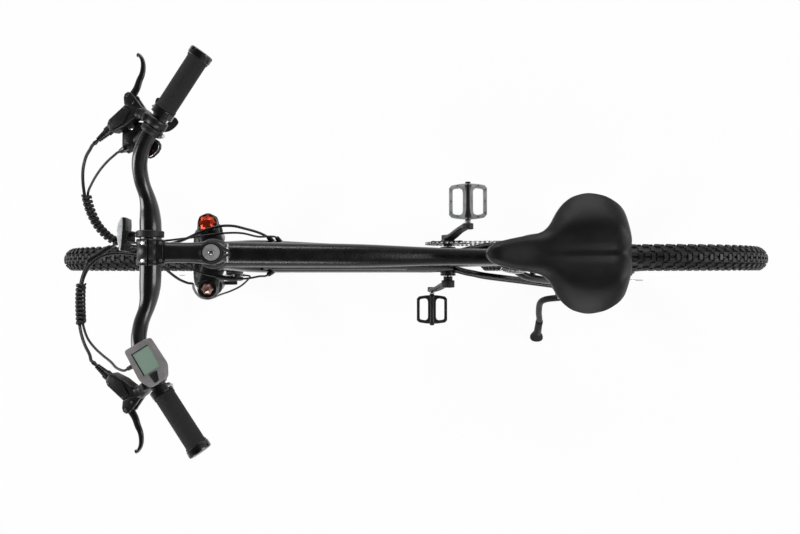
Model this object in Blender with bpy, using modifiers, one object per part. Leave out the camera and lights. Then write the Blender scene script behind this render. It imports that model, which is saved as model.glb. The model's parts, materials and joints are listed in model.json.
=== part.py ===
# Electric hardtail mountain bicycle, standing on its two wheels and its kickstand.
# World frame: +X forward, +Y to the rider's left, +Z up, metres.
# Origin on the floor, midway between the two wheel axles.

import math

import bmesh
import bpy
from mathutils import Matrix, Vector

# Driving sizes: wheels
WHEELBASE = 1.10
WHEEL_RADIUS = 0.348
TYRE_WIDTH = 0.056
TYRE_STEPS = 36
RIM_SEAT_RADIUS = 0.2965
RIM_DEPTH = 0.0235
RIM_WIDTH = 0.027
RIM_STEPS = 32
SPOKE_RADIUS = 0.0010
ROTOR_RADIUS = 0.080
ROTOR_THICKNESS = 0.0020

# Driving sizes: steering axis and fork
HEAD_ANGLE = 70.0
FORK_OFFSET = 0.041
LEG_OFFSET = 0.0174
LEG_SPREAD = 0.0635
LOWER_LEG_RADIUS = 0.0205
STANCHION_RADIUS = 0.0150
STANCHION_BOTTOM = 0.190
STEERER_RADIUS = 0.0143
CROWN_BOTTOM = 0.462
CROWN_TOP = 0.492
LOWERS_TOP = 0.315
FORK_TRAVEL = 0.080
FRONT_HUB_WIDTH = 0.100
FRONT_ROTOR_Y = 0.0395

# Driving sizes: head tube, stem and handlebar, along the steering axis
HEAD_TUBE_BOTTOM = 0.513
HEAD_TUBE_LENGTH = 0.120
HEAD_TUBE_RADIUS = 0.0250
HEAD_TUBE_BORE = 0.0190
CUP_HEIGHT = 0.012
SPACER_HEIGHT = 0.010
STEM_HEIGHT = 0.040
STEM_LENGTH = 0.092
STEM_RISE = -3.0
STEM_CLAMP_RADIUS = 0.0185
BAR_CLAMP_RADIUS = 0.0159
BAR_CLAMP_WIDTH = 0.042
FACEPLATE_RADIUS = 0.0205
BAR_RADIUS = 0.0111
TOP_CAP_RADIUS = 0.0165
TOP_CAP_HEIGHT = 0.005
GRIP_RADIUS = 0.0148
GRIP_LENGTH = 0.116

# Driving sizes: frame
BRACKET_X = -0.1175
BRACKET_Z = 0.2954
BRACKET_SHELL_WIDTH = 0.068
BRACKET_SHELL_RADIUS = 0.0220
BRACKET_BORE = 0.0178
SEAT_ANGLE = 73.0
SEAT_TUBE_LENGTH = 0.450
SEAT_TUBE_RADIUS = 0.0175
SEATPOST_RADIUS = 0.0136
SEATPOST_INSERTION = 0.150
DOWN_TUBE_WIDTH = 0.064
DOWN_TUBE_DEPTH = 0.058
REAR_HUB_WIDTH = 0.135
DROPOUT_THICKNESS = 0.007
REAR_ROTOR_Y = 0.0520
AXLE_RADIUS = 0.0060
CHAINSTAY_RADIUS = 0.0095
SEATSTAY_RADIUS = 0.0080

# Driving sizes: battery
BATTERY_LENGTH = 0.410
BATTERY_WIDTH = 0.052
BATTERY_HEIGHT = 0.050
BATTERY_START = 0.225
BATTERY_SINK = 0.022

# Driving sizes: drivetrain
CHAIN_PITCH = 0.0127
CHAINLINE = 0.050
RING_TEETH = 30
COG_TEETH = 20
CASSETTE_TEETH = (28, 24, 22, 20, 18, 16, 14)
COG_SPACING = 0.0042
PULLEY_TEETH = 11
GUIDE_PULLEY_OFFSET = (0.010, -0.090)
TENSION_PULLEY_OFFSET = (0.034, -0.146)
CHAIN_WIDTH = 0.0056
CHAIN_HEIGHT = 0.0084
CHAIN_WAIST = 0.73
CHAIN_GROOVE = 0.0024
CHAIN_ROOF = 0.0012
CRANK_LENGTH = 0.170
CRANK_ANGLE = 105.8
SPINDLE_RADIUS = 0.0100
CRANK_INNER_Y = 0.0560
CRANK_HUB_WIDTH = 0.0180
PEDAL_EYE_Y = 0.0850
PEDAL_CENTRE_Y = 0.1471
PEDAL_WIDTH = 0.0895
PEDAL_LENGTH = 0.0946
PEDAL_THICKNESS = 0.0180
PEDAL_AXLE_RADIUS = 0.0055

# Driving sizes: saddle
SADDLE_LENGTH = 0.2458
SADDLE_NOSE_X = -0.170
SADDLE_TOP = 0.880
SADDLE_DEPTH = 0.030
RAIL_SPREAD = 0.0220
RAIL_RADIUS = 0.0035
RAIL_Z = 0.8050

# Driving sizes: kickstand
STAND_AHEAD = 0.122
STAND_PIVOT_Y = 0.096
STAND_PIVOT_Z = 0.300
STAND_FOOT_AHEAD = 0.132
STAND_FOOT_Y = 0.246
STAND_RADIUS = 0.0078

# Driving sizes: hoses, wire and wraps
HOSE_RADIUS = 0.0024
WIRE_RADIUS = 0.0019
MOTOR_CABLE_RADIUS = 0.0030
PORT_BOSS_RADIUS = 0.0045
STRAIGHT_END = 0.005
WRAP_RADIUS = 0.0071
WRAP_STRAND = 0.0016
WRAP_PITCH = 0.0078
CURL_POINTS = 8

# Clearances
FIT = 0.0003
RUNNING = 0.0006

# Round steps
FINE = 14
MEDIUM = 10
COARSE = 8


def clear(radius, sides=FINE):
    """Radius of a round bore whose flats clear a shaft of this radius."""
    return (radius + FIT) / math.cos(math.pi / sides)


def fitted(radius, sides=FINE):
    """Radius of a shaft that clears the flats of a round bore."""
    return radius * math.cos(math.pi / sides) - FIT


# Places worked out from the driving sizes
FRONT_AXLE = Vector((WHEELBASE / 2, 0, WHEEL_RADIUS))
REAR_AXLE = Vector((-WHEELBASE / 2, 0, WHEEL_RADIUS))
BRACKET = Vector((BRACKET_X, 0, BRACKET_Z))
HEAD = math.radians(HEAD_ANGLE)
STEER_UP = Vector((-math.cos(HEAD), 0, math.sin(HEAD)))
STEER_FORWARD = Vector((math.sin(HEAD), 0, math.cos(HEAD)))
STEER_ORIGIN = FRONT_AXLE - STEER_FORWARD * FORK_OFFSET
SEAT = math.radians(SEAT_ANGLE)
SEAT_UP = Vector((-math.cos(SEAT), 0, math.sin(SEAT)))
SEAT_FORWARD = Vector((math.sin(SEAT), 0, math.cos(SEAT)))


def frame_matrix(origin, forward, up):
    """Local X forward, local Z up, local Y to the left."""
    z = up.normalized()
    y = z.cross(forward).normalized()
    x = y.cross(z)
    m = Matrix((x, y, z)).transposed().to_4x4()
    m.translation = origin
    return m


STAND_PIVOT = (REAR_AXLE.x + STAND_AHEAD, STAND_PIVOT_Y, STAND_PIVOT_Z)
STAND_FOOT = (REAR_AXLE.x + STAND_FOOT_AHEAD, STAND_FOOT_Y, 0.0)
STEER = frame_matrix(STEER_ORIGIN, STEER_FORWARD, STEER_UP)
SEAT_FRAME = frame_matrix(BRACKET, SEAT_FORWARD, SEAT_UP)
HEAD_TUBE_TOP = HEAD_TUBE_BOTTOM + HEAD_TUBE_LENGTH
STEM_BOTTOM = HEAD_TUBE_TOP + CUP_HEIGHT + SPACER_HEIGHT
STEM_TOP = STEM_BOTTOM + STEM_HEIGHT
STEM_MIDDLE = STEM_TOP - STEM_HEIGHT * 0.48
BAR_LOCAL = Vector((
    STEM_LENGTH * math.cos(math.radians(STEM_RISE)),
    0,
    STEM_MIDDLE + STEM_LENGTH * math.sin(math.radians(STEM_RISE)),
))
BAR_CENTRE = STEER @ BAR_LOCAL
DOWN_TUBE_TOP_POINT = STEER @ Vector((-0.004, 0, HEAD_TUBE_BOTTOM + 0.047))
DOWN_DIR = (DOWN_TUBE_TOP_POINT - BRACKET).normalized()
DOWN_UP = Vector((-DOWN_DIR.z, 0, DOWN_DIR.x))
DOWN_FRAME = frame_matrix(BRACKET, DOWN_DIR, DOWN_UP)
DOWN_TUBE_LENGTH = (DOWN_TUBE_TOP_POINT - BRACKET).length
SEAT_TOP = SEAT_FRAME @ Vector((0, 0, SEAT_TUBE_LENGTH))


# Scene and materials

for old in list(bpy.data.objects):
    bpy.data.objects.remove(old, do_unlink=True)


def new_collection(name):
    group = bpy.data.collections.new(name)
    bpy.context.scene.collection.children.link(group)
    return group


PARTS = new_collection("electric_bicycle")
CUTTERS = new_collection("cutters")
AXES = new_collection("joint_axes")


def material(name, colour, roughness, metallic=0.0):
    mat = bpy.data.materials.new(name)
    mat.use_nodes = True
    shader = mat.node_tree.nodes["Principled BSDF"]
    shader.inputs["Base Color"].default_value = (*colour, 1.0)
    shader.inputs["Roughness"].default_value = roughness
    shader.inputs["Metallic"].default_value = metallic
    mat.diffuse_color = (*colour, 1.0)
    return mat


# Helpers that make solids

def mesh_from(bm, name):
    """Merge, face outwards, and turn a bmesh into mesh data."""
    bmesh.ops.remove_doubles(bm, verts=bm.verts, dist=1e-6)
    bmesh.ops.recalc_face_normals(bm, faces=bm.faces)
    data = bpy.data.meshes.new(name)
    bm.to_mesh(data)
    bm.free()
    return data


def place(name, data, mat, smooth=35):
    """Link one mesh or curve as a named part, with its material."""
    ob = bpy.data.objects.new(name, data)
    PARTS.objects.link(ob)
    data.materials.append(mat)
    if isinstance(data, bpy.types.Mesh):
        data.shade_smooth()
        data.set_sharp_from_angle(angle=math.radians(smooth))
    return ob


def along(start, end):
    """Matrix whose Z runs from start to end, centred between them."""
    axis = end - start
    m = axis.to_track_quat("Z", "Y").to_matrix().to_4x4()
    m.translation = (start + end) / 2
    return m


def rod(start, end, radius, radius_end=None, sides=MEDIUM):
    """Closed cylinder or cone between two points."""
    start = Vector(start)
    end = Vector(end)
    bm = bmesh.new()
    bmesh.ops.create_cone(
        bm, cap_ends=True, cap_tris=False, segments=sides,
        radius1=radius, radius2=radius if radius_end is None else radius_end,
        depth=(end - start).length, matrix=along(start, end))
    return bm


def block(centre, size, turn=None):
    """Closed box, its size along its own axes, turned by a 3x3 matrix."""
    bm = bmesh.new()
    bmesh.ops.create_cube(bm, size=1.0)
    turn = turn.to_4x4() if turn else Matrix.Identity(4)
    bm.transform(Matrix.Translation(Vector(centre)) @ turn @ Matrix.Diagonal((*size, 1.0)))
    return bm


def ring_points(count, radius_x, radius_y=None, power=2.0):
    """Points round an ellipse, or round a squarer outline where power is above 2."""
    radius_y = radius_x if radius_y is None else radius_y
    points = []
    for i in range(count):
        a = 2 * math.pi * (i + 0.5) / count
        c = math.cos(a)
        s = math.sin(a)
        x = math.copysign(abs(c) ** (2 / power), c) * radius_x
        y = math.copysign(abs(s) ** (2 / power), s) * radius_y
        points.append((x, y))
    return points


def circle(radius, count):
    return [(radius * math.cos(2 * math.pi * i / count), radius * math.sin(2 * math.pi * i / count))
            for i in range(count)]


def loft(rings, closed=False):
    """Skin rings of equal count; ends are capped unless the rings close on themselves."""
    bm = bmesh.new()
    rows = [[bm.verts.new(p) for p in ring] for ring in rings]
    count = len(rows[0])
    pairs = list(zip(rows, rows[1:]))
    if closed:
        pairs.append((rows[-1], rows[0]))
    for a, b in pairs:
        for i in range(count):
            j = (i + 1) % count
            bm.faces.new((a[i], a[j], b[j], b[i]))
    if not closed:
        bm.faces.new(rows[0][::-1])
        bm.faces.new(rows[-1])
    bmesh.ops.recalc_face_normals(bm, faces=bm.faces)
    return bm


def solid_of(ob):
    """Evaluate an unlinked object into a closed bmesh in world space, and remove it."""
    CUTTERS.objects.link(ob)
    bpy.context.view_layer.update()
    graph = bpy.context.evaluated_depsgraph_get()
    data = bpy.data.meshes.new_from_object(ob.evaluated_get(graph))
    bm = bmesh.new()
    bm.from_mesh(data)
    bmesh.ops.remove_doubles(bm, verts=bm.verts, dist=1e-6)
    bmesh.ops.recalc_face_normals(bm, faces=bm.faces)
    bpy.data.objects.remove(ob, do_unlink=True)
    bpy.data.meshes.remove(data)
    return bm


def prism(outline, low, high, holes=()):
    """Flat outline in X and Y, with any holes, extruded from low to high along Z."""
    curve = bpy.data.curves.new("outline", "CURVE")
    curve.dimensions = "2D"
    curve.fill_mode = "BOTH"
    curve.extrude = (high - low) / 2
    for loop in (outline, *holes):
        spline = curve.splines.new("POLY")
        spline.points.add(len(loop) - 1)
        for point, (x, y) in zip(spline.points, loop):
            point.co = (x, y, 0, 1)
        spline.use_cyclic_u = True
    bm = solid_of(bpy.data.objects.new("outline", curve))
    bm.transform(Matrix.Translation((0, 0, (high + low) / 2)))
    return bm


def vertical_plate(outline, low, high):
    """Plate from an outline in X and Z, between two values of Y."""
    bm = prism(outline, low, high)
    bm.transform(Matrix(((1, 0, 0, 0), (0, 0, 1, 0), (0, 1, 0, 0), (0, 0, 0, 1))))
    bmesh.ops.recalc_face_normals(bm, faces=bm.faces)
    return bm


def turned(profile, sides=FINE):
    """Turned solid about Z from (radius, height) points; it closes itself or ends on the axis."""
    data = bpy.data.meshes.new("profile")
    verts = [(r, 0, h) for r, h in profile]
    edges = [(i, i + 1) for i in range(len(verts) - 1)]
    if profile[0][0] > 0:
        edges.append((len(verts) - 1, 0))
    data.from_pydata(verts, edges, [])
    ob = bpy.data.objects.new("profile", data)
    screw = ob.modifiers.new("turn", "SCREW")
    screw.axis = "Z"
    screw.steps = sides
    screw.render_steps = sides
    screw.use_merge_vertices = True
    screw.merge_threshold = 0.00001
    return solid_of(ob)


def y_axis(bm, centre):
    """Lay a shape that was made about Z along the world Y axis, at a centre."""
    bm.transform(Matrix.Translation(Vector(centre)) @ Matrix.Rotation(math.radians(-90), 4, "X"))
    return bm


def smooth_path(points, steps=3):
    """Catmull-Rom curve through points, each span in a few steps."""
    pts = [Vector(p) for p in points]
    ext = [pts[0] * 2 - pts[1], *pts, pts[-1] * 2 - pts[-2]]
    out = []
    for i in range(1, len(ext) - 2):
        a, b, c, d = ext[i - 1:i + 3]
        for k in range(steps):
            t = k / steps
            out.append(0.5 * (2 * b + (c - a) * t + (2 * a - 5 * b + 4 * c - d) * t ** 2
                              + (3 * b - a - 3 * c + d) * t ** 3))
    out.append(pts[-1])
    return out


def tube_curve(paths, radius, resolution=2, radii=None):
    """Curve data: one bevelled open tube for each path."""
    curve = bpy.data.curves.new("tube", "CURVE")
    curve.dimensions = "3D"
    curve.bevel_depth = radius
    curve.bevel_resolution = resolution
    curve.use_fill_caps = True
    for path in paths:
        spline = curve.splines.new("POLY")
        spline.points.add(len(path) - 1)
        for i, co in enumerate(path):
            spline.points[i].co = (*co, 1)
            if radii:
                spline.points[i].radius = radii[i]
    return curve


def tube(path, radius, resolution=2, radii=None):
    """Bevelled tube as a closed bmesh."""
    return solid_of(bpy.data.objects.new("tube", tube_curve([path], radius, resolution, radii)))


def combine(base, others, operation="UNION"):
    """Boolean a bmesh with a list of bmeshes; every input is used up."""
    ob = bpy.data.objects.new("base", mesh_from(base, "base"))
    tools = []
    for other in others:
        tool = bpy.data.objects.new("tool", mesh_from(other, "tool"))
        CUTTERS.objects.link(tool)
        tool.hide_render = True
        tool.display_type = "WIRE"
        tools.append(tool)
        step = ob.modifiers.new("step", "BOOLEAN")
        step.operation = operation
        step.solver = "EXACT"
        step.object = tool
    result = solid_of(ob)
    for tool in tools:
        bpy.data.objects.remove(tool, do_unlink=True)
    return result


def cut(base, others):
    return combine(base, others, "DIFFERENCE")


def group_solids(solids):
    """Separate solids that share one node."""
    bm = bmesh.new()
    for solid in solids:
        data = mesh_from(solid, "member")
        bm.from_mesh(data)
        bpy.data.meshes.remove(data)
    return bm


def bevelled(bm, width, segments=1, limit=40):
    """Round the edges that turn by more than the limit."""
    bmesh.ops.recalc_face_normals(bm, faces=bm.faces)
    sharp = [e for e in bm.edges if len(e.link_faces) == 2
             and e.calc_face_angle(0) > math.radians(limit)]
    bmesh.ops.bevel(bm, geom=sharp, offset=width, segments=segments, affect="EDGES",
                    profile=0.5, clamp_overlap=True)
    return bm


def pivot(name, position, axis, children):
    """Empty on a joint's axis, with the moving pieces parented to it."""
    empty = bpy.data.objects.new("axis_" + name, None)
    AXES.objects.link(empty)
    empty.empty_display_size = 0.05
    m = Vector(axis).to_track_quat("Z", "Y").to_matrix().to_4x4()
    m.translation = Vector(position)
    empty.matrix_world = m
    for child in children:
        child.parent = empty
        child.matrix_parent_inverse = m.inverted()


# Materials

BLACK_PAINT = material("black_paint", (0.020, 0.020, 0.022), 0.35)
BLACK_ALLOY = material("black_alloy", (0.025, 0.025, 0.027), 0.40, 0.3)
GREY_ALLOY = material("grey_alloy", (0.30, 0.30, 0.31), 0.45, 0.8)
STEEL = material("steel", (0.55, 0.55, 0.56), 0.30, 1.0)
RUBBER = material("rubber", (0.022, 0.022, 0.022), 0.75)
PLASTIC = material("black_plastic", (0.025, 0.025, 0.026), 0.55)
LEATHER = material("saddle_cover", (0.028, 0.028, 0.030), 0.50)
RED_ANODISED = material("red_anodised", (0.55, 0.05, 0.02), 0.30, 0.9)
BRONZE_ANODISED = material("dark_anodised", (0.22, 0.15, 0.14), 0.35, 0.9)
DISPLAY_GREY = material("display_grey", (0.30, 0.28, 0.28), 0.55)
REFLECTOR = material("clear_reflector", (0.75, 0.76, 0.78), 0.15)


# Main frame

def down_tube_ring(station, half_width, half_depth):
    return [DOWN_FRAME @ Vector((station, y, z)) for y, z in ring_points(12, half_width, half_depth, power=4.0)]


def top_tube_rings():
    """Oval tube that narrows towards the seat tube."""
    start = STEER @ Vector((-0.004, 0, HEAD_TUBE_TOP - 0.030))
    end = SEAT_FRAME @ Vector((0, 0, SEAT_TUBE_LENGTH - 0.038))
    length = (end - start).length
    direction = (end - start).normalized()
    up = Vector((direction.z, 0, -direction.x))
    sizes = ((0.0, 0.0225, 0.0260, 0.0), (0.18, 0.0225, 0.0240, 0.004), (0.45, 0.0220, 0.0215, 0.004),
             (0.72, 0.0175, 0.0185, 0.0), (1.0, 0.0158, 0.0165, -0.002))
    rings = []
    for share, half_width, half_height, rise in sizes:
        centre = start + direction * (length * share) + up * rise
        rings.append([centre + Vector((0, y, 0)) + up * z
                      for y, z in ring_points(12, half_width, half_height, power=2.6)])
    return rings


def between(start, end, stations):
    """Points given by their share of the way from start to end, their distance from the middle and their rise."""
    return [start.lerp(end, share) + Vector((0, y, rise)) for share, y, rise in stations]


SEATSTAY_ROOT = SEAT_TOP + Vector((0.0151, 0, -0.0437))
SEATSTAY_END = REAR_AXLE + Vector((0.010, 0, 0.018))
CHAINSTAY_POINTS = between(BRACKET, REAR_AXLE, (
    (0.0197, 0.0190, 0.0015), (0.1098, 0.0300, 0.0008), (0.1676, 0.0350, 0.0008), (0.2486, 0.0420, 0.0010),
    (0.4682, 0.0540, 0.0010), (0.7457, 0.0690, 0.0014), (0.9538, 0.0755, 0.0014)))
SEATSTAY_POINTS = between(SEATSTAY_ROOT, SEATSTAY_END, (
    (0.0, 0.010, 0.0), (0.0915, 0.034, 0.0109), (0.232, 0.046, 0.0193), (0.608, 0.059, 0.0161),
    (0.869, 0.070, 0.0086), (1.0, 0.0760, 0.0)))
BRIDGE = between(SEATSTAY_ROOT, SEATSTAY_END, ((0.1895, 0, 0.0179),))[0]


def dropout_outline(right):
    """Dropout plate seen from the side, its axle slot open downwards; the left one holds the caliper."""
    x, z = REAR_AXLE.x, REAR_AXLE.z
    slot = clear(AXLE_RADIUS, 12)
    points = [(x + 0.034, z + 0.010), (x + 0.018, z + 0.030)]
    if not right:
        points = [(x + 0.084, z + 0.006), (x + 0.090, z + 0.022), (x + 0.082, z + 0.043), (x + 0.064, z + 0.048),
                  (x + 0.046, z + 0.034), (x + 0.026, z + 0.036)]
    points += [(x - 0.004, z + 0.034), (x - 0.020, z + 0.018), (x - 0.022, z - 0.004)]
    points += [(x - 0.014, z - 0.036), (x - 0.003, z - 0.036)] if right else [(x - 0.014, z - 0.018)]
    points += [(x - slot, z - 0.018)]
    for i in range(7):
        a = math.pi - math.pi * i / 6
        points.append((x + slot * math.cos(a), z + slot * math.sin(a)))
    points += [(x + slot, z - 0.018), (x + 0.014, z - 0.016), (x + 0.034, z - 0.010)]
    return points


def build_main_frame():
    head = rod(STEER @ Vector((0, 0, HEAD_TUBE_BOTTOM - CUP_HEIGHT)), STEER @ Vector((0, 0, HEAD_TUBE_TOP)),
               HEAD_TUBE_RADIUS, sides=FINE)
    half_depth = DOWN_TUBE_DEPTH / 2
    half_width = DOWN_TUBE_WIDTH / 2
    down = loft([down_tube_ring(0.004, half_width * 0.86, half_depth * 0.92),
                 down_tube_ring(0.060, half_width, half_depth),
                 down_tube_ring(DOWN_TUBE_LENGTH - 0.060, half_width, half_depth),
                 down_tube_ring(DOWN_TUBE_LENGTH - 0.004, half_width * 0.72, half_depth * 0.96)])
    down = cut(down, [battery_recess()])
    top = loft(top_tube_rings())
    seat = rod(BRACKET, SEAT_TOP, SEAT_TUBE_RADIUS, sides=MEDIUM)
    across = Vector((0, BRACKET_SHELL_WIDTH / 2, 0))
    shell = rod(BRACKET - across, BRACKET + across, BRACKET_SHELL_RADIUS, sides=FINE)
    inner = REAR_HUB_WIDTH / 2 + FIT
    pieces = [down, top, seat, shell]
    for side in (-1, 1):
        flip = Matrix.Diagonal((1, side, 1))
        lower = [flip @ Vector(p) for p in CHAINSTAY_POINTS]
        pieces.append(tube(lower, CHAINSTAY_RADIUS, 1))
        upper = [flip @ Vector(p) for p in SEATSTAY_POINTS]
        pieces.append(tube(upper, SEATSTAY_RADIUS, 1))
        low, high = sorted((side * inner, side * (inner + DROPOUT_THICKNESS)))
        pieces.append(vertical_plate(dropout_outline(side < 0), low, high))
    reach = Vector((0, 0.046, 0))
    pieces.append(rod(BRIDGE - reach, BRIDGE + reach, 0.006, sides=COARSE))
    pieces.append(stand_mount())
    for end, root in CABLE_PORTS:
        direction = (Vector(root) - Vector(end)).normalized()
        pieces.append(rod(Vector(end) + direction * FIT, root, PORT_BOSS_RADIUS, sides=6))
    frame = combine(head, pieces)
    cuts = [
        rod(STEER @ Vector((0, 0, HEAD_TUBE_BOTTOM - 0.03)), STEER @ Vector((0, 0, HEAD_TUBE_TOP + 0.02)),
            HEAD_TUBE_BORE, sides=FINE),
        rod(BRACKET - 2 * across, BRACKET + 2 * across, BRACKET_BORE, sides=FINE),
        rod(SEAT_FRAME @ Vector((0, 0, SEAT_TUBE_LENGTH - SEATPOST_INSERTION - 0.080)),
            SEAT_FRAME @ Vector((0, 0, SEAT_TUBE_LENGTH + 0.05)), clear(SEATPOST_RADIUS, MEDIUM), sides=MEDIUM),
    ]
    return cut(frame, cuts)


# Battery and its bay in the down tube

BATTERY_FLOOR = DOWN_TUBE_DEPTH / 2 - BATTERY_SINK
BATTERY_HEEL = BATTERY_HEIGHT * 0.45
BATTERY_PIVOT_STATION = BATTERY_START + BATTERY_HEEL
BATTERY_PIVOT = DOWN_FRAME @ Vector((BATTERY_PIVOT_STATION, 0, BATTERY_FLOOR + BATTERY_HEEL))


def battery_recess():
    """Straight-sided bay that the pack tilts out of, upper end first."""
    gap = 0.0010
    start = BATTERY_START - gap
    end = BATTERY_START + BATTERY_LENGTH + gap
    bay = block(((start + end) / 2, 0, BATTERY_FLOOR + 0.050 - FIT),
                (end - start, BATTERY_WIDTH + 2 * gap, 0.100))
    bay.transform(DOWN_FRAME)
    return bay


def build_battery():
    """Pack with rounded top edges and a round heel about its pivot."""
    half = BATTERY_WIDTH / 2
    outline = []
    for i in range(9):
        a = math.radians(90 + 180 * i / 8)
        outline.append((BATTERY_PIVOT_STATION + BATTERY_HEEL * math.cos(a),
                        BATTERY_FLOOR + BATTERY_HEEL * (1 + math.sin(a))))
    end = BATTERY_START + BATTERY_LENGTH
    outline += [(end - 0.004, BATTERY_FLOOR), (end, BATTERY_FLOOR + 0.006),
                (end - 0.006, BATTERY_FLOOR + BATTERY_HEIGHT - 0.010),
                (end - 0.030, BATTERY_FLOOR + BATTERY_HEIGHT),
                (BATTERY_START + 0.050, BATTERY_FLOOR + BATTERY_HEIGHT)]
    pack = bevelled(vertical_plate(outline, -half, half), 0.005, 1, 70)
    pack.transform(DOWN_FRAME)
    return pack


# Kickstand

STAND_AXIS_BASE = Vector(STAND_PIVOT)
STAND_TIP = Vector(STAND_FOOT)
STAND_DOWN = (STAND_TIP - STAND_AXIS_BASE).normalized()
STAND_BACK = Vector((-1.0, 0.10, 0.10)).normalized()
STAND_AXIS = STAND_DOWN.cross(STAND_BACK).normalized()
STAND_LUG_WIDTH = 0.012


def stand_mount():
    """Boss on the left stay that carries the kickstand's pivot bolt."""
    x, z = STAND_PIVOT[0], STAND_PIVOT[2]
    plate = block((x, 0.071, z + 0.028), (0.052, 0.012, 0.030))
    base = STAND_AXIS_BASE - STAND_AXIS * (STAND_LUG_WIDTH / 2 + FIT)
    boss = rod(base, base - STAND_AXIS * 0.014, 0.0125, sides=COARSE)
    root = base - STAND_AXIS * 0.0115
    arm = loft([[Vector((x - 0.018, 0.066, z + 0.020)), Vector((x + 0.018, 0.066, z + 0.020)),
                 Vector((x + 0.018, 0.075, z + 0.040)), Vector((x - 0.018, 0.075, z + 0.040))],
                [root + Vector((-0.010, -0.004, -0.008)), root + Vector((0.010, -0.004, -0.008)),
                 root + Vector((0.010, 0.004, 0.008)), root + Vector((-0.010, 0.004, 0.008))]])
    return combine(plate, [boss, arm])


def build_kickstand():
    """Cast leg that bends forward from its pivot, with a sleeve and a flared foot."""
    half = STAND_LUG_WIDTH / 2
    lug = rod(STAND_AXIS_BASE - STAND_AXIS * half, STAND_AXIS_BASE + STAND_AXIS * half, 0.0135, sides=COARSE)
    bolt = rod(STAND_AXIS_BASE, STAND_AXIS_BASE + STAND_AXIS * (half + 0.004), 0.007, sides=6)
    knee = Vector((-0.393, 0.122, 0.222))
    shin = Vector((-0.404, 0.182, 0.112))
    path = smooth_path([STAND_AXIS_BASE + STAND_AXIS * 0.0040 + STAND_DOWN * 0.005, knee + Vector((-0.004, -0.008, 0.020)),
                        knee, shin, STAND_TIP + Vector((0, -0.016, 0.036))], 2)
    leg = tube(path, STAND_RADIUS, 1)
    down = (STAND_TIP - shin).normalized()
    turn = frame_matrix(Vector(), Vector((1, 0, 0)), -down).to_3x3()
    stations = ((0.0, 0.0105, 0.0105), (0.004, 0.0115, 0.0115), (0.090, 0.0110, 0.0115),
                (0.118, 0.0200, 0.0130), (0.145, 0.0225, 0.0150))
    rings = []
    for distance, half_x, half_y in stations:
        centre = shin + down * distance
        rings.append([centre + turn @ Vector((x, y, 0)) for x, y in ring_points(12, half_x, half_y)])
    stand = combine(lug, [bolt, leg, loft(rings)])
    floor = block((STAND_TIP.x, STAND_TIP.y, -0.05), (0.3, 0.3, 0.10))
    return cut(stand, [floor])


# Headset and bottom bracket

def build_headset():
    """Upper bearing with its cover, pressed into the head tube's seat by its skirt."""
    bore = clear(STEERER_RADIUS)
    skirt = fitted(HEAD_TUBE_BORE)
    rim = HEAD_TUBE_RADIUS - 0.0005
    high = HEAD_TUBE_TOP
    upper = turned([(rim, high + CUP_HEIGHT - 0.003), (rim, high + FIT), (skirt, high + FIT), (skirt, high - 0.010),
                    (bore, high - 0.010), (bore, high + CUP_HEIGHT), (rim - 0.004, high + CUP_HEIGHT)], FINE)
    upper.transform(STEER)
    return upper


def build_bottom_bracket():
    """Bearing cartridge with a cup each side; the left one also carries the pedal sensor."""
    half = BRACKET_SHELL_WIDTH / 2
    body = fitted(BRACKET_BORE)
    bore = clear(SPINDLE_RADIUS)
    cup = 0.0195
    end = half + 0.0085
    bm = turned([(cup - 0.002, end), (cup, end - 0.002), (cup, half + FIT), (body, half + FIT),
                 (body, -half - FIT), (cup, -half - FIT), (cup, -end + 0.002),
                 (cup - 0.002, -end), (bore, -end), (bore, end)], FINE)
    return y_axis(bm, BRACKET)


# Wheels

def tyre_profile():
    """Half section of the tyre from its bead to its crown: (radius, half width)."""
    half = TYRE_WIDTH / 2
    seat = RIM_SEAT_RADIUS + FIT
    height = WHEEL_RADIUS - seat
    return [(seat, RIM_WIDTH * 0.44), (seat + height * 0.352, half), (seat + height * 0.785, half * 0.92),
            (WHEEL_RADIUS, half * 0.34)]


def build_tyre():
    """Tyre whose flats, not its corners, touch the rim seat and the floor."""
    half = tyre_profile()
    section = [*half, *((r, -y) for r, y in reversed(half))]
    stretch = 1 / math.cos(math.pi / TYRE_STEPS)
    rings = []
    for i in range(TYRE_STEPS):
        a = 2 * math.pi * (i + 0.5) / TYRE_STEPS - math.pi / 2
        rings.append([Vector((r * stretch * math.cos(a), y, r * stretch * math.sin(a))) for r, y in section])
    return loft(rings, closed=True)


def build_rim():
    """Double-wall rim section, turned about the axle."""
    half = RIM_WIDTH / 2
    seat = RIM_SEAT_RADIUS
    inner = seat - RIM_DEPTH
    bm = turned([(seat, half), (seat, -half), (seat - 0.010, -half), (inner, 0), (seat - 0.010, half)], RIM_STEPS)
    return y_axis(bm, (0, 0, 0))


FLANGE_HALF = 0.0025
SPOKE_STAGGER = 0.0012
SPOKE_HOLE_INSET = 0.0040


def spoke_sets(count, crossing, flange_left, flange_right, flange_radius):
    """Laced spokes, rooted in the flanges; each set leans one way from one flange."""
    inner = (RIM_SEAT_RADIUS - RIM_DEPTH) * math.cos(math.pi / RIM_STEPS) - FIT
    hole = flange_radius - SPOKE_HOLE_INSET
    sets = {}
    for i in range(count):
        side = 1 if i % 2 == 0 else -1
        lead = 1 if (i // 2) % 2 == 0 else -1
        flange = flange_left if side > 0 else flange_right
        rim_angle = 2 * math.pi * i / count
        hub_angle = rim_angle + crossing * lead
        start = Vector((hole * math.cos(hub_angle), flange + SPOKE_STAGGER * lead * side, hole * math.sin(hub_angle)))
        end = Vector((inner * math.cos(rim_angle), 0.0005 * side, inner * math.sin(rim_angle)))
        sets.setdefault((side, lead), []).append(rod(start, end, SPOKE_RADIUS, sides=3))
    return [group_solids(group) for group in sets.values()]


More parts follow.
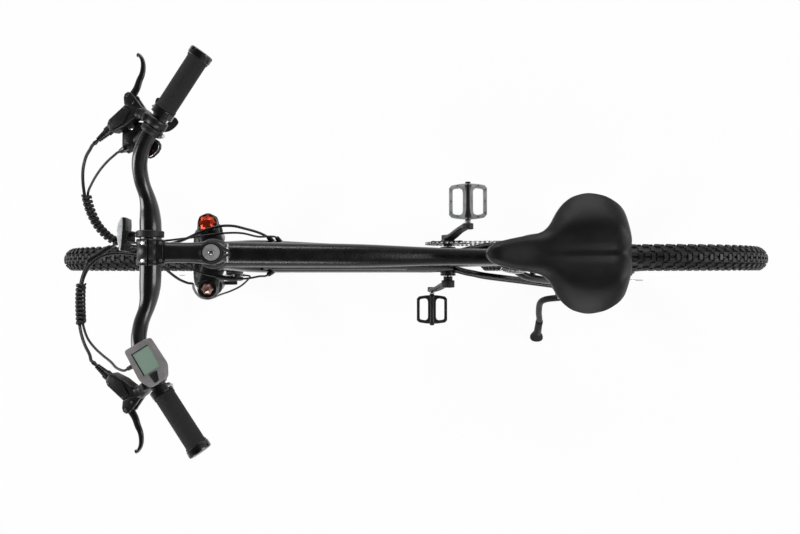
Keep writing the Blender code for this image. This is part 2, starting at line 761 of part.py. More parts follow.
ROTOR_BOSS_RADIUS = 0.0182
ROTOR_BOSS_PROUD = 0.0015
FRONT_FLANGES = (0.0230, -0.0330)
FRONT_FLANGE_RADIUS = 0.0240
MOTOR_FLANGES = (0.0250, -0.0150)
MOTOR_FLANGE_RADIUS = 0.0680
MOTOR_RADIUS = 0.0600
FREEWHEEL_RADIUS = 0.0165


def build_front_hub():
    """Turned shell: a boss for the disc, two flanges and a slim right end."""
    half = FRONT_HUB_WIDTH / 2 - FIT
    left, right = FRONT_FLANGES
    t = FLANGE_HALF
    rim = FRONT_FLANGE_RADIUS
    disc = FRONT_ROTOR_Y + ROTOR_BOSS_PROUD
    shell = turned([(0.010, half), (0.010, disc), (ROTOR_BOSS_RADIUS, disc), (ROTOR_BOSS_RADIUS, left + 0.008),
                    (0.014, left + 0.005), (rim, left + t), (rim, left - t), (0.014, left - 0.006),
                    (0.014, right + 0.006), (rim, right + t), (rim, right - t), (0.014, right - 0.006),
                    (0.010, right - 0.010), (0.010, -half), (AXLE_RADIUS + RUNNING, -half),
                    (AXLE_RADIUS + RUNNING, half)], MEDIUM)
    y_axis(shell, (0, 0, 0))
    return combine(shell, spoke_sets(28, math.radians(52), left, right, rim))


def build_motor_hub():
    """Geared hub motor: drum with flanges, side covers and a boss for the freewheel."""
    half = REAR_HUB_WIDTH / 2 - FIT
    left, right = MOTOR_FLANGES
    t = FLANGE_HALF
    rim = MOTOR_FLANGE_RADIUS
    drum = MOTOR_RADIUS
    bore = AXLE_RADIUS + RUNNING
    disc = REAR_ROTOR_Y + ROTOR_BOSS_PROUD
    free_end = -half + 0.0020
    shell = turned([(0.012, half - 0.006), (0.012, disc), (ROTOR_BOSS_RADIUS, disc),
                    (ROTOR_BOSS_RADIUS, left + 0.018), (0.034, left + 0.016), (drum - 0.006, left + 0.010),
                    (drum, left + 0.004), (rim, left + t), (rim, left - t), (drum, left - 0.004),
                    (drum, right + 0.004), (rim, right + t), (rim, right - t), (drum, right - 0.004),
                    (drum - 0.008, right - 0.009), (0.022, right - 0.0120), (FREEWHEEL_RADIUS, right - 0.0125),
                    (FREEWHEEL_RADIUS, free_end), (bore, free_end), (bore, half - 0.006)], FINE)
    y_axis(shell, (0, 0, 0))
    return combine(shell, spoke_sets(28, math.radians(24), left, right, rim))


def ring_windows(count, share, outer, inner, outer_points, lean=0.0):
    """Window outlines between two radii, so many round a disc."""
    windows = []
    edge = (1 - share) / 2
    for k in range(count):
        a0 = 2 * math.pi * (k + edge) / count
        a1 = 2 * math.pi * (k + 1 - edge) / count
        loop = []
        for i in range(outer_points):
            a = a0 + (a1 - a0) * i / (outer_points - 1)
            loop.append((outer * math.cos(a), outer * math.sin(a)))
        for i in range(3):
            a = a1 - (a1 - a0) * (0.15 + 0.35 * i) - lean
            loop.append((inner * math.cos(a), inner * math.sin(a)))
        windows.append(loop)
    return windows


def build_rotor():
    """Brake disc with six windows between its leaning arms."""
    half = ROTOR_THICKNESS / 2
    windows = ring_windows(6, 0.80, 0.064, 0.029, 4, 0.22)
    hole = circle((ROTOR_BOSS_RADIUS + FIT) / math.cos(math.pi / FINE), FINE)
    bm = prism(circle(ROTOR_RADIUS, 24), -half, half, [*windows, hole])
    return y_axis(bm, (0, 0, 0))


# Drivetrain

def pitch_radius(teeth):
    return CHAIN_PITCH / (2 * math.sin(math.pi / teeth))


def sprocket_outline(teeth, tip_out=0.0020, root_in=0.0030):
    """Toothed outline: a root and a tip for each tooth, measured from the pitch circle."""
    root = pitch_radius(teeth) - root_in
    tip = pitch_radius(teeth) + tip_out
    points = []
    for i in range(teeth):
        for share, radius in ((0.0, root), (0.5, tip)):
            a = 2 * math.pi * (i + share) / teeth
            points.append((radius * math.cos(a), radius * math.sin(a)))
    return points


def build_chainring():
    """Toothed ring with five windows round its bolt circle."""
    windows = ring_windows(5, 0.66, 0.0500, 0.0300, 3)
    bm = prism(sprocket_outline(RING_TEETH), -0.0010, 0.0010, [*windows, circle(0.0200, 20)])
    return y_axis(bm, (BRACKET.x, -CHAINLINE, BRACKET.z))


COG_STEPS = 12


def build_cassette():
    """Seven cogs and their spacers as one turned stack; the cog in use also has its teeth."""
    bore = clear(FREEWHEEL_RADIUS, COG_STEPS)
    spacer = 0.0240
    half = 0.0009
    first = -CHAINLINE + COG_SPACING * CASSETTE_TEETH.index(COG_TEETH)
    profile = [(bore, first + 0.0022), (spacer, first + 0.0022)]
    for i, teeth in enumerate(CASSETTE_TEETH):
        y = first - COG_SPACING * i
        outer = pitch_radius(teeth) + (0.0020 if teeth != COG_TEETH else -0.0040)
        profile += [(outer, y + half), (outer, y - half), (spacer, y - half - 0.0004)]
    profile += [(bore, profile[-1][1])]
    stack = y_axis(turned(profile, COG_STEPS), (0, 0, 0))
    hole = circle(spacer - 0.002, COG_TEETH)
    toothed = y_axis(prism(sprocket_outline(COG_TEETH), -half * 1.1, half * 1.1, [hole]), (0, -CHAINLINE, 0))
    stack = combine(stack, [toothed])
    stack.transform(Matrix.Translation(REAR_AXLE))
    return stack


GUIDE_PULLEY = REAR_AXLE + Vector((GUIDE_PULLEY_OFFSET[0], -CHAINLINE, GUIDE_PULLEY_OFFSET[1]))
TENSION_PULLEY = REAR_AXLE + Vector((TENSION_PULLEY_OFFSET[0], -CHAINLINE, TENSION_PULLEY_OFFSET[1]))
PULLEY_PIN_RADIUS = 0.0024


def build_pulley(centre, tip_out, root_in):
    """Toothed wheel; the chain's back runs over the upper one, so its teeth stay lower."""
    bore = circle(PULLEY_PIN_RADIUS + RUNNING, 8)
    return y_axis(prism(sprocket_outline(PULLEY_TEETH, tip_out, root_in), -0.0010, 0.0010, [bore]), centre)


def tangent(c0, r0, s0, c1, r1, s1):
    """Points where a belt leaves one wheel and meets the next; a turn of 1 is clockwise."""
    d = c1 - c0
    k = s0 * r0 - s1 * r1
    length = math.sqrt(d.length_squared - k * k)
    a = math.atan2(d.y, d.x) - math.atan2(k, length)
    n = Vector((-math.sin(a), math.cos(a)))
    return c0 + n * (s0 * r0), c1 + n * (s1 * r1)


def chain_route():
    """Pitch line of the chain in world X and Z, in steps of one pitch."""
    wheels = [
        (Vector((REAR_AXLE.x, REAR_AXLE.z)), pitch_radius(COG_TEETH), 1),
        (Vector((BRACKET.x, BRACKET.z)), pitch_radius(RING_TEETH), 1),
        (Vector((TENSION_PULLEY.x, TENSION_PULLEY.z)), pitch_radius(PULLEY_TEETH), 1),
        (Vector((GUIDE_PULLEY.x, GUIDE_PULLEY.z)), pitch_radius(PULLEY_TEETH), -1),
    ]
    spans = [tangent(*wheel, *wheels[(i + 1) % len(wheels)]) for i, wheel in enumerate(wheels)]
    line = []
    for i, (c, r, s) in enumerate(wheels):
        arrive = spans[i - 1][1] - c
        leave = spans[i][0] - c
        a0 = math.atan2(arrive.y, arrive.x)
        a1 = math.atan2(leave.y, leave.x)
        turn = (a0 - a1) % (2 * math.pi) if s > 0 else (a1 - a0) % (2 * math.pi)
        steps = max(4, round(turn * r / 0.004))
        for k in range(steps + 1):
            a = a0 - s * turn * k / steps
            line.append(c + Vector((math.cos(a), math.sin(a))) * r)
    return even_steps(line, CHAIN_PITCH)


def even_steps(line, pitch):
    """Points at equal steps along a closed line, an even count, as near the pitch as closes."""
    closed = [*line, line[0]]
    total = sum((b - a).length for a, b in zip(closed, closed[1:]))
    count = 2 * round(total / pitch / 2)
    step = total / count
    out = []
    walked = 0.0
    for a, b in zip(closed, closed[1:]):
        length = (b - a).length
        while len(out) < count and len(out) * step <= walked + length:
            t = (len(out) * step - walked) / length if length > 0 else 0.0
            out.append(a.lerp(b, t))
        walked += length
    return out


def build_chain():
    """Closed chain: wide and narrow links take turns, and a groove inside clears the teeth."""
    line = chain_route()
    count = len(line)
    half = CHAIN_HEIGHT / 2
    groove = CHAIN_GROOVE / 2
    rings = []
    for i, p in enumerate(line):
        direction = (line[(i + 1) % count] - line[i - 1]).normalized()
        out = Vector((-direction.y, direction.x))
        w = CHAIN_WIDTH / 2 if i % 2 else CHAIN_WIDTH / 2 * CHAIN_WAIST
        section = ((w, half), (-w, half), (-w, -half), (-groove, half - CHAIN_ROOF),
                   (groove, half - CHAIN_ROOF), (w, -half))
        ring = []
        for y, z in section:
            q = p + out * z
            ring.append(Vector((q.x, y - CHAINLINE, q.y)))
        rings.append(ring)
    return loft(rings, closed=True)


def cage_plate(y):
    """Slim plate from one pulley's axle to the other's."""
    a = Vector((GUIDE_PULLEY.x, GUIDE_PULLEY.z))
    b = Vector((TENSION_PULLEY.x, TENSION_PULLEY.z))
    direction = (b - a).normalized()
    side = Vector((-direction.y, direction.x))
    outline = []
    for centre, start in ((a, 0), (b, math.pi)):
        for i in range(7):
            angle = start + math.pi * i / 6
            outline.append(centre + side * math.cos(angle) * 0.0075 - direction * math.sin(angle) * 0.0075)
    return vertical_plate([(p.x, p.y) for p in outline], y - 0.0008, y + 0.0008)


def build_derailleur():
    """Hanger knuckle, two parallel links, lower knuckle and the cage that holds the pulleys."""
    outer_y = -REAR_HUB_WIDTH / 2 - DROPOUT_THICKNESS - 2 * FIT
    knuckle = REAR_AXLE + Vector((-0.0085, outer_y - 0.009, -0.027))
    top = rod(knuckle + Vector((0, 0.009, 0)), knuckle - Vector((0, 0.012, 0)), 0.0110, sides=COARSE)
    lower = GUIDE_PULLEY + Vector((0, -0.0185, 0))
    body = rod(lower + Vector((0, 0.0085, 0)), lower - Vector((0, 0.0110, 0)), 0.0120, sides=COARSE)
    links = []
    for lift in (-0.0070, 0.0030):
        shift = Vector((0, lift, 0))
        links.append(tube([knuckle + shift, (knuckle + lower) / 2 + shift + Vector((-0.006, -0.006, 0)),
                           lower + shift], 0.0042, 1))
    plates = [cage_plate(-CHAINLINE + y) for y in (-0.0056, 0.0056)]
    pins = [rod(c - Vector((0, 0.0056, 0)), c + Vector((0, 0.0056, 0)), PULLEY_PIN_RADIUS, sides=8)
            for c in (GUIDE_PULLEY, TENSION_PULLEY)]
    stem = rod(GUIDE_PULLEY - Vector((0, 0.0050, 0)), lower, 0.0060, sides=COARSE)
    adjuster = rod(BARREL_ADJUSTER[0], BARREL_ADJUSTER[1], 0.0048, 0.0036, sides=8)
    return combine(top, [body, *links, *plates, *pins, stem, adjuster])


CRANK_DIRECTION = Vector((math.cos(math.radians(CRANK_ANGLE)), 0, math.sin(math.radians(CRANK_ANGLE))))


def crank_arm(side):
    """Forged arm that flares outwards from its hub to the pedal eye, with the pedal's axle."""
    direction = CRANK_DIRECTION if side < 0 else -CRANK_DIRECTION
    across = Vector((-direction.z, 0, direction.x))
    inner = CRANK_INNER_Y
    eye_out = PEDAL_EYE_Y + 0.007
    stations = ((0.000, 0.0170, inner + 0.0090, 0.0080), (0.040, 0.0145, inner + 0.0130, 0.0070),
                (0.100, 0.0130, PEDAL_EYE_Y - 0.0060, 0.0062), (0.150, 0.0135, PEDAL_EYE_Y, 0.0065),
                (CRANK_LENGTH, 0.0130, PEDAL_EYE_Y, 0.0070))
    rings = []
    for distance, half_width, y, half_thick in stations:
        centre = BRACKET + direction * distance + Vector((0, side * y, 0))
        rings.append([centre + across * u + Vector((0, v, 0))
                      for u, v in ring_points(8, half_width, half_thick, power=3.0)])
    eye = BRACKET + direction * CRANK_LENGTH

    def lateral(base, start, end, radius, sides):
        return rod(base + Vector((0, side * start, 0)), base + Vector((0, side * end, 0)), radius, sides=sides)

    extras = [
        lateral(BRACKET, inner - 0.0025, inner + CRANK_HUB_WIDTH, 0.0185, FINE),
        lateral(eye, PEDAL_EYE_Y - 0.0078, eye_out, 0.0138, MEDIUM),
        lateral(eye, eye_out - 0.002, PEDAL_CENTRE_Y + PEDAL_WIDTH / 2 - 0.006, PEDAL_AXLE_RADIUS, COARSE),
        lateral(eye, eye_out - 0.001, eye_out + 0.005, 0.0085, COARSE),
    ]
    return loft(rings), extras


def spider_outline():
    """Five-armed star that the chainring bolts to."""
    points = []
    for k in range(5):
        a = 2 * math.pi * k / 5
        for offset, radius in ((-0.16, 0.044), (0.0, 0.0475), (0.16, 0.044), (0.45, 0.026), (0.80, 0.026)):
            points.append((radius * math.cos(a + offset), radius * math.sin(a + offset)))
    return points


def build_right_crank():
    """Right arm, spider and the spindle that runs through the bracket."""
    arm, extras = crank_arm(-1)
    half = Vector((0, CRANK_INNER_Y + 0.004, 0))
    spindle = rod(BRACKET - half, BRACKET + half, SPINDLE_RADIUS, sides=COARSE)
    thick = 0.0028
    face = -CHAINLINE - 0.0010 - FIT
    spider = y_axis(prism(spider_outline(), -thick, thick), (BRACKET.x, face - thick, BRACKET.z))
    return combine(arm, [*extras, spindle, spider])


def build_left_crank():
    """Left arm, bored to sit on the spindle's end."""
    arm, extras = crank_arm(1)
    joined = combine(arm, extras)
    seat = rod(BRACKET + Vector((0, CRANK_INNER_Y - 0.01, 0)),
               BRACKET + Vector((0, CRANK_INNER_Y + 0.004 + FIT, 0)), clear(SPINDLE_RADIUS, COARSE), sides=COARSE)
    return cut(joined, [seat])


def pedal_centre(side):
    direction = CRANK_DIRECTION if side < 0 else -CRANK_DIRECTION
    return BRACKET + direction * CRANK_LENGTH + Vector((0, side * PEDAL_CENTRE_Y, 0))


def pedal_outline(half_x, half_y, crown):
    """Cage outline: straight front and rear edges, bowed inner and outer ends."""
    points = []
    for end in (1, -1):
        for i in range(5):
            t = -1 + 2 * i / 4
            points.append((-end * t * half_x, end * (half_y - crown * t * t)))
    return points


def build_pedal(side):
    """Platform cage with two windows, a barrel for the axle and traction pins."""
    half_x = PEDAL_LENGTH / 2
    half_y = PEDAL_WIDTH / 2
    windows = []
    for lead in (1, -1):
        x0 = 0.0105
        x1 = half_x - 0.0115
        windows.append([(lead * x0, -half_y + 0.020), (lead * (x0 + 0.006), -half_y + 0.0125),
                        (lead * x1, -half_y + 0.0145), (lead * x1, half_y - 0.0145),
                        (lead * (x0 + 0.006), half_y - 0.0125), (lead * x0, half_y - 0.020)])
    level = PEDAL_THICKNESS / 2 - 0.002
    cage = prism(pedal_outline(half_x, half_y, 0.0065), -level, level, windows)
    barrel = rod((0, -half_y + 0.001, 0), (0, half_y - 0.001, 0), 0.0092, sides=COARSE)
    pins = []
    for x in (-half_x + 0.0055, half_x - 0.0055):
        for y in (-0.020, 0.020):
            for z in (-1, 1):
                pins.append(rod((x, y, z * (level - 0.001)), (x, y, z * (level + 0.004)), 0.0016, sides=4))
    body = combine(cage, [barrel, *pins])
    reach = -side * (half_y + 0.01)
    stop = side * (half_y - 0.004)
    body = cut(body, [rod((0, reach, 0), (0, stop, 0), clear(PEDAL_AXLE_RADIUS, COARSE), sides=COARSE)])
    body.transform(Matrix.Translation(pedal_centre(side)))
    return body


# Rear axle and brake calipers

def build_rear_axle():
    """Fixed hollow motor axle with a washer and a nut at each end, and the motor's cable out of its left end."""
    half = REAR_HUB_WIDTH / 2 + DROPOUT_THICKNESS + 2 * FIT
    shaft = rod((0, -half - 0.014, 0), (0, half + 0.014, 0), AXLE_RADIUS, sides=COARSE)
    ends = []
    for side in (-1, 1):
        washer = side * half
        nut = side * (half + 0.002)
        ends.append(rod((0, washer, 0), (0, nut, 0), 0.0120, sides=COARSE))
        ends.append(rod((0, nut, 0), (0, side * (half + 0.011), 0), 0.0098, sides=6))
    bm = combine(shaft, ends)
    bm.transform(Matrix.Translation(REAR_AXLE))
    end, out = port_line(5)
    path = [*smooth_path([*MOTOR_CABLE_ROUTE, end + out.normalized() * STRAIGHT_END], 2), end]
    return combine(bm, [tube(path, MOTOR_CABLE_RADIUS)])


CALIPER_OUTER = 0.0155
CALIPER_INNER = 0.0172
CALIPER_REACH = 0.072
CALIPER_PORT = 0.034
REAR_CALIPER_ANGLE = math.radians(24)
FRONT_CALIPER_ANGLE = math.radians(150)


def caliper(axle, angle, rotor_y):
    """Caliper astride its rotor: its mouth faces the axle, and its hose port faces away."""
    out = Vector((math.cos(angle), 0, math.sin(angle)))
    side = Vector((out.z, 0, -out.x))
    mouth = axle + out * CALIPER_REACH
    turn = Matrix((side, Vector((0, 1, 0)), out)).transposed()
    shell = block(mouth + out * 0.005, (0.042, 2 * CALIPER_OUTER, 0.032), turn)
    shell = bevelled(shell, 0.005, 1, 60)
    piston = rod(mouth - Vector((0, CALIPER_INNER, 0)), mouth + Vector((0, CALIPER_OUTER, 0)), 0.0120, sides=COARSE)
    port = rod(mouth + out * 0.018, mouth + out * CALIPER_PORT, 0.0045, sides=COARSE)
    slot = block(mouth - out * 0.014, (0.090, ROTOR_THICKNESS + 0.0022, 0.052), turn)
    body = cut(combine(shell, [piston, port]), [slot])
    body.transform(Matrix.Translation((0, rotor_y, 0)))
    return body


def build_rear_caliper():
    return caliper(REAR_AXLE, REAR_CALIPER_ANGLE, REAR_ROTOR_Y)


def build_front_caliper():
    """In the steering frame, behind the left leg."""
    body = caliper(Vector((FORK_OFFSET, 0, 0)), FRONT_CALIPER_ANGLE, FRONT_ROTOR_Y)
    body.transform(STEER)
    return body


# Fork

def build_fork_upper():
    """Crown with its steerer, the lower bearing on its race, and the two stanchions pressed in."""
    stations = ((-LEG_SPREAD - 0.0205, 0.0130), (-LEG_SPREAD - 0.012, 0.0205), (-LEG_SPREAD + 0.012, 0.0205),
                (-0.018, 0.0240), (0.018, 0.0240), (LEG_SPREAD - 0.012, 0.0205), (LEG_SPREAD + 0.012, 0.0205),
                (LEG_SPREAD + 0.0205, 0.0130))
    middle = (CROWN_BOTTOM + CROWN_TOP) / 2
    rings = []
    for y, half_x in stations:
        x = LEG_OFFSET * min(1.0, abs(y) / (LEG_SPREAD - 0.012))
        rings.append([Vector((x + u, y, middle + v))
                      for u, v in ring_points(8, half_x, (CROWN_TOP - CROWN_BOTTOM) / 2, power=4.0)])
    extras = [rod((0, 0, CROWN_TOP - 0.01), (0, 0, STEM_TOP - 0.003), STEERER_RADIUS, sides=MEDIUM),
              rod((0, 0, CROWN_TOP - 0.01), (0, 0, HEAD_TUBE_BOTTOM - CUP_HEIGHT - FIT), 0.0235, 0.0225,
                  sides=MEDIUM),
              rod((0, 0, CROWN_TOP - 0.005), (0, 0, HEAD_TUBE_BOTTOM - 0.001), fitted(HEAD_TUBE_BORE), sides=MEDIUM)]
    for side in (-1, 1):
        y = side * LEG_SPREAD
        extras.append(rod((LEG_OFFSET, y, STANCHION_BOTTOM), (LEG_OFFSET, y, CROWN_TOP + 0.004), STANCHION_RADIUS,
                          sides=MEDIUM))
        extras.append(rod((LEG_OFFSET, y, CROWN_TOP - 0.004), (LEG_OFFSET, y, CROWN_TOP + 0.006), 0.0172,
                          sides=MEDIUM))
    bm = combine(loft(rings), extras)
    bm.transform(STEER)
    return bm


KNOB_BASE = CROWN_TOP + 0.006 + FIT


def build_fork_knob(side, radius, height):
    """Faceted adjuster on top of one leg."""
    y = side * LEG_SPREAD
    base = rod((LEG_OFFSET, y, KNOB_BASE), (LEG_OFFSET, y, KNOB_BASE + height * 0.55), radius, sides=COARSE)
    cap = rod((LEG_OFFSET, y, KNOB_BASE + height * 0.5), (LEG_OFFSET, y, KNOB_BASE + height),
              radius * 0.92, radius * 0.66, sides=8)
    bm = combine(base, [cap])
    bm.transform(STEER)
    return bm


def arch_bow():
    """Bow over the tyre, from one lower leg to the other, set ahead of the legs."""
    half = ((LEG_OFFSET + 0.016, LEG_SPREAD, LOWERS_TOP - 0.032), (LEG_OFFSET + 0.0250, LEG_SPREAD - 0.003, 0.312),
            (LEG_OFFSET + 0.0285, LEG_SPREAD - 0.0100, 0.342), (LEG_OFFSET + 0.029, 0.034, 0.364))
    right = [(x, -y, z) for x, y, z in half]
    points = [*right, (LEG_OFFSET + 0.029, 0, 0.3715), *reversed(half)]
    return tube(smooth_path(points, 2), 0.0078, 1)


def fork_caliper_mount():
    """Lug on the left leg that the caliper's outer face bolts to."""
    face = FRONT_ROTOR_Y + CALIPER_OUTER + FIT
    return block((-0.0080, face + 0.005, 0.044), (0.050, 0.010, 0.030))


def build_fork_lowers():
    """Cast lower legs, bored for the stanchions, with the arch, the dropouts and the brake lug."""
    bore_bottom = STANCHION_BOTTOM - FORK_TRAVEL - 0.008
    x = LEG_OFFSET
    outline = [(x - 0.010, 0.050), (x + 0.010, 0.046), (FORK_OFFSET + 0.009, 0.016), (FORK_OFFSET + 0.015, 0.0),
               (FORK_OFFSET + 0.008, -0.014), (FORK_OFFSET - 0.006, -0.015), (x - 0.006, 0.002), (x - 0.013, 0.020)]
    pieces = []
    cuts = [rod((FORK_OFFSET, -0.08, 0), (FORK_OFFSET, 0.08, 0), clear(AXLE_RADIUS, COARSE), sides=COARSE)]
    for side in (-1, 1):
        y = side * LEG_SPREAD
        pieces.append(rod((x, y, 0.040), (x, y, LOWERS_TOP - 0.012), 0.0178, LOWER_LEG_RADIUS - 0.0015, sides=MEDIUM))
        pieces.append(rod((x, y, -0.010), (x, y, 0.046), 0.0105, 0.0178, sides=MEDIUM))
        pieces.append(rod((x, y, LOWERS_TOP - 0.040), (x, y, LOWERS_TOP), LOWER_LEG_RADIUS, sides=MEDIUM))
        low, high = sorted((side * (FRONT_HUB_WIDTH / 2 + FIT), side * (FRONT_HUB_WIDTH / 2 + 0.0085)))
        pieces.append(vertical_plate(outline, low, high))
        cuts.append(rod((x, y, bore_bottom), (x, y, LOWERS_TOP + 0.05), clear(STANCHION_RADIUS, MEDIUM), sides=MEDIUM))
    body = cut(combine(arch_bow(), [*pieces, fork_caliper_mount()]), cuts)
    body.transform(STEER)
    return body


def build_front_axle():
    """Bolt-through front axle with a head and a nut outside the dropouts."""
    half = FRONT_HUB_WIDTH / 2 + 0.0085 + FIT
    shaft = rod((FORK_OFFSET, -half - 0.010, 0), (FORK_OFFSET, half + 0.010, 0), AXLE_RADIUS, sides=COARSE)
    ends = []
    for side, sides in ((-1, 6), (1, 16)):
        ends.append(rod((FORK_OFFSET, side * half, 0), (FORK_OFFSET, side * (half + 0.007), 0), 0.0096, sides=sides))
    bm = combine(shaft, ends)
    bm.transform(STEER)
    return bm


# Stem, top cap, handlebar and grips

STEM_REACH = Vector((BAR_LOCAL.x, 0, BAR_LOCAL.z - STEM_MIDDLE)).normalized()
STEM_NORMAL = Vector((-STEM_REACH.z, 0, STEM_REACH.x))
STEM_TURN = Matrix((STEM_REACH, Vector((0, 1, 0)), STEM_NORMAL)).transposed()
CLAMP_SPLIT = 0.0008


def bar_cylinder(half, radius):
    """Straight cylinder on the bar's clamped middle, in the steering frame."""
    across = Vector((0, half, 0))
    return rod(BAR_LOCAL - across, BAR_LOCAL + across, radius, sides=FINE)


def build_stem():
    """Clamp round the steerer, neck, and the rear half of the handlebar clamp."""
    post = rod((0, 0, STEM_BOTTOM - SPACER_HEIGHT + FIT), (0, 0, STEM_TOP), STEM_CLAMP_RADIUS, sides=FINE)
    rings = []
    for share, half_y, half_z in ((-0.26, 0.0085, 0.0150), (0.08, 0.0160, 0.0175), (0.55, 0.0130, 0.0150),
                                  (0.95, 0.0190, 0.0160)):
        centre = Vector((0, 0, STEM_MIDDLE)) + STEM_REACH * (STEM_LENGTH * share)
        rings.append([centre + Vector((0, y, 0)) + STEM_NORMAL * z
                      for y, z in ring_points(12, half_y, half_z, power=3.0)])
    body = combine(post, [loft(rings), bar_cylinder(BAR_CLAMP_WIDTH / 2, FACEPLATE_RADIUS)])
    front = block(BAR_LOCAL + STEM_REACH * (0.050 + CLAMP_SPLIT), (0.100, 0.080, 0.080), STEM_TURN)
    steerer = rod((0, 0, STEM_BOTTOM - 0.03), (0, 0, STEM_TOP + 0.02), clear(STEERER_RADIUS), sides=FINE)
    split = block((-0.026, 0, STEM_MIDDLE), (0.030, 0.0022, 0.090))
    body = cut(body, [front, bar_cylinder(0.05, clear(BAR_CLAMP_RADIUS)), steerer, split])
    body.transform(STEER)
    return body


def build_faceplate():
    """Front half of the bar clamp, held by four bolts."""
    bolts = []
    for y in (-0.0135, 0.0135):
        for z in (-0.0170, 0.0170):
            foot = BAR_LOCAL + Vector((0, y, 0)) + STEM_NORMAL * z + STEM_REACH * 0.0032
            bolts.append(rod(foot, foot + STEM_REACH * 0.0155, 0.0045, sides=8))
    back = block(BAR_LOCAL - STEM_REACH * (0.050 - 2 * CLAMP_SPLIT), (0.100, 0.080, 0.080), STEM_TURN)
    body = combine(bar_cylinder(BAR_CLAMP_WIDTH / 2, FACEPLATE_RADIUS), bolts)
    body = cut(body, [back, bar_cylinder(0.05, clear(BAR_CLAMP_RADIUS))])
    body.transform(STEER)
    return body


def build_top_cap():
    """Dished cap with a raised bolt head."""
    base = STEM_TOP + FIT
    high = base + TOP_CAP_HEIGHT
    bm = turned([(0, high + 0.0006), (0.0042, high + 0.0006), (0.0050, high - 0.0012), (0.0062, high - 0.0012),
                 (TOP_CAP_RADIUS - 0.0015, high), (TOP_CAP_RADIUS, high - 0.0015), (TOP_CAP_RADIUS, base),
                 (0, base)], FINE)
    bm.transform(STEER)
    return bm


BAR_OFFSETS = ((0.000, 0.000, 0.000), (0.001, 0.056, 0.000), (0.003, 0.084, 0.004),
               (0.0075, 0.112, 0.014), (0.005, 0.142, 0.024), (-0.008, 0.172, 0.029), (-0.0318, 0.206, 0.0315),
               (-0.0657, 0.2520, 0.0358), (-0.0990, 0.2970, 0.0400))
BAR_STEPS = 2
BAR_TAPER_START = 0.045
BAR_TAPER_END = 0.100


def side_vector(side, v):
    return Vector((v[0], side * v[1], v[2]))


def bar_path():
    right = [BAR_CENTRE + side_vector(-1, p) for p in reversed(BAR_OFFSETS[1:])]
    left = [BAR_CENTRE + side_vector(1, p) for p in BAR_OFFSETS]
    return smooth_path([*right, *left], BAR_STEPS)


def build_handlebar():
    """Riser bar: thick at the clamp, slimmer outboard, swept back to the grips."""
    path = bar_path()
    radii = []
    for p in path:
        t = (abs(p.y) - BAR_TAPER_START) / (BAR_TAPER_END - BAR_TAPER_START)
        radii.append(1.0 - min(1.0, max(0.0, t)) * (1 - BAR_RADIUS / BAR_CLAMP_RADIUS))
    return tube(path, BAR_CLAMP_RADIUS, 3, radii)


def bar_bore():
    """Cutter that clears the slim part of the handlebar."""
    return tube(bar_path(), BAR_RADIUS + 2 * FIT, 3)


GRIP_OUTER = Vector(BAR_OFFSETS[-1])
GRIP_DIRECTION = (Vector(BAR_OFFSETS[-1]) - Vector(BAR_OFFSETS[-3])).normalized()
GRIP_INNER = GRIP_OUTER - GRIP_DIRECTION * (GRIP_LENGTH - 0.004)


def build_grip(side):
    """Lock-on grip: rubber sleeve with a clamp collar at each end, closed outside."""
    bore = clear(BAR_RADIUS, MEDIUM)
    r = GRIP_RADIUS
    length = GRIP_LENGTH
    bm = turned([(0, length - 0.0036), (bore, length - 0.0036), (bore, 0.0), (r + 0.0012, 0.0), (r + 0.0012, 0.0110),
                 (r - 0.0006, 0.0120), (r, 0.0140), (r, length - 0.016), (r + 0.0010, length - 0.0140),
                 (r + 0.0024, length - 0.0120), (r + 0.0024, length - 0.0010), (r + 0.0010, length),
                 (0, length)], MEDIUM)
    m = side_vector(side, GRIP_DIRECTION).to_track_quat("Z", "Y").to_matrix().to_4x4()
    m.translation = BAR_CENTRE + side_vector(side, GRIP_INNER)
    bm.transform(m)
    return bm


# Brake levers

LEVER_PIVOT = Vector((0.4015, 0.2470, 0.9960))
LEVER_POINTS = ((0.4015, 0.2470), (0.3945, 0.2580), (0.3860, 0.2700), (0.3818, 0.2810), (0.3822, 0.2950),
                (0.3870, 0.3085))
LEVER_HALF = (0.0060, 0.0052, 0.0050, 0.0048, 0.0044, 0.0040)
LEVER_THICKNESS = 0.0070
LEVER_PIN_RADIUS = 0.0022
HOSE_EXIT = Vector((0.4640, 0.1755, 0.9930))
CYLINDER_TAIL = Vector((0.4380, 0.1950, 0.9960))
CYLINDER_NOSE = Vector((0.3880, 0.2293, 0.9960))


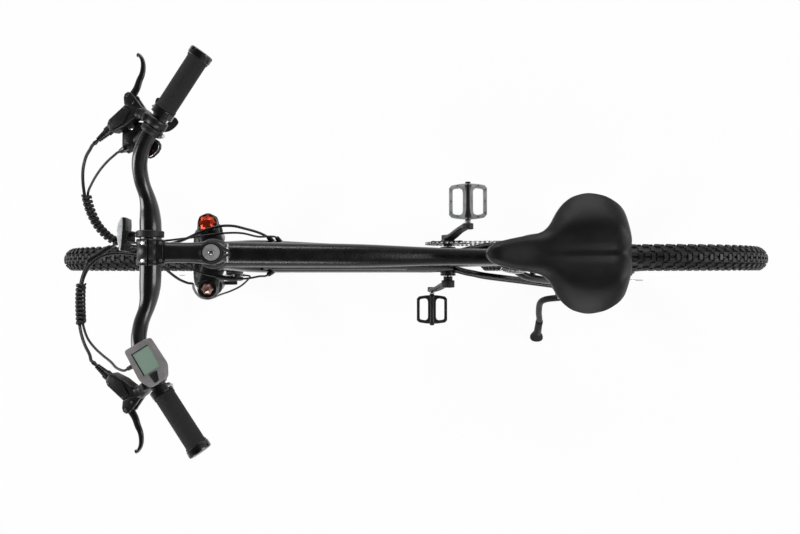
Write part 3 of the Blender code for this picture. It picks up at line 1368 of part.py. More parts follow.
def build_brake_body(side):
    """Master cylinder with its hose relief, bar clamp and the fork that holds the lever."""
    direction = side_vector(side, GRIP_DIRECTION)
    clamp_centre = BAR_CENTRE + side_vector(side, GRIP_INNER) - direction * 0.0125
    clamp = rod(clamp_centre - direction * 0.0060, clamp_centre + direction * 0.0060, BAR_RADIUS + 0.0044,
                sides=MEDIUM)
    tail = side_vector(side, CYLINDER_TAIL)
    nose = side_vector(side, CYLINDER_NOSE)
    cylinder = rod(tail, nose, 0.0088, 0.0096, sides=COARSE)
    relief = rod(side_vector(side, HOSE_EXIT), tail, 0.0036, 0.0066, sides=COARSE)
    middle = (tail + nose) / 2
    foot = clamp_centre + Vector((0.010, 0, 0))
    arm = loft([[foot + direction * v + Vector((0, 0, z))
                 for v, z in ((-0.0055, -0.010), (0.0055, -0.010), (0.0055, 0.006), (-0.0055, 0.006))],
                [middle + Vector((0, side * v, z))
                 for v, z in ((-0.004, -0.005), (0.016, -0.005), (0.016, 0.006), (-0.004, 0.006))]])
    pivot_point = side_vector(side, LEVER_PIVOT)
    gap = LEVER_THICKNESS / 2 + FIT
    toward = nose - pivot_point
    turn = frame_matrix(Vector(), Vector((toward.x, toward.y, 0)), Vector((0, 0, 1))).to_3x3()
    ears = []
    for z in (-1, 1):
        level = Vector((0, 0, z * (gap + 0.0014)))
        half = Vector((0, 0, 0.0014))
        ears.append(rod(pivot_point + level - half, pivot_point + level + half, 0.0070, sides=COARSE))
        ears.append(block(pivot_point + level + toward * 0.5, (toward.length + 0.004, 0.0130, 0.0028), turn))
    reach = Vector((0, 0, gap + 0.001))
    pin = rod(pivot_point - reach, pivot_point + reach, LEVER_PIN_RADIUS, sides=8)
    return cut(combine(cylinder, [clamp, relief, arm, *ears, pin]), [bar_bore()])


def build_brake_lever(side):
    """Two-finger blade that hooks outwards at its tip."""
    points = smooth_path([(x, y, LEVER_PIVOT.z) for x, y in LEVER_POINTS], 2)
    count = len(points)
    rings = []
    for i, p in enumerate(points):
        t = i / (count - 1) * (len(LEVER_HALF) - 1)
        k = min(int(t), len(LEVER_HALF) - 2)
        half = LEVER_HALF[k] + (LEVER_HALF[k + 1] - LEVER_HALF[k]) * (t - k)
        ahead = points[min(i + 1, count - 1)] - points[max(i - 1, 0)]
        across = Vector((-ahead.y, ahead.x, 0)).normalized()
        rings.append([side_vector(side, p + across * u + Vector((0, 0, v)))
                      for u, v in ring_points(8, half, LEVER_THICKNESS / 2, power=3.0)])
    eye = side_vector(side, LEVER_PIVOT)
    half = Vector((0, 0, LEVER_THICKNESS / 2))
    hub = rod(eye - half, eye + half, 0.0068, sides=COARSE)
    bore = rod(eye - 2 * half, eye + 2 * half, clear(LEVER_PIN_RADIUS, 8), sides=8)
    return cut(combine(loft(rings), [hub]), [bore])


# Gear shifter, on the right

SHIFTER_CENTRE = Vector((0.3960, -0.1800, 0.9840))
SHIFTER_PIVOT = Vector((0.3920, -0.1880, 0.9750))
SHIFTER_PIN_RADIUS = 0.0030
SHIFTER_ROOT = Vector((0.4040, -0.1740, 0.9840))
SHIFTER_BARREL_END = Vector((0.4270, -0.1640, 0.9840))
PADDLE_THICKNESS = 0.0028
THUMB_LEVEL = 0.9728
FINGER_LEVEL = 0.9685


def build_shifter():
    """Trigger shifter pod under the bar, with its clamp, gear window, cable barrel and lever pin."""
    clamp_centre = BAR_CENTRE + Vector((-0.0050, -0.1660, 0.0282))
    direction = Vector((-0.38, -0.90, 0.12)).normalized()
    clamp = rod(clamp_centre - direction * 0.0055, clamp_centre + direction * 0.0055, BAR_RADIUS + 0.0045,
                sides=MEDIUM)
    pod = block(SHIFTER_CENTRE, (0.030, 0.040, 0.018), Matrix.Rotation(math.radians(-42), 3, "Z"))
    pod = bevelled(pod, 0.006, 1, 60)
    neck = rod(clamp_centre + Vector((0.010, 0, -0.008)), SHIFTER_CENTRE + Vector((0, 0.004, 0)), 0.0085, sides=COARSE)
    window = block(clamp_centre + Vector((0.0200, 0.0100, 0.0020)), (0.012, 0.024, 0.008),
                   Matrix.Rotation(math.radians(20), 3, "Z"))
    window = bevelled(window, 0.002, 1, 60)
    barrel = rod(SHIFTER_ROOT, SHIFTER_BARREL_END, 0.0055, 0.0036, sides=COARSE)
    arm = rod(clamp_centre + Vector((0.0130, 0, 0)), clamp_centre + Vector((0.0200, 0.0080, 0.0020)), 0.0045,
              sides=8)
    low = FINGER_LEVEL - PADDLE_THICKNESS / 2 - FIT
    foot = Vector((SHIFTER_PIVOT.x, SHIFTER_PIVOT.y, low - 0.002))
    pin = rod(foot, SHIFTER_PIVOT + Vector((0, 0, 0.004)), SHIFTER_PIN_RADIUS, sides=COARSE)
    washer = rod(foot, foot + Vector((0, 0, 0.002)), 0.0060, sides=COARSE)
    return cut(combine(pod, [clamp, neck, window, arm, barrel, pin, washer]), [bar_bore()])


def build_shift_lever(level, heel, tip):
    """Flat lever that swings about the pod's pin, with a rounded finger pad."""
    half = PADDLE_THICKNESS / 2
    centre = Vector((SHIFTER_PIVOT.x, SHIFTER_PIVOT.y, 0))
    path = smooth_path([centre, (*heel, 0), (*tip, 0)], 2)
    widths = (0.0060, 0.0050, 0.0045, 0.0050, 0.0065)
    left = []
    right = []
    for i, p in enumerate(path):
        ahead = path[min(i + 1, len(path) - 1)] - path[max(i - 1, 0)]
        across = Vector((-ahead.y, ahead.x, 0)).normalized() * widths[i]
        left.append((p + across).xy)
        right.append((p - across).xy)
    arm = prism([*left, *reversed(right)], level - half, level + half)
    hub = rod((centre.x, centre.y, level - half), (centre.x, centre.y, level + half), 0.0090, sides=COARSE)
    pad = rod((*tip, level - half), (*tip, level + half), 0.0078, sides=COARSE)
    bore = rod((centre.x, centre.y, level - 0.01), (centre.x, centre.y, level + 0.01), clear(SHIFTER_PIN_RADIUS, COARSE),
               sides=COARSE)
    return cut(combine(hub, [arm, pad]), [bore])


# Display, on the left

DISPLAY_RISE = 0.0481
DISPLAY_BOTTOM = BAR_CENTRE.z + DISPLAY_RISE
DISPLAY_HEIGHT = 0.0130


def from_bar(points):
    """Outline whose points are measured from the middle of the handlebar."""
    return [(BAR_CENTRE.x + x, y) for x, y in points]


DISPLAY_OUTLINE = from_bar(((-0.0276, 0.1274), (0.0077, 0.1475), (-0.0163, 0.1916), (-0.0336, 0.2016),
                            (-0.0555, 0.1864), (-0.0546, 0.1666)))
DISPLAY_KEY = from_bar(((-0.0313, 0.1812), (-0.0433, 0.1752), (-0.0463, 0.1890), (-0.0408, 0.1930)))
DISPLAY_WINDOW = from_bar(((-0.0042, 0.1522), (-0.0290, 0.1369), (-0.0478, 0.1686), (-0.0237, 0.1837)))
KEY_TRAVEL = 0.0010
LEAD_EXIT = Vector((BAR_CENTRE.x + 0.0052, 0.1747, DISPLAY_BOTTOM + 0.0055))
LEAD_DIRECTION = Vector((0.878, 0.478, 0)).normalized()


def grown(outline, amount):
    """Outline whose corners move outwards from its middle."""
    middle = sum((Vector(p) for p in outline), Vector((0, 0))) / len(outline)
    out = []
    for p in outline:
        d = Vector(p) - middle
        out.append(middle + d.normalized() * (d.length + amount))
    return out


def build_display():
    """Housing on a bar clamp, with a sunk screen, a well for the key and a gland for its lead."""
    top = DISPLAY_BOTTOM + DISPLAY_HEIGHT
    case = bevelled(prism(DISPLAY_OUTLINE, DISPLAY_BOTTOM, top), 0.0018, 1, 30)
    clamp_centre = BAR_CENTRE + Vector((0.0005, 0.1540, 0.0262))
    direction = Vector((-0.36, 0.92, 0.16)).normalized()
    clamp = rod(clamp_centre - direction * 0.0060, clamp_centre + direction * 0.0060, BAR_RADIUS + 0.0045,
                sides=MEDIUM)
    post = block(clamp_centre + Vector((-0.004, 0.004, 0.0160)), (0.016, 0.016, 0.016))
    gland = rod(LEAD_EXIT - LEAD_DIRECTION * 0.014, LEAD_EXIT, 0.0042, 0.0030, sides=8)
    window = prism(DISPLAY_WINDOW, top - 0.0010, top + 0.01)
    well = prism(grown(DISPLAY_KEY, 1.6 * FIT), top - 0.0040, top + 0.01)
    return cut(combine(case, [clamp, post, gland]), [window, well, bar_bore()])


def build_display_key():
    top = DISPLAY_BOTTOM + DISPLAY_HEIGHT
    return prism(DISPLAY_KEY, top - 0.0040 + KEY_TRAVEL + FIT, top + 0.0012)


# Front reflector

def build_reflector():
    """Clear plate on an arm that clamps the bar beside the stem."""
    centre = BAR_CENTRE + Vector((0.048, -0.0310, -0.020))
    plate = block(centre, (0.008, 0.050, 0.036), Matrix.Rotation(math.radians(6), 3, "Z"))
    plate = bevelled(plate, 0.003, 1, 60)
    middle = BAR_CENTRE + Vector((0.0003, -0.0290, 0))
    half = Vector((0, 0.0045, 0))
    ring = rod(middle - half, middle + half, BAR_CLAMP_RADIUS + 0.0040, sides=FINE)
    arm = rod(middle + Vector((0.0170, 0, -0.002)), centre - Vector((0.001, 0, 0)), 0.0040, sides=8)
    bar = rod(middle - 4 * half, middle + 4 * half, clear(BAR_CLAMP_RADIUS), sides=FINE)
    return cut(combine(plate, [ring, arm]), [bar])


# Seat clamp, seatpost and saddle

COLLAR_RADIUS = SEAT_TUBE_RADIUS + 0.0045
COLLAR_HEIGHT = 0.016
SEAT_LEVER_PIVOT = Vector((-0.0245, 0.0208, SEAT_TUBE_LENGTH - 0.009))


def build_seat_clamp():
    """Split collar with the ears and the barrel nut that the quick-release cam pulls on."""
    low = SEAT_TUBE_LENGTH - COLLAR_HEIGHT
    x, y, z = SEAT_LEVER_PIVOT
    ring = rod((0, 0, low), (0, 0, SEAT_TUBE_LENGTH + 0.002), COLLAR_RADIUS, sides=FINE)
    ears = block((x, 0, z), (0.014, 0.022, 0.012))
    nut = rod((x, -0.010, z), (x, -0.018, z), 0.0055, sides=COARSE)
    washer = rod((x, 0.010, z), (x, 0.0140, z), 0.0060, sides=COARSE)
    skewer = rod((x, -0.012, z), (x, 0.012, z), 0.0024, sides=8)
    bore = rod((0, 0, low - 0.01), (0, 0, SEAT_TUBE_LENGTH + FIT), clear(SEAT_TUBE_RADIUS), sides=FINE)
    through = rod((0, 0, low), (0, 0, SEAT_TUBE_LENGTH + 0.01), clear(SEATPOST_RADIUS), sides=FINE)
    split = block((x - 0.0035, 0, z), (0.030, 0.0024, 0.060))
    body = combine(cut(combine(ring, [ears]), [bore, through, split]), [nut, washer, skewer])
    body.transform(SEAT_FRAME)
    return body


def build_seat_lever():
    """Cam barrel, turning on an axis along the seat tube, and its curved lever."""
    x, y, z = SEAT_LEVER_PIVOT
    cam = rod((x, y, z - 0.0055), (x, y, z + 0.0055), 0.0062, sides=COARSE)
    blade = tube(smooth_path([(x, y, z), (x + 0.012, y + 0.0078, z), (x + 0.032, y + 0.0088, z),
                              (x + 0.056, y + 0.0050, z + 0.001)], 2), 0.0040, 1)
    body = combine(cam, [blade])
    body.transform(SEAT_FRAME)
    return body


POST_TOP = 0.533
HEAD_CENTRE_X = -0.0175


def build_seatpost():
    """Post with a forged head and a two-part rail clamp."""
    start = SEAT_TUBE_LENGTH - SEATPOST_INSERTION
    post = rod((0, 0, start), (0, 0, POST_TOP - 0.016), SEATPOST_RADIUS, sides=MEDIUM)
    head = SEAT_FRAME.inverted() @ Vector((saddle_clamp_x(), 0, RAIL_Z))
    neck = rod((0, 0, POST_TOP - 0.024), head - Vector((0, 0, 0.010)), SEATPOST_RADIUS, 0.0110, sides=COARSE)
    turn = SEAT_FRAME.inverted().to_3x3()
    lower = block(head - turn @ Vector((0, 0, 0.0075)), (0.040, 0.052, 0.014), turn)
    lower = bevelled(lower, 0.003, 1, 60)
    upper = block(head + turn @ Vector((0, 0, 0.0030)), (0.034, 0.052, 0.009), turn)
    upper = bevelled(upper, 0.002, 1, 60)
    body = combine(post, [neck, lower, upper])
    rails = []
    for side in (-1, 1):
        p = head + turn @ Vector((0, side * RAIL_SPREAD, 0))
        d = turn @ Vector((0.05, 0, 0))
        rails.append(rod(p - d, p + d, clear(RAIL_RADIUS, COARSE), sides=COARSE))
    body = cut(body, rails)
    body.transform(SEAT_FRAME)
    return body


def saddle_clamp_x():
    return (SEAT_FRAME @ Vector((HEAD_CENTRE_X, 0, POST_TOP))).x


SADDLE_OUTLINE = ((0.000, 0.0030), (0.007, 0.0135), (0.028, 0.0222), (0.060, 0.0293), (0.098, 0.0375),
                  (0.114, 0.0500), (0.132, 0.0810), (0.155, 0.1005), (0.180, 0.1050),
                  (0.208, 0.0970), (0.232, 0.0700), (0.2458, 0.0260))


def saddle_half_width(distance):
    for (d0, w0), (d1, w1) in zip(SADDLE_OUTLINE, SADDLE_OUTLINE[1:]):
        if distance <= d1:
            t = (distance - d0) / (d1 - d0)
            return w0 + (w1 - w0) * t
    return SADDLE_OUTLINE[-1][1]


def saddle_top(distance):
    """Height of the seat's ridge: low at the nose, a dip, then a raised rear."""
    t = distance / SADDLE_LENGTH
    return SADDLE_TOP - 0.012 + 0.010 * math.cos(2 * math.pi * (t - 0.92)) + 0.002 * t


def build_saddle():
    """Padded seat: crown, drawn-in sides and a centre channel, from a subdivided cage."""
    across = (-1.0, -0.84, -0.30, 0.0, 0.30, 0.84, 1.0)
    drop = (0.020, 0.0060, 0.0010, 0.0050, 0.0010, 0.0060, 0.020)
    stations = [d for d, w in SADDLE_OUTLINE]
    rings = []
    for distance in stations:
        half = saddle_half_width(distance) * 1.025
        top = saddle_top(distance)
        x = SADDLE_NOSE_X - distance
        narrow = min(1.0, half / 0.040)
        ring = []
        for share, fall in zip(across, drop):
            channel = fall
            if share == 0.0:
                depth = max(0.0, math.sin(math.pi * min(1.0, max(0.0, (distance - 0.075) / 0.150))))
                channel = 0.0005 + 0.0045 * depth
            ring.append(Vector((x, share * half, top - channel * narrow)))
        bottom = top - SADDLE_DEPTH
        ring.append(Vector((x, half * 0.84, bottom)))
        ring.append(Vector((x, -half * 0.84, bottom)))
        rings.append(ring)
    cage = loft(rings)
    bmesh.ops.recalc_face_normals(cage, faces=cage.faces)
    ob = bpy.data.objects.new("cage", mesh_from(cage, "cage"))
    soften = ob.modifiers.new("soften", "SUBSURF")
    soften.levels = 1
    soften.render_levels = 1
    return solid_of(ob)


def build_saddle_base():
    """Moulded shell under the padding, with the two steel rails seated in it."""
    rings = []
    for distance, width in SADDLE_OUTLINE[1:-1]:
        half = width * 0.86
        top = saddle_top(distance) - SADDLE_DEPTH - 2 * FIT
        x = SADDLE_NOSE_X - distance
        rings.append([Vector((x, -half, top)), Vector((x, half, top)),
                      Vector((x, half * 0.86, top - 0.0060)), Vector((x, -half * 0.86, top - 0.0060))])
    shell = loft(rings)
    bmesh.ops.recalc_face_normals(shell, faces=shell.faces)
    rails = []
    for side in (-1, 1):
        y = side * RAIL_SPREAD
        nose_z = saddle_top(0.035) - SADDLE_DEPTH - 0.0042
        tail_z = saddle_top(0.215) - SADDLE_DEPTH - 0.0042
        rails.append(tube(smooth_path([(SADDLE_NOSE_X - 0.030, side * 0.010, nose_z),
                                       (SADDLE_NOSE_X - 0.046, side * 0.013, nose_z - 0.006),
                                       (SADDLE_NOSE_X - 0.074, y, RAIL_Z + 0.001), (SADDLE_NOSE_X - 0.092, y, RAIL_Z),
                                       (SADDLE_NOSE_X - 0.120, y, RAIL_Z), (SADDLE_NOSE_X - 0.150, y, RAIL_Z),
                                       (SADDLE_NOSE_X - 0.172, y, RAIL_Z + 0.001),
                                       (SADDLE_NOSE_X - 0.200, y * 1.25, RAIL_Z + 0.010),
                                       (SADDLE_NOSE_X - 0.214, y * 1.35, tail_z)], 2), RAIL_RADIUS, 1))
    return combine(shell, rails)


# Hoses, wires and the spiral wraps

# End and root of each cable boss: two on the right and one on the left of the down tube, two by the
# bottom bracket and one on the left stay
CABLE_PORTS = (
    (FRONT_AXLE + Vector((-0.3120, -0.0350, 0.4570)), FRONT_AXLE + Vector((-0.3100, -0.0300, 0.4220))),
    (FRONT_AXLE + Vector((-0.3240, -0.0350, 0.4420)), FRONT_AXLE + Vector((-0.3210, -0.0300, 0.4080))),
    (FRONT_AXLE + Vector((-0.3120, 0.0350, 0.4570)), FRONT_AXLE + Vector((-0.3100, 0.0300, 0.4220))),
    (BRACKET + Vector((-0.0258, 0.0236, 0.0274)), BRACKET + Vector((-0.0185, 0.0220, 0.0046))),
    (BRACKET + Vector((-0.0258, -0.0236, 0.0274)), BRACKET + Vector((-0.0185, -0.0220, 0.0046))),
    (REAR_AXLE + Vector((0.0690, 0.0785, -0.0175)), REAR_AXLE + Vector((0.0800, 0.0705, -0.0100))),
)


def hose_start(side):
    """Where a brake hose leaves its lever."""
    flip = Matrix.Diagonal((1, side, 1))
    direction = (flip @ (HOSE_EXIT - CYLINDER_TAIL)).normalized()
    return flip @ HOSE_EXIT + direction * FIT


def caliper_port(axle, angle, rotor_y, beyond):
    """Point on the line of a caliper's hose port, so far beyond its end."""
    out = Vector((math.cos(angle), 0, math.sin(angle)))
    return axle + out * (CALIPER_REACH + CALIPER_PORT + beyond) + Vector((0, rotor_y, 0))


REAR_HOSE_ROUTE = (
    (0.4750, -0.1680, 0.9870), (0.4870, -0.1570, 0.9800), (0.4985, -0.1400, 0.9700), (0.5050, -0.1210, 0.9610),
    (0.5080, -0.0990, 0.9520), (0.5075, -0.0760, 0.9430), (0.5000, -0.0490, 0.9330), (0.4850, -0.0290, 0.9245),
    (0.4730, -0.0210, 0.9200), (0.4560, -0.0160, 0.9150), (0.4300, -0.0140, 0.9090), (0.4010, -0.0160, 0.9060),
    (0.3650, -0.0240, 0.9020), (0.3320, -0.0400, 0.8960), (0.3050, -0.0500, 0.8880), (0.2820, -0.0520, 0.8770),
    (0.2640, -0.0480, 0.8610), (0.2505, -0.0440, 0.8410), (0.2435, -0.0405, 0.8260),
)
SHIFT_ROUTE = (
    (0.4380, -0.1590, 0.9810), (0.4530, -0.1500, 0.9760), (0.4720, -0.1360, 0.9680), (0.4900, -0.1185, 0.9590),
    (0.5044, -0.1003, 0.9488), (0.5041, -0.0776, 0.9398), (0.4969, -0.0514, 0.9299), (0.4825, -0.0311, 0.9208),
    (0.4705, -0.0240, 0.9160), (0.4540, -0.0205, 0.9110), (0.4300, -0.0210, 0.9045), (0.3950, -0.0245, 0.8990),
    (0.3530, -0.0300, 0.8920), (0.3200, -0.0355, 0.8840), (0.2940, -0.0395, 0.8740), (0.2700, -0.0400, 0.8600),
    (0.2480, -0.0350, 0.8400), (0.2335, -0.0365, 0.8230), (0.2265, -0.0370, 0.8080),
)
FRONT_HOSE_ROUTE = (
    (0.4760, 0.1640, 0.9845), (0.4900, 0.1510, 0.9750), (0.5020, 0.1350, 0.9665), (0.5110, 0.1180, 0.9585),
    (0.5175, 0.1000, 0.9505), (0.5225, 0.0820, 0.9420), (0.5265, 0.0640, 0.9330), (0.5285, 0.0500, 0.9270),
    (0.5280, 0.0360, 0.9210), (0.5220, 0.0180, 0.9140), (0.5070, 0.0040, 0.9070), (0.4830, -0.0020, 0.9000),
    (0.4440, 0.0020, 0.8930), (0.4150, 0.0130, 0.8860), (0.4010, 0.0300, 0.8750), (0.3920, 0.0440, 0.8540),
    (0.3895, 0.0515, 0.8250),
)
FRONT_HOSE_LEG_ROUTE = (
    (0.0460, 0.0540, 0.4780), (0.0470, 0.0640, 0.4400), (0.0440, 0.0770, 0.4000), (0.0380, 0.0870, 0.3500),
    (0.0270, 0.0915, 0.3000), (0.0180, 0.0910, 0.2400), (0.0110, 0.0890, 0.1800), (0.0000, 0.0860, 0.1350),
    (-0.0180, 0.0800, 0.1080), (-0.0420, 0.0680, 0.0930), (-0.0600, 0.0520, 0.0810), (-0.0660, 0.0420, 0.0690),
)
LEAD_ROUTE = (
    (0.3850, 0.1770, 1.0470), (0.4000, 0.1750, 1.0360), (0.4190, 0.1700, 1.0180), (0.4460, 0.1620, 0.9985),
    (0.4690, 0.1520, 0.9840), (0.4890, 0.1380, 0.9715), (0.5070, 0.1180, 0.9556), (0.5139, 0.1003, 0.9472),
    (0.5225, 0.0842, 0.9377), (0.5296, 0.0662, 0.9299), (0.5329, 0.0512, 0.9250), (0.5345, 0.0360, 0.9170),
    (0.5335, 0.0130, 0.9040), (0.5178, -0.0010, 0.8955), (0.5020, -0.0150, 0.8870), (0.4850, -0.0200, 0.8840),
    (0.4550, -0.0150, 0.8815), (0.4200, -0.0040, 0.8785), (0.3860, 0.0120, 0.8750), (0.3540, 0.0280, 0.8720),
    (0.3250, 0.0370, 0.8660), (0.2950, 0.0430, 0.8560), (0.2680, 0.0430, 0.8430), (0.2490, 0.0390, 0.8280),
    (0.2405, 0.0385, 0.8190),
)
LEAD_SLEEVE = ((0.5335, 0.0130, 0.9040), (0.5020, -0.0150, 0.8870))
SLEEVE_RADIUS = 0.0045
RIGHT_WRAP = ((0.5062, -0.0997, 0.9504), (0.5058, -0.0768, 0.9414), (0.4985, -0.0502, 0.9315),
              (0.4838, -0.0300, 0.9227), (0.4718, -0.0225, 0.9180))
LEFT_WRAP = ((0.5090, 0.1180, 0.9571), (0.5157, 0.1002, 0.9489), (0.5225, 0.0831, 0.9399), (0.5281, 0.0651, 0.9315),
             (0.5307, 0.0506, 0.9260))
STAY_HOSE_ROUTE = (
    (-0.1560, 0.0300, 0.3285), (-0.1800, 0.0358, 0.3225), (-0.2200, 0.0412, 0.3229),
    (-0.2900, 0.0503, 0.3312), (-0.3500, 0.0573, 0.3390), (-0.3850, 0.0590, 0.3490),
    (-0.4080, 0.0585, 0.3680), (-0.4240, 0.0560, 0.3880),
)
STAY_CABLE_ROUTE = (
    (-0.1560, -0.0300, 0.3285), (-0.1800, -0.0358, 0.3225), (-0.2200, -0.0412, 0.3229),
    (-0.3100, -0.0527, 0.3337), (-0.4000, -0.0635, 0.3450),
    (-0.4500, -0.0700, 0.3515), (-0.4950, -0.0800, 0.3600), (-0.5220, -0.0880, 0.3690), (-0.5480, -0.0915, 0.3730),
    (-0.5740, -0.0925, 0.3650), (-0.5900, -0.0925, 0.3480), (-0.5930, -0.0905, 0.3330),
)
BARREL_ADJUSTER = (REAR_AXLE + Vector((-0.0120, -0.0880, -0.0295)), REAR_AXLE + Vector((-0.0275, -0.0880, -0.0265)))
MOTOR_CABLE_ROUTE = [REAR_AXLE + Vector(p) for p in (
    (0.0000, 0.0820, 0.0000), (0.0005, 0.0960, -0.0005), (0.0100, 0.1020, -0.0070), (0.0300, 0.0980, -0.0160),
    (0.0500, 0.0905, -0.0225),
)]


def cable_path(start, start_direction, route, end, end_direction):
    """Smooth path through a route, its two ends square to what they meet."""
    start = Vector(start)
    end = Vector(end)
    head = start + Vector(start_direction).normalized() * STRAIGHT_END
    tail = end + Vector(end_direction).normalized() * STRAIGHT_END
    return [start, *smooth_path([head, *route, tail], 2), end]


def port_line(index):
    """End of a cable boss on the frame, and the way out of it."""
    end, root = CABLE_PORTS[index]
    return end, end - root


def caliper_line(axle, angle, rotor_y):
    """Start of the gap beyond a caliper's hose port, and the way out of it."""
    return caliper_port(axle, angle, rotor_y, FIT), Vector((math.cos(angle), 0, math.sin(angle)))


def node_paths():
    """Each free cable's whole path, read from a smooth curve through its route."""
    hose = HOSE_EXIT - CYLINDER_TAIL
    barrel = SHIFTER_BARREL_END - SHIFTER_ROOT
    front_end, front_out = caliper_line(Vector((FORK_OFFSET, 0, 0)), FRONT_CALIPER_ANGLE, FRONT_ROTOR_Y)
    front_route = [*FRONT_HOSE_ROUTE, *(STEER @ Vector(p) for p in FRONT_HOSE_LEG_ROUTE)]
    rear_end, rear_out = caliper_line(REAR_AXLE, REAR_CALIPER_ANGLE, REAR_ROTOR_Y)
    adjuster = BARREL_ADJUSTER[1] - BARREL_ADJUSTER[0]
    return {
        "rear": cable_path(hose_start(-1), side_vector(-1, hose), REAR_HOSE_ROUTE, *port_line(0)),
        "shift": cable_path(SHIFTER_BARREL_END + barrel.normalized() * FIT, barrel, SHIFT_ROUTE, *port_line(1)),
        "front": cable_path(hose_start(1), hose, front_route, STEER @ front_end, STEER.to_3x3() @ front_out),
        "lead": cable_path(LEAD_EXIT + LEAD_DIRECTION * FIT, LEAD_DIRECTION, LEAD_ROUTE, *port_line(2)),
        "stay": cable_path(*port_line(3), STAY_HOSE_ROUTE, rear_end, rear_out),
        "gear": cable_path(*port_line(4), STAY_CABLE_ROUTE, BARREL_ADJUSTER[1] + adjuster.normalized() * FIT,
                           adjuster),
    }


def wrap_path(route):
    """Helix round a short curve, its two ends running straight for one strand width."""
    spine = smooth_path(route, 8)
    lengths = [0.0]
    for a, b in zip(spine, spine[1:]):
        lengths.append(lengths[-1] + (b - a).length)
    total = lengths[-1]
    turns = total / WRAP_PITCH
    count = round(turns * CURL_POINTS)
    points = []
    for k in range(count + 1):
        distance = total * k / count
        i = min(sum(1 for d in lengths[1:] if d < distance), len(spine) - 2)
        t = (distance - lengths[i]) / (lengths[i + 1] - lengths[i])
        centre = spine[i].lerp(spine[i + 1], t)
        ahead = (spine[min(i + 2, len(spine) - 1)] - spine[max(i - 1, 0)]).normalized()
        side = ahead.cross(Vector((0, 0, 1))).normalized()
        up = side.cross(ahead)
        a = 2 * math.pi * k / CURL_POINTS
        points.append(centre + (side * math.cos(a) + up * math.sin(a)) * WRAP_RADIUS)
    lead_in = (points[0] - points[1]).normalized() * 2 * WRAP_STRAND
    lead_out = (points[-1] - points[-2]).normalized() * 2 * WRAP_STRAND
    return [points[0] + lead_in, *points, points[-1] + lead_out]


def closest_gap(path, radius, skip, other=None, other_radius=0.0):
    """Least gap from a tube's points to itself, past so many points, or to another tube."""
    least = 1.0
    for i, p in enumerate(path):
        rest = path[i + skip:] if other is None else other
        for a, b in zip(rest, rest[1:]):
            span = b - a
            t = max(0.0, min(1.0, (p - a).dot(span) / span.length_squared))
            least = min(least, (p - a - span * t).length)
    return least - radius - (radius if other is None else other_radius)


def report_gaps(paths, right, left):
    for name, wrap, inside in (("right", right, ("rear", "shift")), ("left", left, ("front", "lead"))):
        print(name, "wrap to itself", round(closest_gap(wrap, WRAP_STRAND, 6) * 1000, 2), "mm")
        for cable in inside:
            radius = HOSE_RADIUS if cable in ("rear", "front") else WIRE_RADIUS
            gap = closest_gap(wrap, WRAP_STRAND, 0, paths[cable], radius)
            print(name, "wrap to", cable, round(gap * 1000, 2), "mm")
    for a, b in (("rear", "shift"), ("front", "lead"), ("rear", "lead"), ("shift", "front")):
        radius = HOSE_RADIUS if a in ("rear", "front") else WIRE_RADIUS
        other = HOSE_RADIUS if b in ("rear", "front") else WIRE_RADIUS
        print(a, "to", b, round(closest_gap(paths[a], radius, 0, paths[b], other) * 1000, 2), "mm")


# Assembly

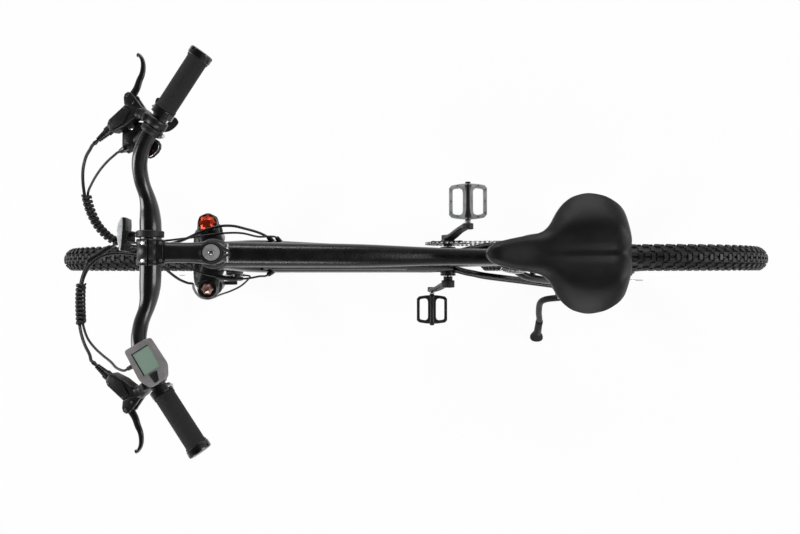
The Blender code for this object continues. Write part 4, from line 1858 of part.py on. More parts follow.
def build():
    nodes = {}

    def add(name, bm, mat, smooth=35):
        nodes[name] = place(name, mesh_from(bm, name), mat, smooth=smooth)

    def add_cable(name, paths, radius):
        nodes[name] = place(name, tube_curve(paths, radius, 2), RUBBER)

    add("main_frame", build_main_frame(), BLACK_PAINT)
    add("headset", build_headset(), BLACK_ALLOY)
    add("bottom_bracket", build_bottom_bracket(), BLACK_ALLOY)
    add("battery_pack", build_battery(), BLACK_PAINT)
    add("seat_clamp", build_seat_clamp(), BLACK_ALLOY)
    add("seat_clamp_lever", build_seat_lever(), STEEL)
    add("seatpost", build_seatpost(), BLACK_ALLOY)
    add("saddle_base", build_saddle_base(), PLASTIC)
    add("saddle", build_saddle(), LEATHER, 60)
    add("kickstand", build_kickstand(), BLACK_ALLOY)
    add("chain", build_chain(), STEEL)
    add("rear_derailleur", build_derailleur(), BLACK_ALLOY)
    add("pulley_upper", build_pulley(GUIDE_PULLEY, -0.0057, 0.0090), PLASTIC)
    add("pulley_lower", build_pulley(TENSION_PULLEY, 0.0010, 0.0030), PLASTIC)
    add("rear_axle", build_rear_axle(), STEEL)
    add("rear_caliper", build_rear_caliper(), BLACK_ALLOY)
    at_rear = Matrix.Translation(REAR_AXLE)
    wheel_parts = (("motor_hub", build_motor_hub, BLACK_ALLOY), ("rear_rim", build_rim, BLACK_ALLOY),
                   ("rear_tyre", build_tyre, RUBBER))
    for name, make, mat in wheel_parts:
        bm = make()
        bm.transform(at_rear)
        add(name, bm, mat)
    disc = build_rotor()
    disc.transform(at_rear @ Matrix.Translation((0, REAR_ROTOR_Y, 0)))
    add("rear_rotor", disc, STEEL)
    add("cassette", build_cassette(), STEEL)
    add("crank_right", build_right_crank(), BLACK_ALLOY)
    add("chainring", build_chainring(), BLACK_ALLOY)
    add("crank_left", build_left_crank(), BLACK_ALLOY)
    add("pedal_right", build_pedal(-1), GREY_ALLOY)
    add("pedal_left", build_pedal(1), BLACK_ALLOY)

    add("fork_upper", build_fork_upper(), BLACK_ALLOY)
    add("stem", build_stem(), BLACK_ALLOY)
    add("stem_faceplate", build_faceplate(), BLACK_ALLOY)
    add("top_cap", build_top_cap(), GREY_ALLOY)
    add("handlebar", build_handlebar(), BLACK_ALLOY, 50)
    for side, word in ((-1, "right"), (1, "left")):
        add("grip_" + word, build_grip(side), RUBBER)
        add("brake_body_" + word, build_brake_body(side), BLACK_ALLOY)
        add("brake_lever_" + word, build_brake_lever(side), BLACK_ALLOY)
    add("shifter", build_shifter(), PLASTIC)
    add("shift_lever_down", build_shift_lever(THUMB_LEVEL, (0.3660, -0.2020), (0.3450, -0.2040)), PLASTIC)
    add("shift_lever_up", build_shift_lever(FINGER_LEVEL, (0.3790, -0.2180), (0.3630, -0.2470)), PLASTIC)
    add("display", build_display(), DISPLAY_GREY)
    add("display_button", build_display_key(), PLASTIC)
    add("reflector", build_reflector(), REFLECTOR)
    add("lockout_knob", build_fork_knob(-1, 0.0125, 0.0130), RED_ANODISED)
    add("preload_knob", build_fork_knob(1, 0.0135, 0.0110), BRONZE_ANODISED)
    add("fork_lowers", build_fork_lowers(), BLACK_PAINT)
    add("front_caliper", build_front_caliper(), BLACK_ALLOY)
    add("front_axle", build_front_axle(), STEEL)
    at_front = STEER @ Matrix.Translation((FORK_OFFSET, 0, 0))
    for name, make, mat in (("front_hub", build_front_hub, BLACK_ALLOY), ("front_rim", build_rim, BLACK_ALLOY)):
        bm = make()
        bm.transform(at_front)
        add(name, bm, mat)
    tyre = build_tyre()
    tyre.transform(Matrix.Translation(FRONT_AXLE))
    add("front_tyre", tyre, RUBBER)
    disc = build_rotor()
    disc.transform(at_front @ Matrix.Translation((0, FRONT_ROTOR_Y, 0)))
    add("front_rotor", disc, STEEL)

    paths = node_paths()
    right = wrap_path(RIGHT_WRAP)
    left = wrap_path(LEFT_WRAP)
    report_gaps(paths, right, left)
    add_cable("brake_hose_front", [paths["front"]], HOSE_RADIUS)
    add_cable("brake_hose_rear", [paths["rear"]], HOSE_RADIUS)
    add_cable("shift_cable", [paths["shift"]], WIRE_RADIUS)
    sleeve = rod(*LEAD_SLEEVE, SLEEVE_RADIUS, sides=8)
    add("display_lead", combine(tube(paths["lead"], WIRE_RADIUS), [sleeve]), RUBBER)
    add_cable("brake_hose_stay", [paths["stay"]], HOSE_RADIUS)
    add_cable("shift_cable_stay", [paths["gear"]], WIRE_RADIUS)
    nodes["wrap_right"] = place("wrap_right", tube_curve([right], WRAP_STRAND, 1), PLASTIC)
    nodes["wrap_left"] = place("wrap_left", tube_curve([left], WRAP_STRAND, 1), PLASTIC)
    return nodes


def set_pivots(nodes):
    """An empty on every joint's axis, with the joint's own pieces under it."""
    def under(name, position, axis, *children):
        pivot(name, position, axis, [nodes[c] for c in children])

    across = (0, 1, 0)
    under("steering", STEER_ORIGIN, STEER_UP, "fork_upper", "stem", "stem_faceplate", "top_cap", "handlebar",
          "grip_right", "grip_left", "brake_body_right", "brake_body_left", "shifter", "display", "reflector",
          "brake_hose_front", "brake_hose_rear", "shift_cable", "display_lead", "wrap_right", "wrap_left")
    under("fork_travel", FRONT_AXLE, STEER_UP, "fork_lowers", "front_caliper", "front_axle")
    under("front_wheel", FRONT_AXLE, across, "front_hub", "front_rim", "front_tyre", "front_rotor")
    under("rear_wheel", REAR_AXLE, across, "motor_hub", "rear_rim", "rear_tyre", "rear_rotor")
    under("cassette", REAR_AXLE, across, "cassette")
    under("crank", BRACKET, across, "crank_right", "crank_left", "chainring")
    under("pedal_right", pedal_centre(-1), across, "pedal_right")
    under("pedal_left", pedal_centre(1), across, "pedal_left")
    under("pulley_upper", GUIDE_PULLEY, across, "pulley_upper")
    under("pulley_lower", TENSION_PULLEY, across, "pulley_lower")
    for side, word in ((-1, "right"), (1, "left")):
        under("brake_lever_" + word, side_vector(side, LEVER_PIVOT), (0, 0, 1), "brake_lever_" + word)
    under("shift_lever_down", SHIFTER_PIVOT, (0, 0, 1), "shift_lever_down")
    under("shift_lever_up", SHIFTER_PIVOT, (0, 0, 1), "shift_lever_up")
    under("display_button", (*DISPLAY_KEY[0], DISPLAY_BOTTOM + DISPLAY_HEIGHT), (0, 0, 1), "display_button")
    for side, word in ((-1, "lockout_knob"), (1, "preload_knob")):
        under(word, STEER @ Vector((LEG_OFFSET, side * LEG_SPREAD, KNOB_BASE)), STEER_UP, word)
    under("kickstand", STAND_AXIS_BASE, STAND_AXIS, "kickstand")
    under("seat_height", SEAT_TOP, SEAT_UP, "seatpost", "saddle_base", "saddle")
    under("seat_clamp_lever", SEAT_FRAME @ SEAT_LEVER_PIVOT, SEAT_UP, "seat_clamp_lever")
    under("battery_tilt", BATTERY_PIVOT, across, "battery_pack")


def show_measures(nodes):
    """Sizes and joint places, for the record."""
    low = Vector((9, 9, 9))
    high = Vector((-9, -9, -9))
    bpy.context.view_layer.update()
    graph = bpy.context.evaluated_depsgraph_get()
    total = 0
    for name, ob in nodes.items():
        evaluated = ob.evaluated_get(graph)
        data = evaluated.to_mesh()
        data.calc_loop_triangles()
        total += len(data.loop_triangles)
        for v in data.vertices:
            co = ob.matrix_world @ v.co
            low = Vector(map(min, low, co))
            high = Vector(map(max, high, co))
        print(name, "triangles", len(data.loop_triangles))
        evaluated.to_mesh_clear()
    print("box", [round(v, 4) for v in low], [round(v, 4) for v in high], "triangles", total)


parts = build()
set_pivots(parts)
show_measures(parts)
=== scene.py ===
# The visible electric bicycle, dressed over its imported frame.
# World frame: +X forward, +Y to the rider's left, +Z up, metres; the floor is at Z = 0.

import json
import math

import bmesh
import bpy
from mathutils import Matrix, Vector


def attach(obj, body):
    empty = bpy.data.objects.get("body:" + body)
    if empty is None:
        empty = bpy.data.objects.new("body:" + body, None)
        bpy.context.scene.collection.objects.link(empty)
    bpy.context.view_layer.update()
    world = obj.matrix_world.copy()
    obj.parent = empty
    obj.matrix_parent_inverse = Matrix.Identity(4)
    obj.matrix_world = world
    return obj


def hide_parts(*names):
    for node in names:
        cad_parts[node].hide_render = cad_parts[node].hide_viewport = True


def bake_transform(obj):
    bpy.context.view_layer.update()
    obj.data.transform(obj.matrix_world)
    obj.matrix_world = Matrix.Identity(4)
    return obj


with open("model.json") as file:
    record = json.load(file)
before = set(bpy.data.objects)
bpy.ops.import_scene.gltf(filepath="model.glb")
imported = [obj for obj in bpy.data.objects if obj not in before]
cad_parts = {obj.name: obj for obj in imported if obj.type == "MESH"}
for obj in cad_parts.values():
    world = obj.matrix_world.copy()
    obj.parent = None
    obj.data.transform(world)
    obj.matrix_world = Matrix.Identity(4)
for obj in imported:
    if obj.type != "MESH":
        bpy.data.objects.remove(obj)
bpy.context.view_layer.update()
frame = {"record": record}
BODY_OF = {n: b for b, names in frame["record"]["behaviour"]["bodies"].items() for n in names}
TAU = 2 * math.pi
SIDES = ((-1, "right"), (1, "left"))


# Camera

CAMERA_PLACE = (-0.08131, 0.03203, 1.81756)
CAMERA_TURN = (
    (-0.9978581, -0.0008711, -0.0654103),
    (0.0001839, -0.9999447, 0.0105110),
    (-0.0654158, 0.0104764, 0.9978031),
)
LENS = 24.131

camera_data = bpy.data.cameras.new("camera")
camera_data.lens = LENS
camera_data.sensor_width = 36.0
camera_data.clip_start = 0.05
camera = bpy.data.objects.new("camera", camera_data)
bpy.context.scene.collection.objects.link(camera)
camera.matrix_world = Matrix.Translation(CAMERA_PLACE) @ Matrix(CAMERA_TURN).to_4x4()
bpy.context.scene.camera = camera
bpy.context.scene.view_settings.view_transform = "Standard"


# Sizes shared with the frame

WHEEL_RADIUS = 0.348
RIM_SEAT = 0.2965
RIM_DEPTH = 0.0235
RIM_WIDTH = 0.027
ROTOR_RADIUS = 0.080
PAD_RADIUS = 0.072
PORT_REACH = 0.034
ROTOR_Y = {"front": 0.0395, "rear": 0.0520}
CALIPER_ANGLE = {"front": math.radians(150), "rear": math.radians(24)}
LEG_OFFSET = 0.0174
LEG_SPREAD = 0.0635
FORK_OFFSET = 0.041
CROWN_BOTTOM = 0.462
CROWN_TOP = 0.492
LOWERS_TOP = 0.315
HEAD_BOTTOM = 0.513
HEAD_LENGTH = 0.120
HEAD_TOP = HEAD_BOTTOM + HEAD_LENGTH
CUP_HEIGHT = 0.012
STEM_BOTTOM = HEAD_TOP + CUP_HEIGHT + 0.010
STEM_TOP = STEM_BOTTOM + 0.040
STEM_MIDDLE = STEM_TOP - 0.0192
STEM_LENGTH = 0.092
STEM_RISE = math.radians(-3.0)
BAR_CLAMP = 0.0159
BAR_RADIUS = 0.0111
SEAT_TUBE = 0.450
SEAT_TUBE_RADIUS = 0.0175
SEATPOST_RADIUS = 0.0136
AXLE_RADIUS = 0.0060
CHAINLINE = 0.050
CHAIN_PITCH = 0.0127

FRONT_AXLE = Vector((0.55, 0, WHEEL_RADIUS))
REAR_AXLE = Vector((-0.55, 0, WHEEL_RADIUS))
BRACKET = Vector((-0.1175, 0, 0.2954))
HEAD = math.radians(70.0)
STEER_UP = Vector((-math.cos(HEAD), 0, math.sin(HEAD)))
STEER_FORWARD = Vector((math.sin(HEAD), 0, math.cos(HEAD)))
SEAT = math.radians(73.0)
SEAT_UP = Vector((-math.cos(SEAT), 0, math.sin(SEAT)))
SEAT_FORWARD = Vector((math.sin(SEAT), 0, math.cos(SEAT)))


def frame_matrix(origin, forward, up):
    """Local X forward, local Z up, local Y to the left."""
    z = up.normalized()
    y = z.cross(forward).normalized()
    m = Matrix((y.cross(z), y, z)).transposed().to_4x4()
    m.translation = origin
    return m


STEER = frame_matrix(FRONT_AXLE - STEER_FORWARD * FORK_OFFSET, STEER_FORWARD, STEER_UP)
SEAT_FRAME = frame_matrix(BRACKET, SEAT_FORWARD, SEAT_UP)
BAR_LOCAL = Vector((STEM_LENGTH * math.cos(STEM_RISE), 0, STEM_MIDDLE + STEM_LENGTH * math.sin(STEM_RISE)))
BAR_CENTRE = STEER @ BAR_LOCAL
DOWN_TOP = STEER @ Vector((-0.004, 0, HEAD_BOTTOM + 0.047))
DOWN_DIR = (DOWN_TOP - BRACKET).normalized()
DOWN_FRAME = frame_matrix(BRACKET, DOWN_DIR, Vector((-DOWN_DIR.z, 0, DOWN_DIR.x)))
DOWN_LENGTH = (DOWN_TOP - BRACKET).length
SEAT_TOP = SEAT_FRAME @ Vector((0, 0, SEAT_TUBE))


# Mesh helpers

def aimed(origin, way):
    """Matrix that turns Z to a direction and moves the origin to a point."""
    m = way.to_track_quat("Z", "Y").to_matrix().to_4x4()
    m.translation = origin
    return m


def moved(bm, matrix):
    bm.transform(matrix)
    return bm


def rod(start, end, radius, radius_end=None, sides=32, soft=0.0):
    """Closed cylinder or cone between two points, its rims rounded where soft is set."""
    start = Vector(start)
    end = Vector(end)
    r1 = radius
    r0 = radius if radius_end is None else radius_end
    length = (end - start).length
    profile = [(0.0, 0.0), (r1, 0.0), (r0, length), (0.0, length)]
    if soft:
        profile = [(0.0, 0.0), (r1 - soft, 0.0),
                   (r1 - soft * 0.3, soft * 0.3), (r1, soft), (r0, length - soft),
                   (r0 - soft * 0.3, length - soft * 0.3), (r0 - soft, length), (0.0, length)]
    return moved(turned(profile, sides), aimed(start, end - start))


def polar(radius, angle):
    return radius * math.cos(angle), radius * math.sin(angle)


def rod_about(middle, half, radius, **options):
    """Rod that reaches by half to either side of its middle."""
    return rod(middle - half, middle + half, radius, **options)


def turned(profile, sides=48, closed=False):
    """Turned surface about Z from (radius, height) points; closed joins the last point to the first."""
    bm = bmesh.new()
    rows = []
    for r, h in profile:
        if r <= 1e-7:
            rows.append([bm.verts.new((0, 0, h))])
        else:
            rows.append([bm.verts.new((*polar(r, TAU * i / sides), h)) for i in range(sides)])
    pairs = list(zip(rows, rows[1:]))
    if closed:
        pairs.append((rows[-1], rows[0]))
    for a, b in pairs:
        for i in range(sides):
            j = (i + 1) % sides
            if len(a) == 1 and len(b) == 1:
                continue
            if len(a) == 1:
                bm.faces.new((a[0], b[i], b[j]))
            elif len(b) == 1:
                bm.faces.new((a[i], a[j], b[0]))
            else:
                bm.faces.new((a[i], a[j], b[j], b[i]))
    bmesh.ops.recalc_face_normals(bm, faces=bm.faces)
    return bm


def block(centre, size, turn=None, soft=0.0, segments=2):
    """Box with rounded edges, its size along its own axes, turned by a 3x3 matrix."""
    bm = bmesh.new()
    bmesh.ops.create_cube(bm, size=1.0)
    bm.transform(Matrix.Diagonal((*size, 1.0)))
    if soft:
        bmesh.ops.bevel(bm, geom=bm.edges[:], offset=soft, segments=segments, affect="EDGES", profile=0.5,
                        clamp_overlap=True)
    turn = turn.to_4x4() if turn else Matrix.Identity(4)
    bm.transform(Matrix.Translation(Vector(centre)) @ turn)
    bmesh.ops.recalc_face_normals(bm, faces=bm.faces)
    return bm


def oval(count, rx, ry=None, power=2.0):
    """Points round an ellipse, or round a squarer outline where power is above 2."""
    ry = rx if ry is None else ry
    points = []
    for i in range(count):
        a = TAU * (i + 0.5) / count
        c = math.cos(a)
        s = math.sin(a)
        points.append((math.copysign(abs(c) ** (2 / power), c) * rx,
                       math.copysign(abs(s) ** (2 / power), s) * ry))
    return points


def loft(rings, closed=False, capped=True):
    """Skin rings of equal count; ends are capped unless the rings close on themselves."""
    bm = bmesh.new()
    rows = [[bm.verts.new(p) for p in ring] for ring in rings]
    count = len(rows[0])
    pairs = list(zip(rows, rows[1:]))
    if closed:
        pairs.append((rows[-1], rows[0]))
    for a, b in pairs:
        for i in range(count):
            j = (i + 1) % count
            bm.faces.new((a[i], a[j], b[j], b[i]))
    if capped and not closed:
        bm.faces.new(rows[0][::-1])
        bm.faces.new(rows[-1])
    bmesh.ops.recalc_face_normals(bm, faces=bm.faces)
    return bm


def curve_at(values, t):
    """Catmull-Rom value at t, from 0 to 1, through equally spaced tuples."""
    n = len(values) - 1
    x = min(max(t, 0.0), 1.0) * n
    i = min(int(x), n - 1)
    u = x - i
    b = Vector(values[i])
    c = Vector(values[i + 1])
    a = Vector(values[i - 1]) if i > 0 else b * 2 - c
    d = Vector(values[i + 2]) if i + 2 <= n else c * 2 - b
    return 0.5 * (2 * b + (c - a) * u + (2 * a - 5 * b + 4 * c - d) * u ** 2
                  + (3 * b - a - 3 * c + d) * u ** 3)


def smooth(points, steps=6):
    """Smooth path through points, each span in a few steps."""
    n = (len(points) - 1) * steps
    return [curve_at(points, i / n) for i in range(n + 1)]


def frames_along(path):
    """(point, side, up) at each point, carried along the path without a twist."""
    pts = [Vector(p) for p in path]
    out = []
    side = None
    for i, p in enumerate(pts):
        ahead = (pts[min(i + 1, len(pts) - 1)] - pts[max(i - 1, 0)]).normalized()
        if side is None:
            hint = Vector((0, 0, 1)) if abs(ahead.z) < 0.9 else Vector((1, 0, 0))
            side = ahead.cross(hint)
        side = (side - ahead * side.dot(ahead)).normalized()
        out.append((p, side, side.cross(ahead).normalized()))
    return out


def sweep(path, radius, sides=20, flat=1.0, power=2.0, round_ends=False):
    """Tube along a path. The radius is one number or one for each point; flat scales it upwards."""
    rings = []
    stations = frames_along(path)
    for i, (p, side, up) in enumerate(stations):
        r = radius if isinstance(radius, (int, float)) else radius[i]
        ring = [p + side * u + up * v for u, v in oval(sides, r, r * flat, power)]
        rings.append(ring)
    if round_ends:
        first = round_cap(stations[0], stations[1][0], rings[0])
        last = round_cap(stations[-1], stations[-2][0], rings[-1])
        rings = [*reversed(first), *rings, *last]
    return loft(rings)


def round_cap(station, inner, ring):
    """Rings that close a tube's end with a dome."""
    p = station[0]
    out = (p - inner).normalized()
    r = (ring[0] - p).length
    caps = []
    for a in (25, 50, 72, 86):
        a = math.radians(a)
        caps.append([p + (q - p) * math.cos(a) + out * (r * 0.8 * math.sin(a)) for q in ring])
    return caps


def prism(outline, low, high, holes=(), soft=0.0):
    """Flat outline in X and Y, with any holes, extruded along Z; soft rounds its edges."""
    curve = bpy.data.curves.new("outline", "CURVE")
    curve.dimensions = "2D"
    curve.fill_mode = "BOTH"
    curve.extrude = (high - low) / 2 - soft
    if soft:
        curve.bevel_depth = soft
        curve.bevel_resolution = 2
        curve.offset = -soft
    for loop in (outline, *holes):
        spline = curve.splines.new("POLY")
        spline.points.add(len(loop) - 1)
        for point, (x, y) in zip(spline.points, loop):
            point.co = (x, y, 0, 1)
        spline.use_cyclic_u = True
    ob = bpy.data.objects.new("outline", curve)
    bpy.context.scene.collection.objects.link(ob)
    bpy.context.view_layer.update()
    data = bpy.data.meshes.new_from_object(ob.evaluated_get(bpy.context.evaluated_depsgraph_get()))
    bm = bmesh.new()
    bm.from_mesh(data)
    bpy.data.objects.remove(ob, do_unlink=True)
    bpy.data.meshes.remove(data)
    bmesh.ops.remove_doubles(bm, verts=bm.verts, dist=1e-6)
    bmesh.ops.recalc_face_normals(bm, faces=bm.faces)
    bm.transform(Matrix.Translation((0, 0, (high + low) / 2)))
    return bm


def upright(bm):
    """Stand a shape made in X and Y up in the X and Z plane, its thickness along Y."""
    bm.transform(Matrix(((1, 0, 0, 0), (0, 0, 1, 0), (0, 1, 0, 0), (0, 0, 0, 1))))
    bmesh.ops.recalc_face_normals(bm, faces=bm.faces)
    return bm


def y_axis(bm, centre=(0, 0, 0)):
    """Lay a shape that was made about Z along the world Y axis, at a centre."""
    bm.transform(Matrix.Translation(Vector(centre)) @ Matrix.Rotation(math.radians(-90), 4, "X"))
    return bm


def joined(shapes):
    """One bmesh from several, side by side."""
    bm = bmesh.new()
    for shape in shapes:
        data = bpy.data.meshes.new("member")
        shape.to_mesh(data)
        shape.free()
        bm.from_mesh(data)
        bpy.data.meshes.remove(data)
    return bm


def carved(base, cutters):
    """Take cutters away from a shape with exact Booleans."""
    made = []
    for bm in (base, *cutters):
        data = bpy.data.meshes.new("carved")
        bm.to_mesh(data)
        bm.free()
        ob = bpy.data.objects.new("carved", data)
        bpy.context.scene.collection.objects.link(ob)
        made.append(ob)
    for cutter in made[1:]:
        step = made[0].modifiers.new("cut", "BOOLEAN")
        step.operation = "DIFFERENCE"
        step.solver = "EXACT"
        step.object = cutter
    bpy.context.view_layer.update()
    data = bpy.data.meshes.new_from_object(made[0].evaluated_get(bpy.context.evaluated_depsgraph_get()))
    bm = bmesh.new()
    bm.from_mesh(data)
    bpy.data.meshes.remove(data)
    for ob in made:
        bpy.data.objects.remove(ob, do_unlink=True)
    return bm


def mirror_y(p):
    return Vector((p[0], -p[1], p[2]))


def sided(side, p):
    return Vector((p[0], side * p[1], p[2]))


def link_mesh(name, bm, mats, angle=38):
    data = bpy.data.meshes.new(name)
    bm.to_mesh(data)
    bm.free()
    ob = bpy.data.objects.new(name, data)
    bpy.context.scene.collection.objects.link(ob)
    for mat in mats if isinstance(mats, (list, tuple)) else [mats]:
        data.materials.append(mat)
    data.shade_smooth()
    data.set_sharp_from_angle(angle=math.radians(angle))
    return ob


def piece(name, bm, mat, node, hide=True, angle=38):
    """A visible piece that rides with a CAD node's body, and stands for that node where hide is true."""
    ob = link_mesh(name, bm, mat, angle)
    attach(ob, BODY_OF[node])
    if hide:
        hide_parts(node)
    return ob


def pieces(node, meshes, labels):
    """Visible pieces of one node, the first standing for it; a label is name, finish and any angle."""
    for i, (bm, (name, mat, *angle)) in enumerate(zip(meshes, labels)):
        piece(name, bm, mat, node, i == 0, *angle)


# Materials

def put(node, values):
    """Set a node's sockets by name."""
    for socket, value in values.items():
        node.inputs[socket].default_value = value
    return node


def surface(name, colour, roughness, metallic=0.0, coat=0.0, grains=(),
            mottle=(60.0, 0.18), span=0.06, sheen=0.0, streak=None, specular=0.5):
    """Procedural finish: clouded colour and roughness, and any layers of fine relief."""
    mat = bpy.data.materials.new(name)
    mat.use_nodes = True
    nodes = mat.node_tree.nodes
    links = mat.node_tree.links
    shader = nodes["Principled BSDF"]
    put(shader, {"Metallic": metallic, "Coat Weight": coat, "Coat Roughness": 0.12,
                 "Sheen Weight": sheen, "Specular IOR Level": specular})
    place = nodes.new("ShaderNodeTexCoord")
    vector = place.outputs["Object"]
    if streak:
        stretch = put(nodes.new("ShaderNodeMapping"), {"Scale": streak})
        links.new(vector, stretch.inputs["Vector"])
        vector = stretch.outputs["Vector"]
    cloud = put(nodes.new("ShaderNodeTexNoise"), {"Scale": mottle[0], "Detail": 5.0})
    links.new(vector, cloud.inputs["Vector"])
    ramp = nodes.new("ShaderNodeValToRGB")
    ramp.color_ramp.elements[0].position = 0.32
    ramp.color_ramp.elements[1].position = 0.68
    ramp.color_ramp.elements[0].color = (*(c * (1 - mottle[1]) for c in colour), 1)
    ramp.color_ramp.elements[1].color = (*(min(1.0, c * (1 + mottle[1])) for c in colour), 1)
    links.new(cloud.outputs["Fac"], ramp.inputs["Fac"])
    links.new(ramp.outputs["Color"], shader.inputs["Base Color"])
    rough = put(nodes.new("ShaderNodeMapRange"), {
        "From Min": 0.3, "From Max": 0.7,
        "To Min": max(0.02, roughness - span), "To Max": min(1.0, roughness + span)})
    links.new(cloud.outputs["Fac"], rough.inputs["Value"])
    links.new(rough.outputs["Result"], shader.inputs["Roughness"])
    normal = None
    for kind, scale, strength, distance in grains:
        if kind == "cells":
            relief = nodes.new("ShaderNodeTexVoronoi")
            height = relief.outputs["Distance"]
        else:
            relief = put(nodes.new("ShaderNodeTexNoise"), {"Detail": 3.0})
            height = relief.outputs["Fac"]
        relief.inputs["Scale"].default_value = scale
        links.new(place.outputs["Object"], relief.inputs["Vector"])
        bump = put(nodes.new("ShaderNodeBump"), {"Strength": strength, "Distance": distance})
        links.new(height, bump.inputs["Height"])
        if normal:
            links.new(normal, bump.inputs["Normal"])
        normal = bump.outputs["Normal"]
    if normal:
        links.new(normal, shader.inputs["Normal"])
    return mat


FRAME_PAINT = surface("frame_paint", (0.0045, 0.0045, 0.0048), 0.27, coat=0.10, specular=0.36,
                      grains=(("cells", 380.0, 0.24, 0.0006), ("noise", 1400.0, 0.15, 0.0002)))
STAND_PAINT = surface("stand_paint", (0.0032, 0.0032, 0.0034), 0.46, specular=0.22,
                      grains=(("noise", 900.0, 0.10, 0.0004),))
STAND_RUBBER = surface("stand_rubber", (0.0028, 0.0028, 0.0030), 0.62, specular=0.15,
                       grains=(("noise", 1200.0, 0.12, 0.0004),))
PLAIN_PAINT = surface("plain_paint", (0.0050, 0.0050, 0.0053), 0.36,
                      coat=0.05, specular=0.36, grains=(("noise", 700.0, 0.12, 0.0003),))
GLOSS_ALLOY = surface("gloss_alloy", (0.0035, 0.0035, 0.0038),
                      0.24, coat=0.35, grains=(("noise", 500.0, 0.05, 0.0002),))
SATIN_ALLOY = surface("satin_alloy", (0.0055, 0.0055, 0.0058), 0.36,
                      specular=0.42, grains=(("noise", 1500.0, 0.12, 0.0002),))
CAST_ALLOY = surface("cast_alloy", (0.0065, 0.0065, 0.0068), 0.44,
                     specular=0.38, grains=(("noise", 1800.0, 0.25, 0.0003),))
FORGED_GREY = surface("forged_grey", (0.022, 0.022, 0.023), 0.46, metallic=0.35,
                      grains=(("noise", 1500.0, 0.2, 0.0003),))
PEDAL_GREY = surface("pedal_grey", (0.30, 0.30, 0.31), 0.50,
                     metallic=0.35, grains=(("noise", 1600.0, 0.3, 0.0004),))
STEEL = surface("steel", (0.58, 0.58, 0.60), 0.27, metallic=1.0, mottle=(220.0, 0.12), span=0.10)
BRUSHED = surface("brushed_steel", (0.50, 0.50, 0.52), 0.36,
                  metallic=1.0, streak=(12.0, 900.0, 12.0), span=0.12)
DARK_STEEL = surface("dark_steel", (0.10, 0.10, 0.105), 0.38, metallic=0.9, mottle=(300.0, 0.3), span=0.10)
GRIP_RUBBER = surface("grip_rubber", (0.0105, 0.0105, 0.0108), 0.72, sheen=0.03, specular=0.32,
                      grains=(("cells", 1300.0, 0.55, 0.0005), ("noise", 3000.0, 0.2, 0.0002)))
TYRE_RUBBER = surface("tyre_rubber", (0.0062, 0.0062, 0.0064), 0.50, specular=0.42,
                      mottle=(45.0, 0.35), span=0.10, grains=(("noise", 900.0, 0.25, 0.0004),))
HOUSING = surface("cable_housing", (0.0055, 0.0055, 0.0058), 0.34,
                  specular=0.42, grains=(("noise", 1200.0, 0.10, 0.0002),))
MOULDED = surface("moulded_plastic", (0.0060, 0.0060, 0.0063),
                  0.44, specular=0.36, grains=(("noise", 2200.0, 0.3, 0.0002),))
SHINY_PLASTIC = surface("shiny_plastic", (0.0038, 0.0038, 0.0041), 0.22, coat=0.4)
COVER = surface("saddle_cover", (0.0050, 0.0050, 0.0052), 0.44, specular=0.28, mottle=(28.0, 0.14),
                span=0.05, grains=(("cells", 1500.0, 0.30, 0.0004), ("noise", 240.0, 0.10, 0.0006)))
CASE_GREY = surface("display_case", (0.168, 0.160, 0.160), 0.50, grains=(("noise", 2400.0, 0.3, 0.0002),))
SCREEN = surface("display_screen", (0.205, 0.290, 0.232), 0.22, coat=0.3, mottle=(18.0, 0.05), span=0.03)
RED = surface("red_anodised", (0.56, 0.050, 0.018), 0.24, metallic=0.75, mottle=(90.0, 0.2))
ROSE = surface("rose_anodised", (0.42, 0.25, 0.22), 0.26, metallic=0.85, mottle=(90.0, 0.2))
CAP_GREY = surface("cap_grey", (0.36, 0.36, 0.362), 0.42,
                   metallic=0.5, grains=(("noise", 1500.0, 0.2, 0.0002),))
CLEAR = surface("clear_reflector", (0.72, 0.73, 0.75),
                0.12, coat=0.5, grains=(("cells", 420.0, 0.8, 0.0010),))
BATTERY_SHELL = surface("battery_shell", (0.0045, 0.0045, 0.0048),
                        0.30, coat=0.2, grains=(("noise", 1500.0, 0.2, 0.0002),))


# Tyres

TREAD_ROWS = 90
CARCASS_CENTRE = 0.3215
CARCASS_RISE = 0.0226
CARCASS_HALF = 0.0250
KNOB_HEIGHT = 0.0040


def carcass_point(phi):
    """Radius and side position on the tyre's casing, phi from the crown."""
    return CARCASS_CENTRE + CARCASS_RISE * math.cos(phi), CARCASS_HALF * math.sin(phi)


def add_knob(bm, theta, phi, along, across, height, twist=0.0):
    """Tapered tread block standing on the casing."""
    radius, y = carcass_point(phi)
    out_r = math.cos(phi) / CARCASS_RISE
    out_y = math.sin(phi) / CARCASS_HALF
    size = math.hypot(out_r, out_y)
    radial = Vector((math.cos(theta), 0, math.sin(theta)))
    tangent_dir = Vector((-math.sin(theta), 0, math.cos(theta)))
    out = radial * (out_r / size) + Vector((0, out_y / size, 0))
    side = out.cross(tangent_dir)
    ahead = tangent_dir * math.cos(twist) + side * math.sin(twist)
    side = out.cross(ahead)
    foot = radial * radius + Vector((0, y, 0))
    rows = []
    for level, scale, cut in ((-0.0018, 1.12, 0.16), (height - 0.0007, 0.96, 0.18), (height, 0.84, 0.22)):
        a = along / 2 * scale
        b = across / 2 * scale
        c = min(a, b) * cut
        corners = ((a, b - c), (a - c, b), (c - a, b), (-a, b - c),
                   (-a, c - b), (c - a, -b), (a - c, -b), (a, c - b))
        rows.append([bm.verts.new(foot + out * level + ahead * u + side * v) for u, v in corners])
    for low, high in zip(rows, rows[1:]):
        for i in range(8):
            j = (i + 1) % 8
            bm.faces.new((low[i], low[j], high[j], high[i]))
    bm.faces.new(rows[-1])


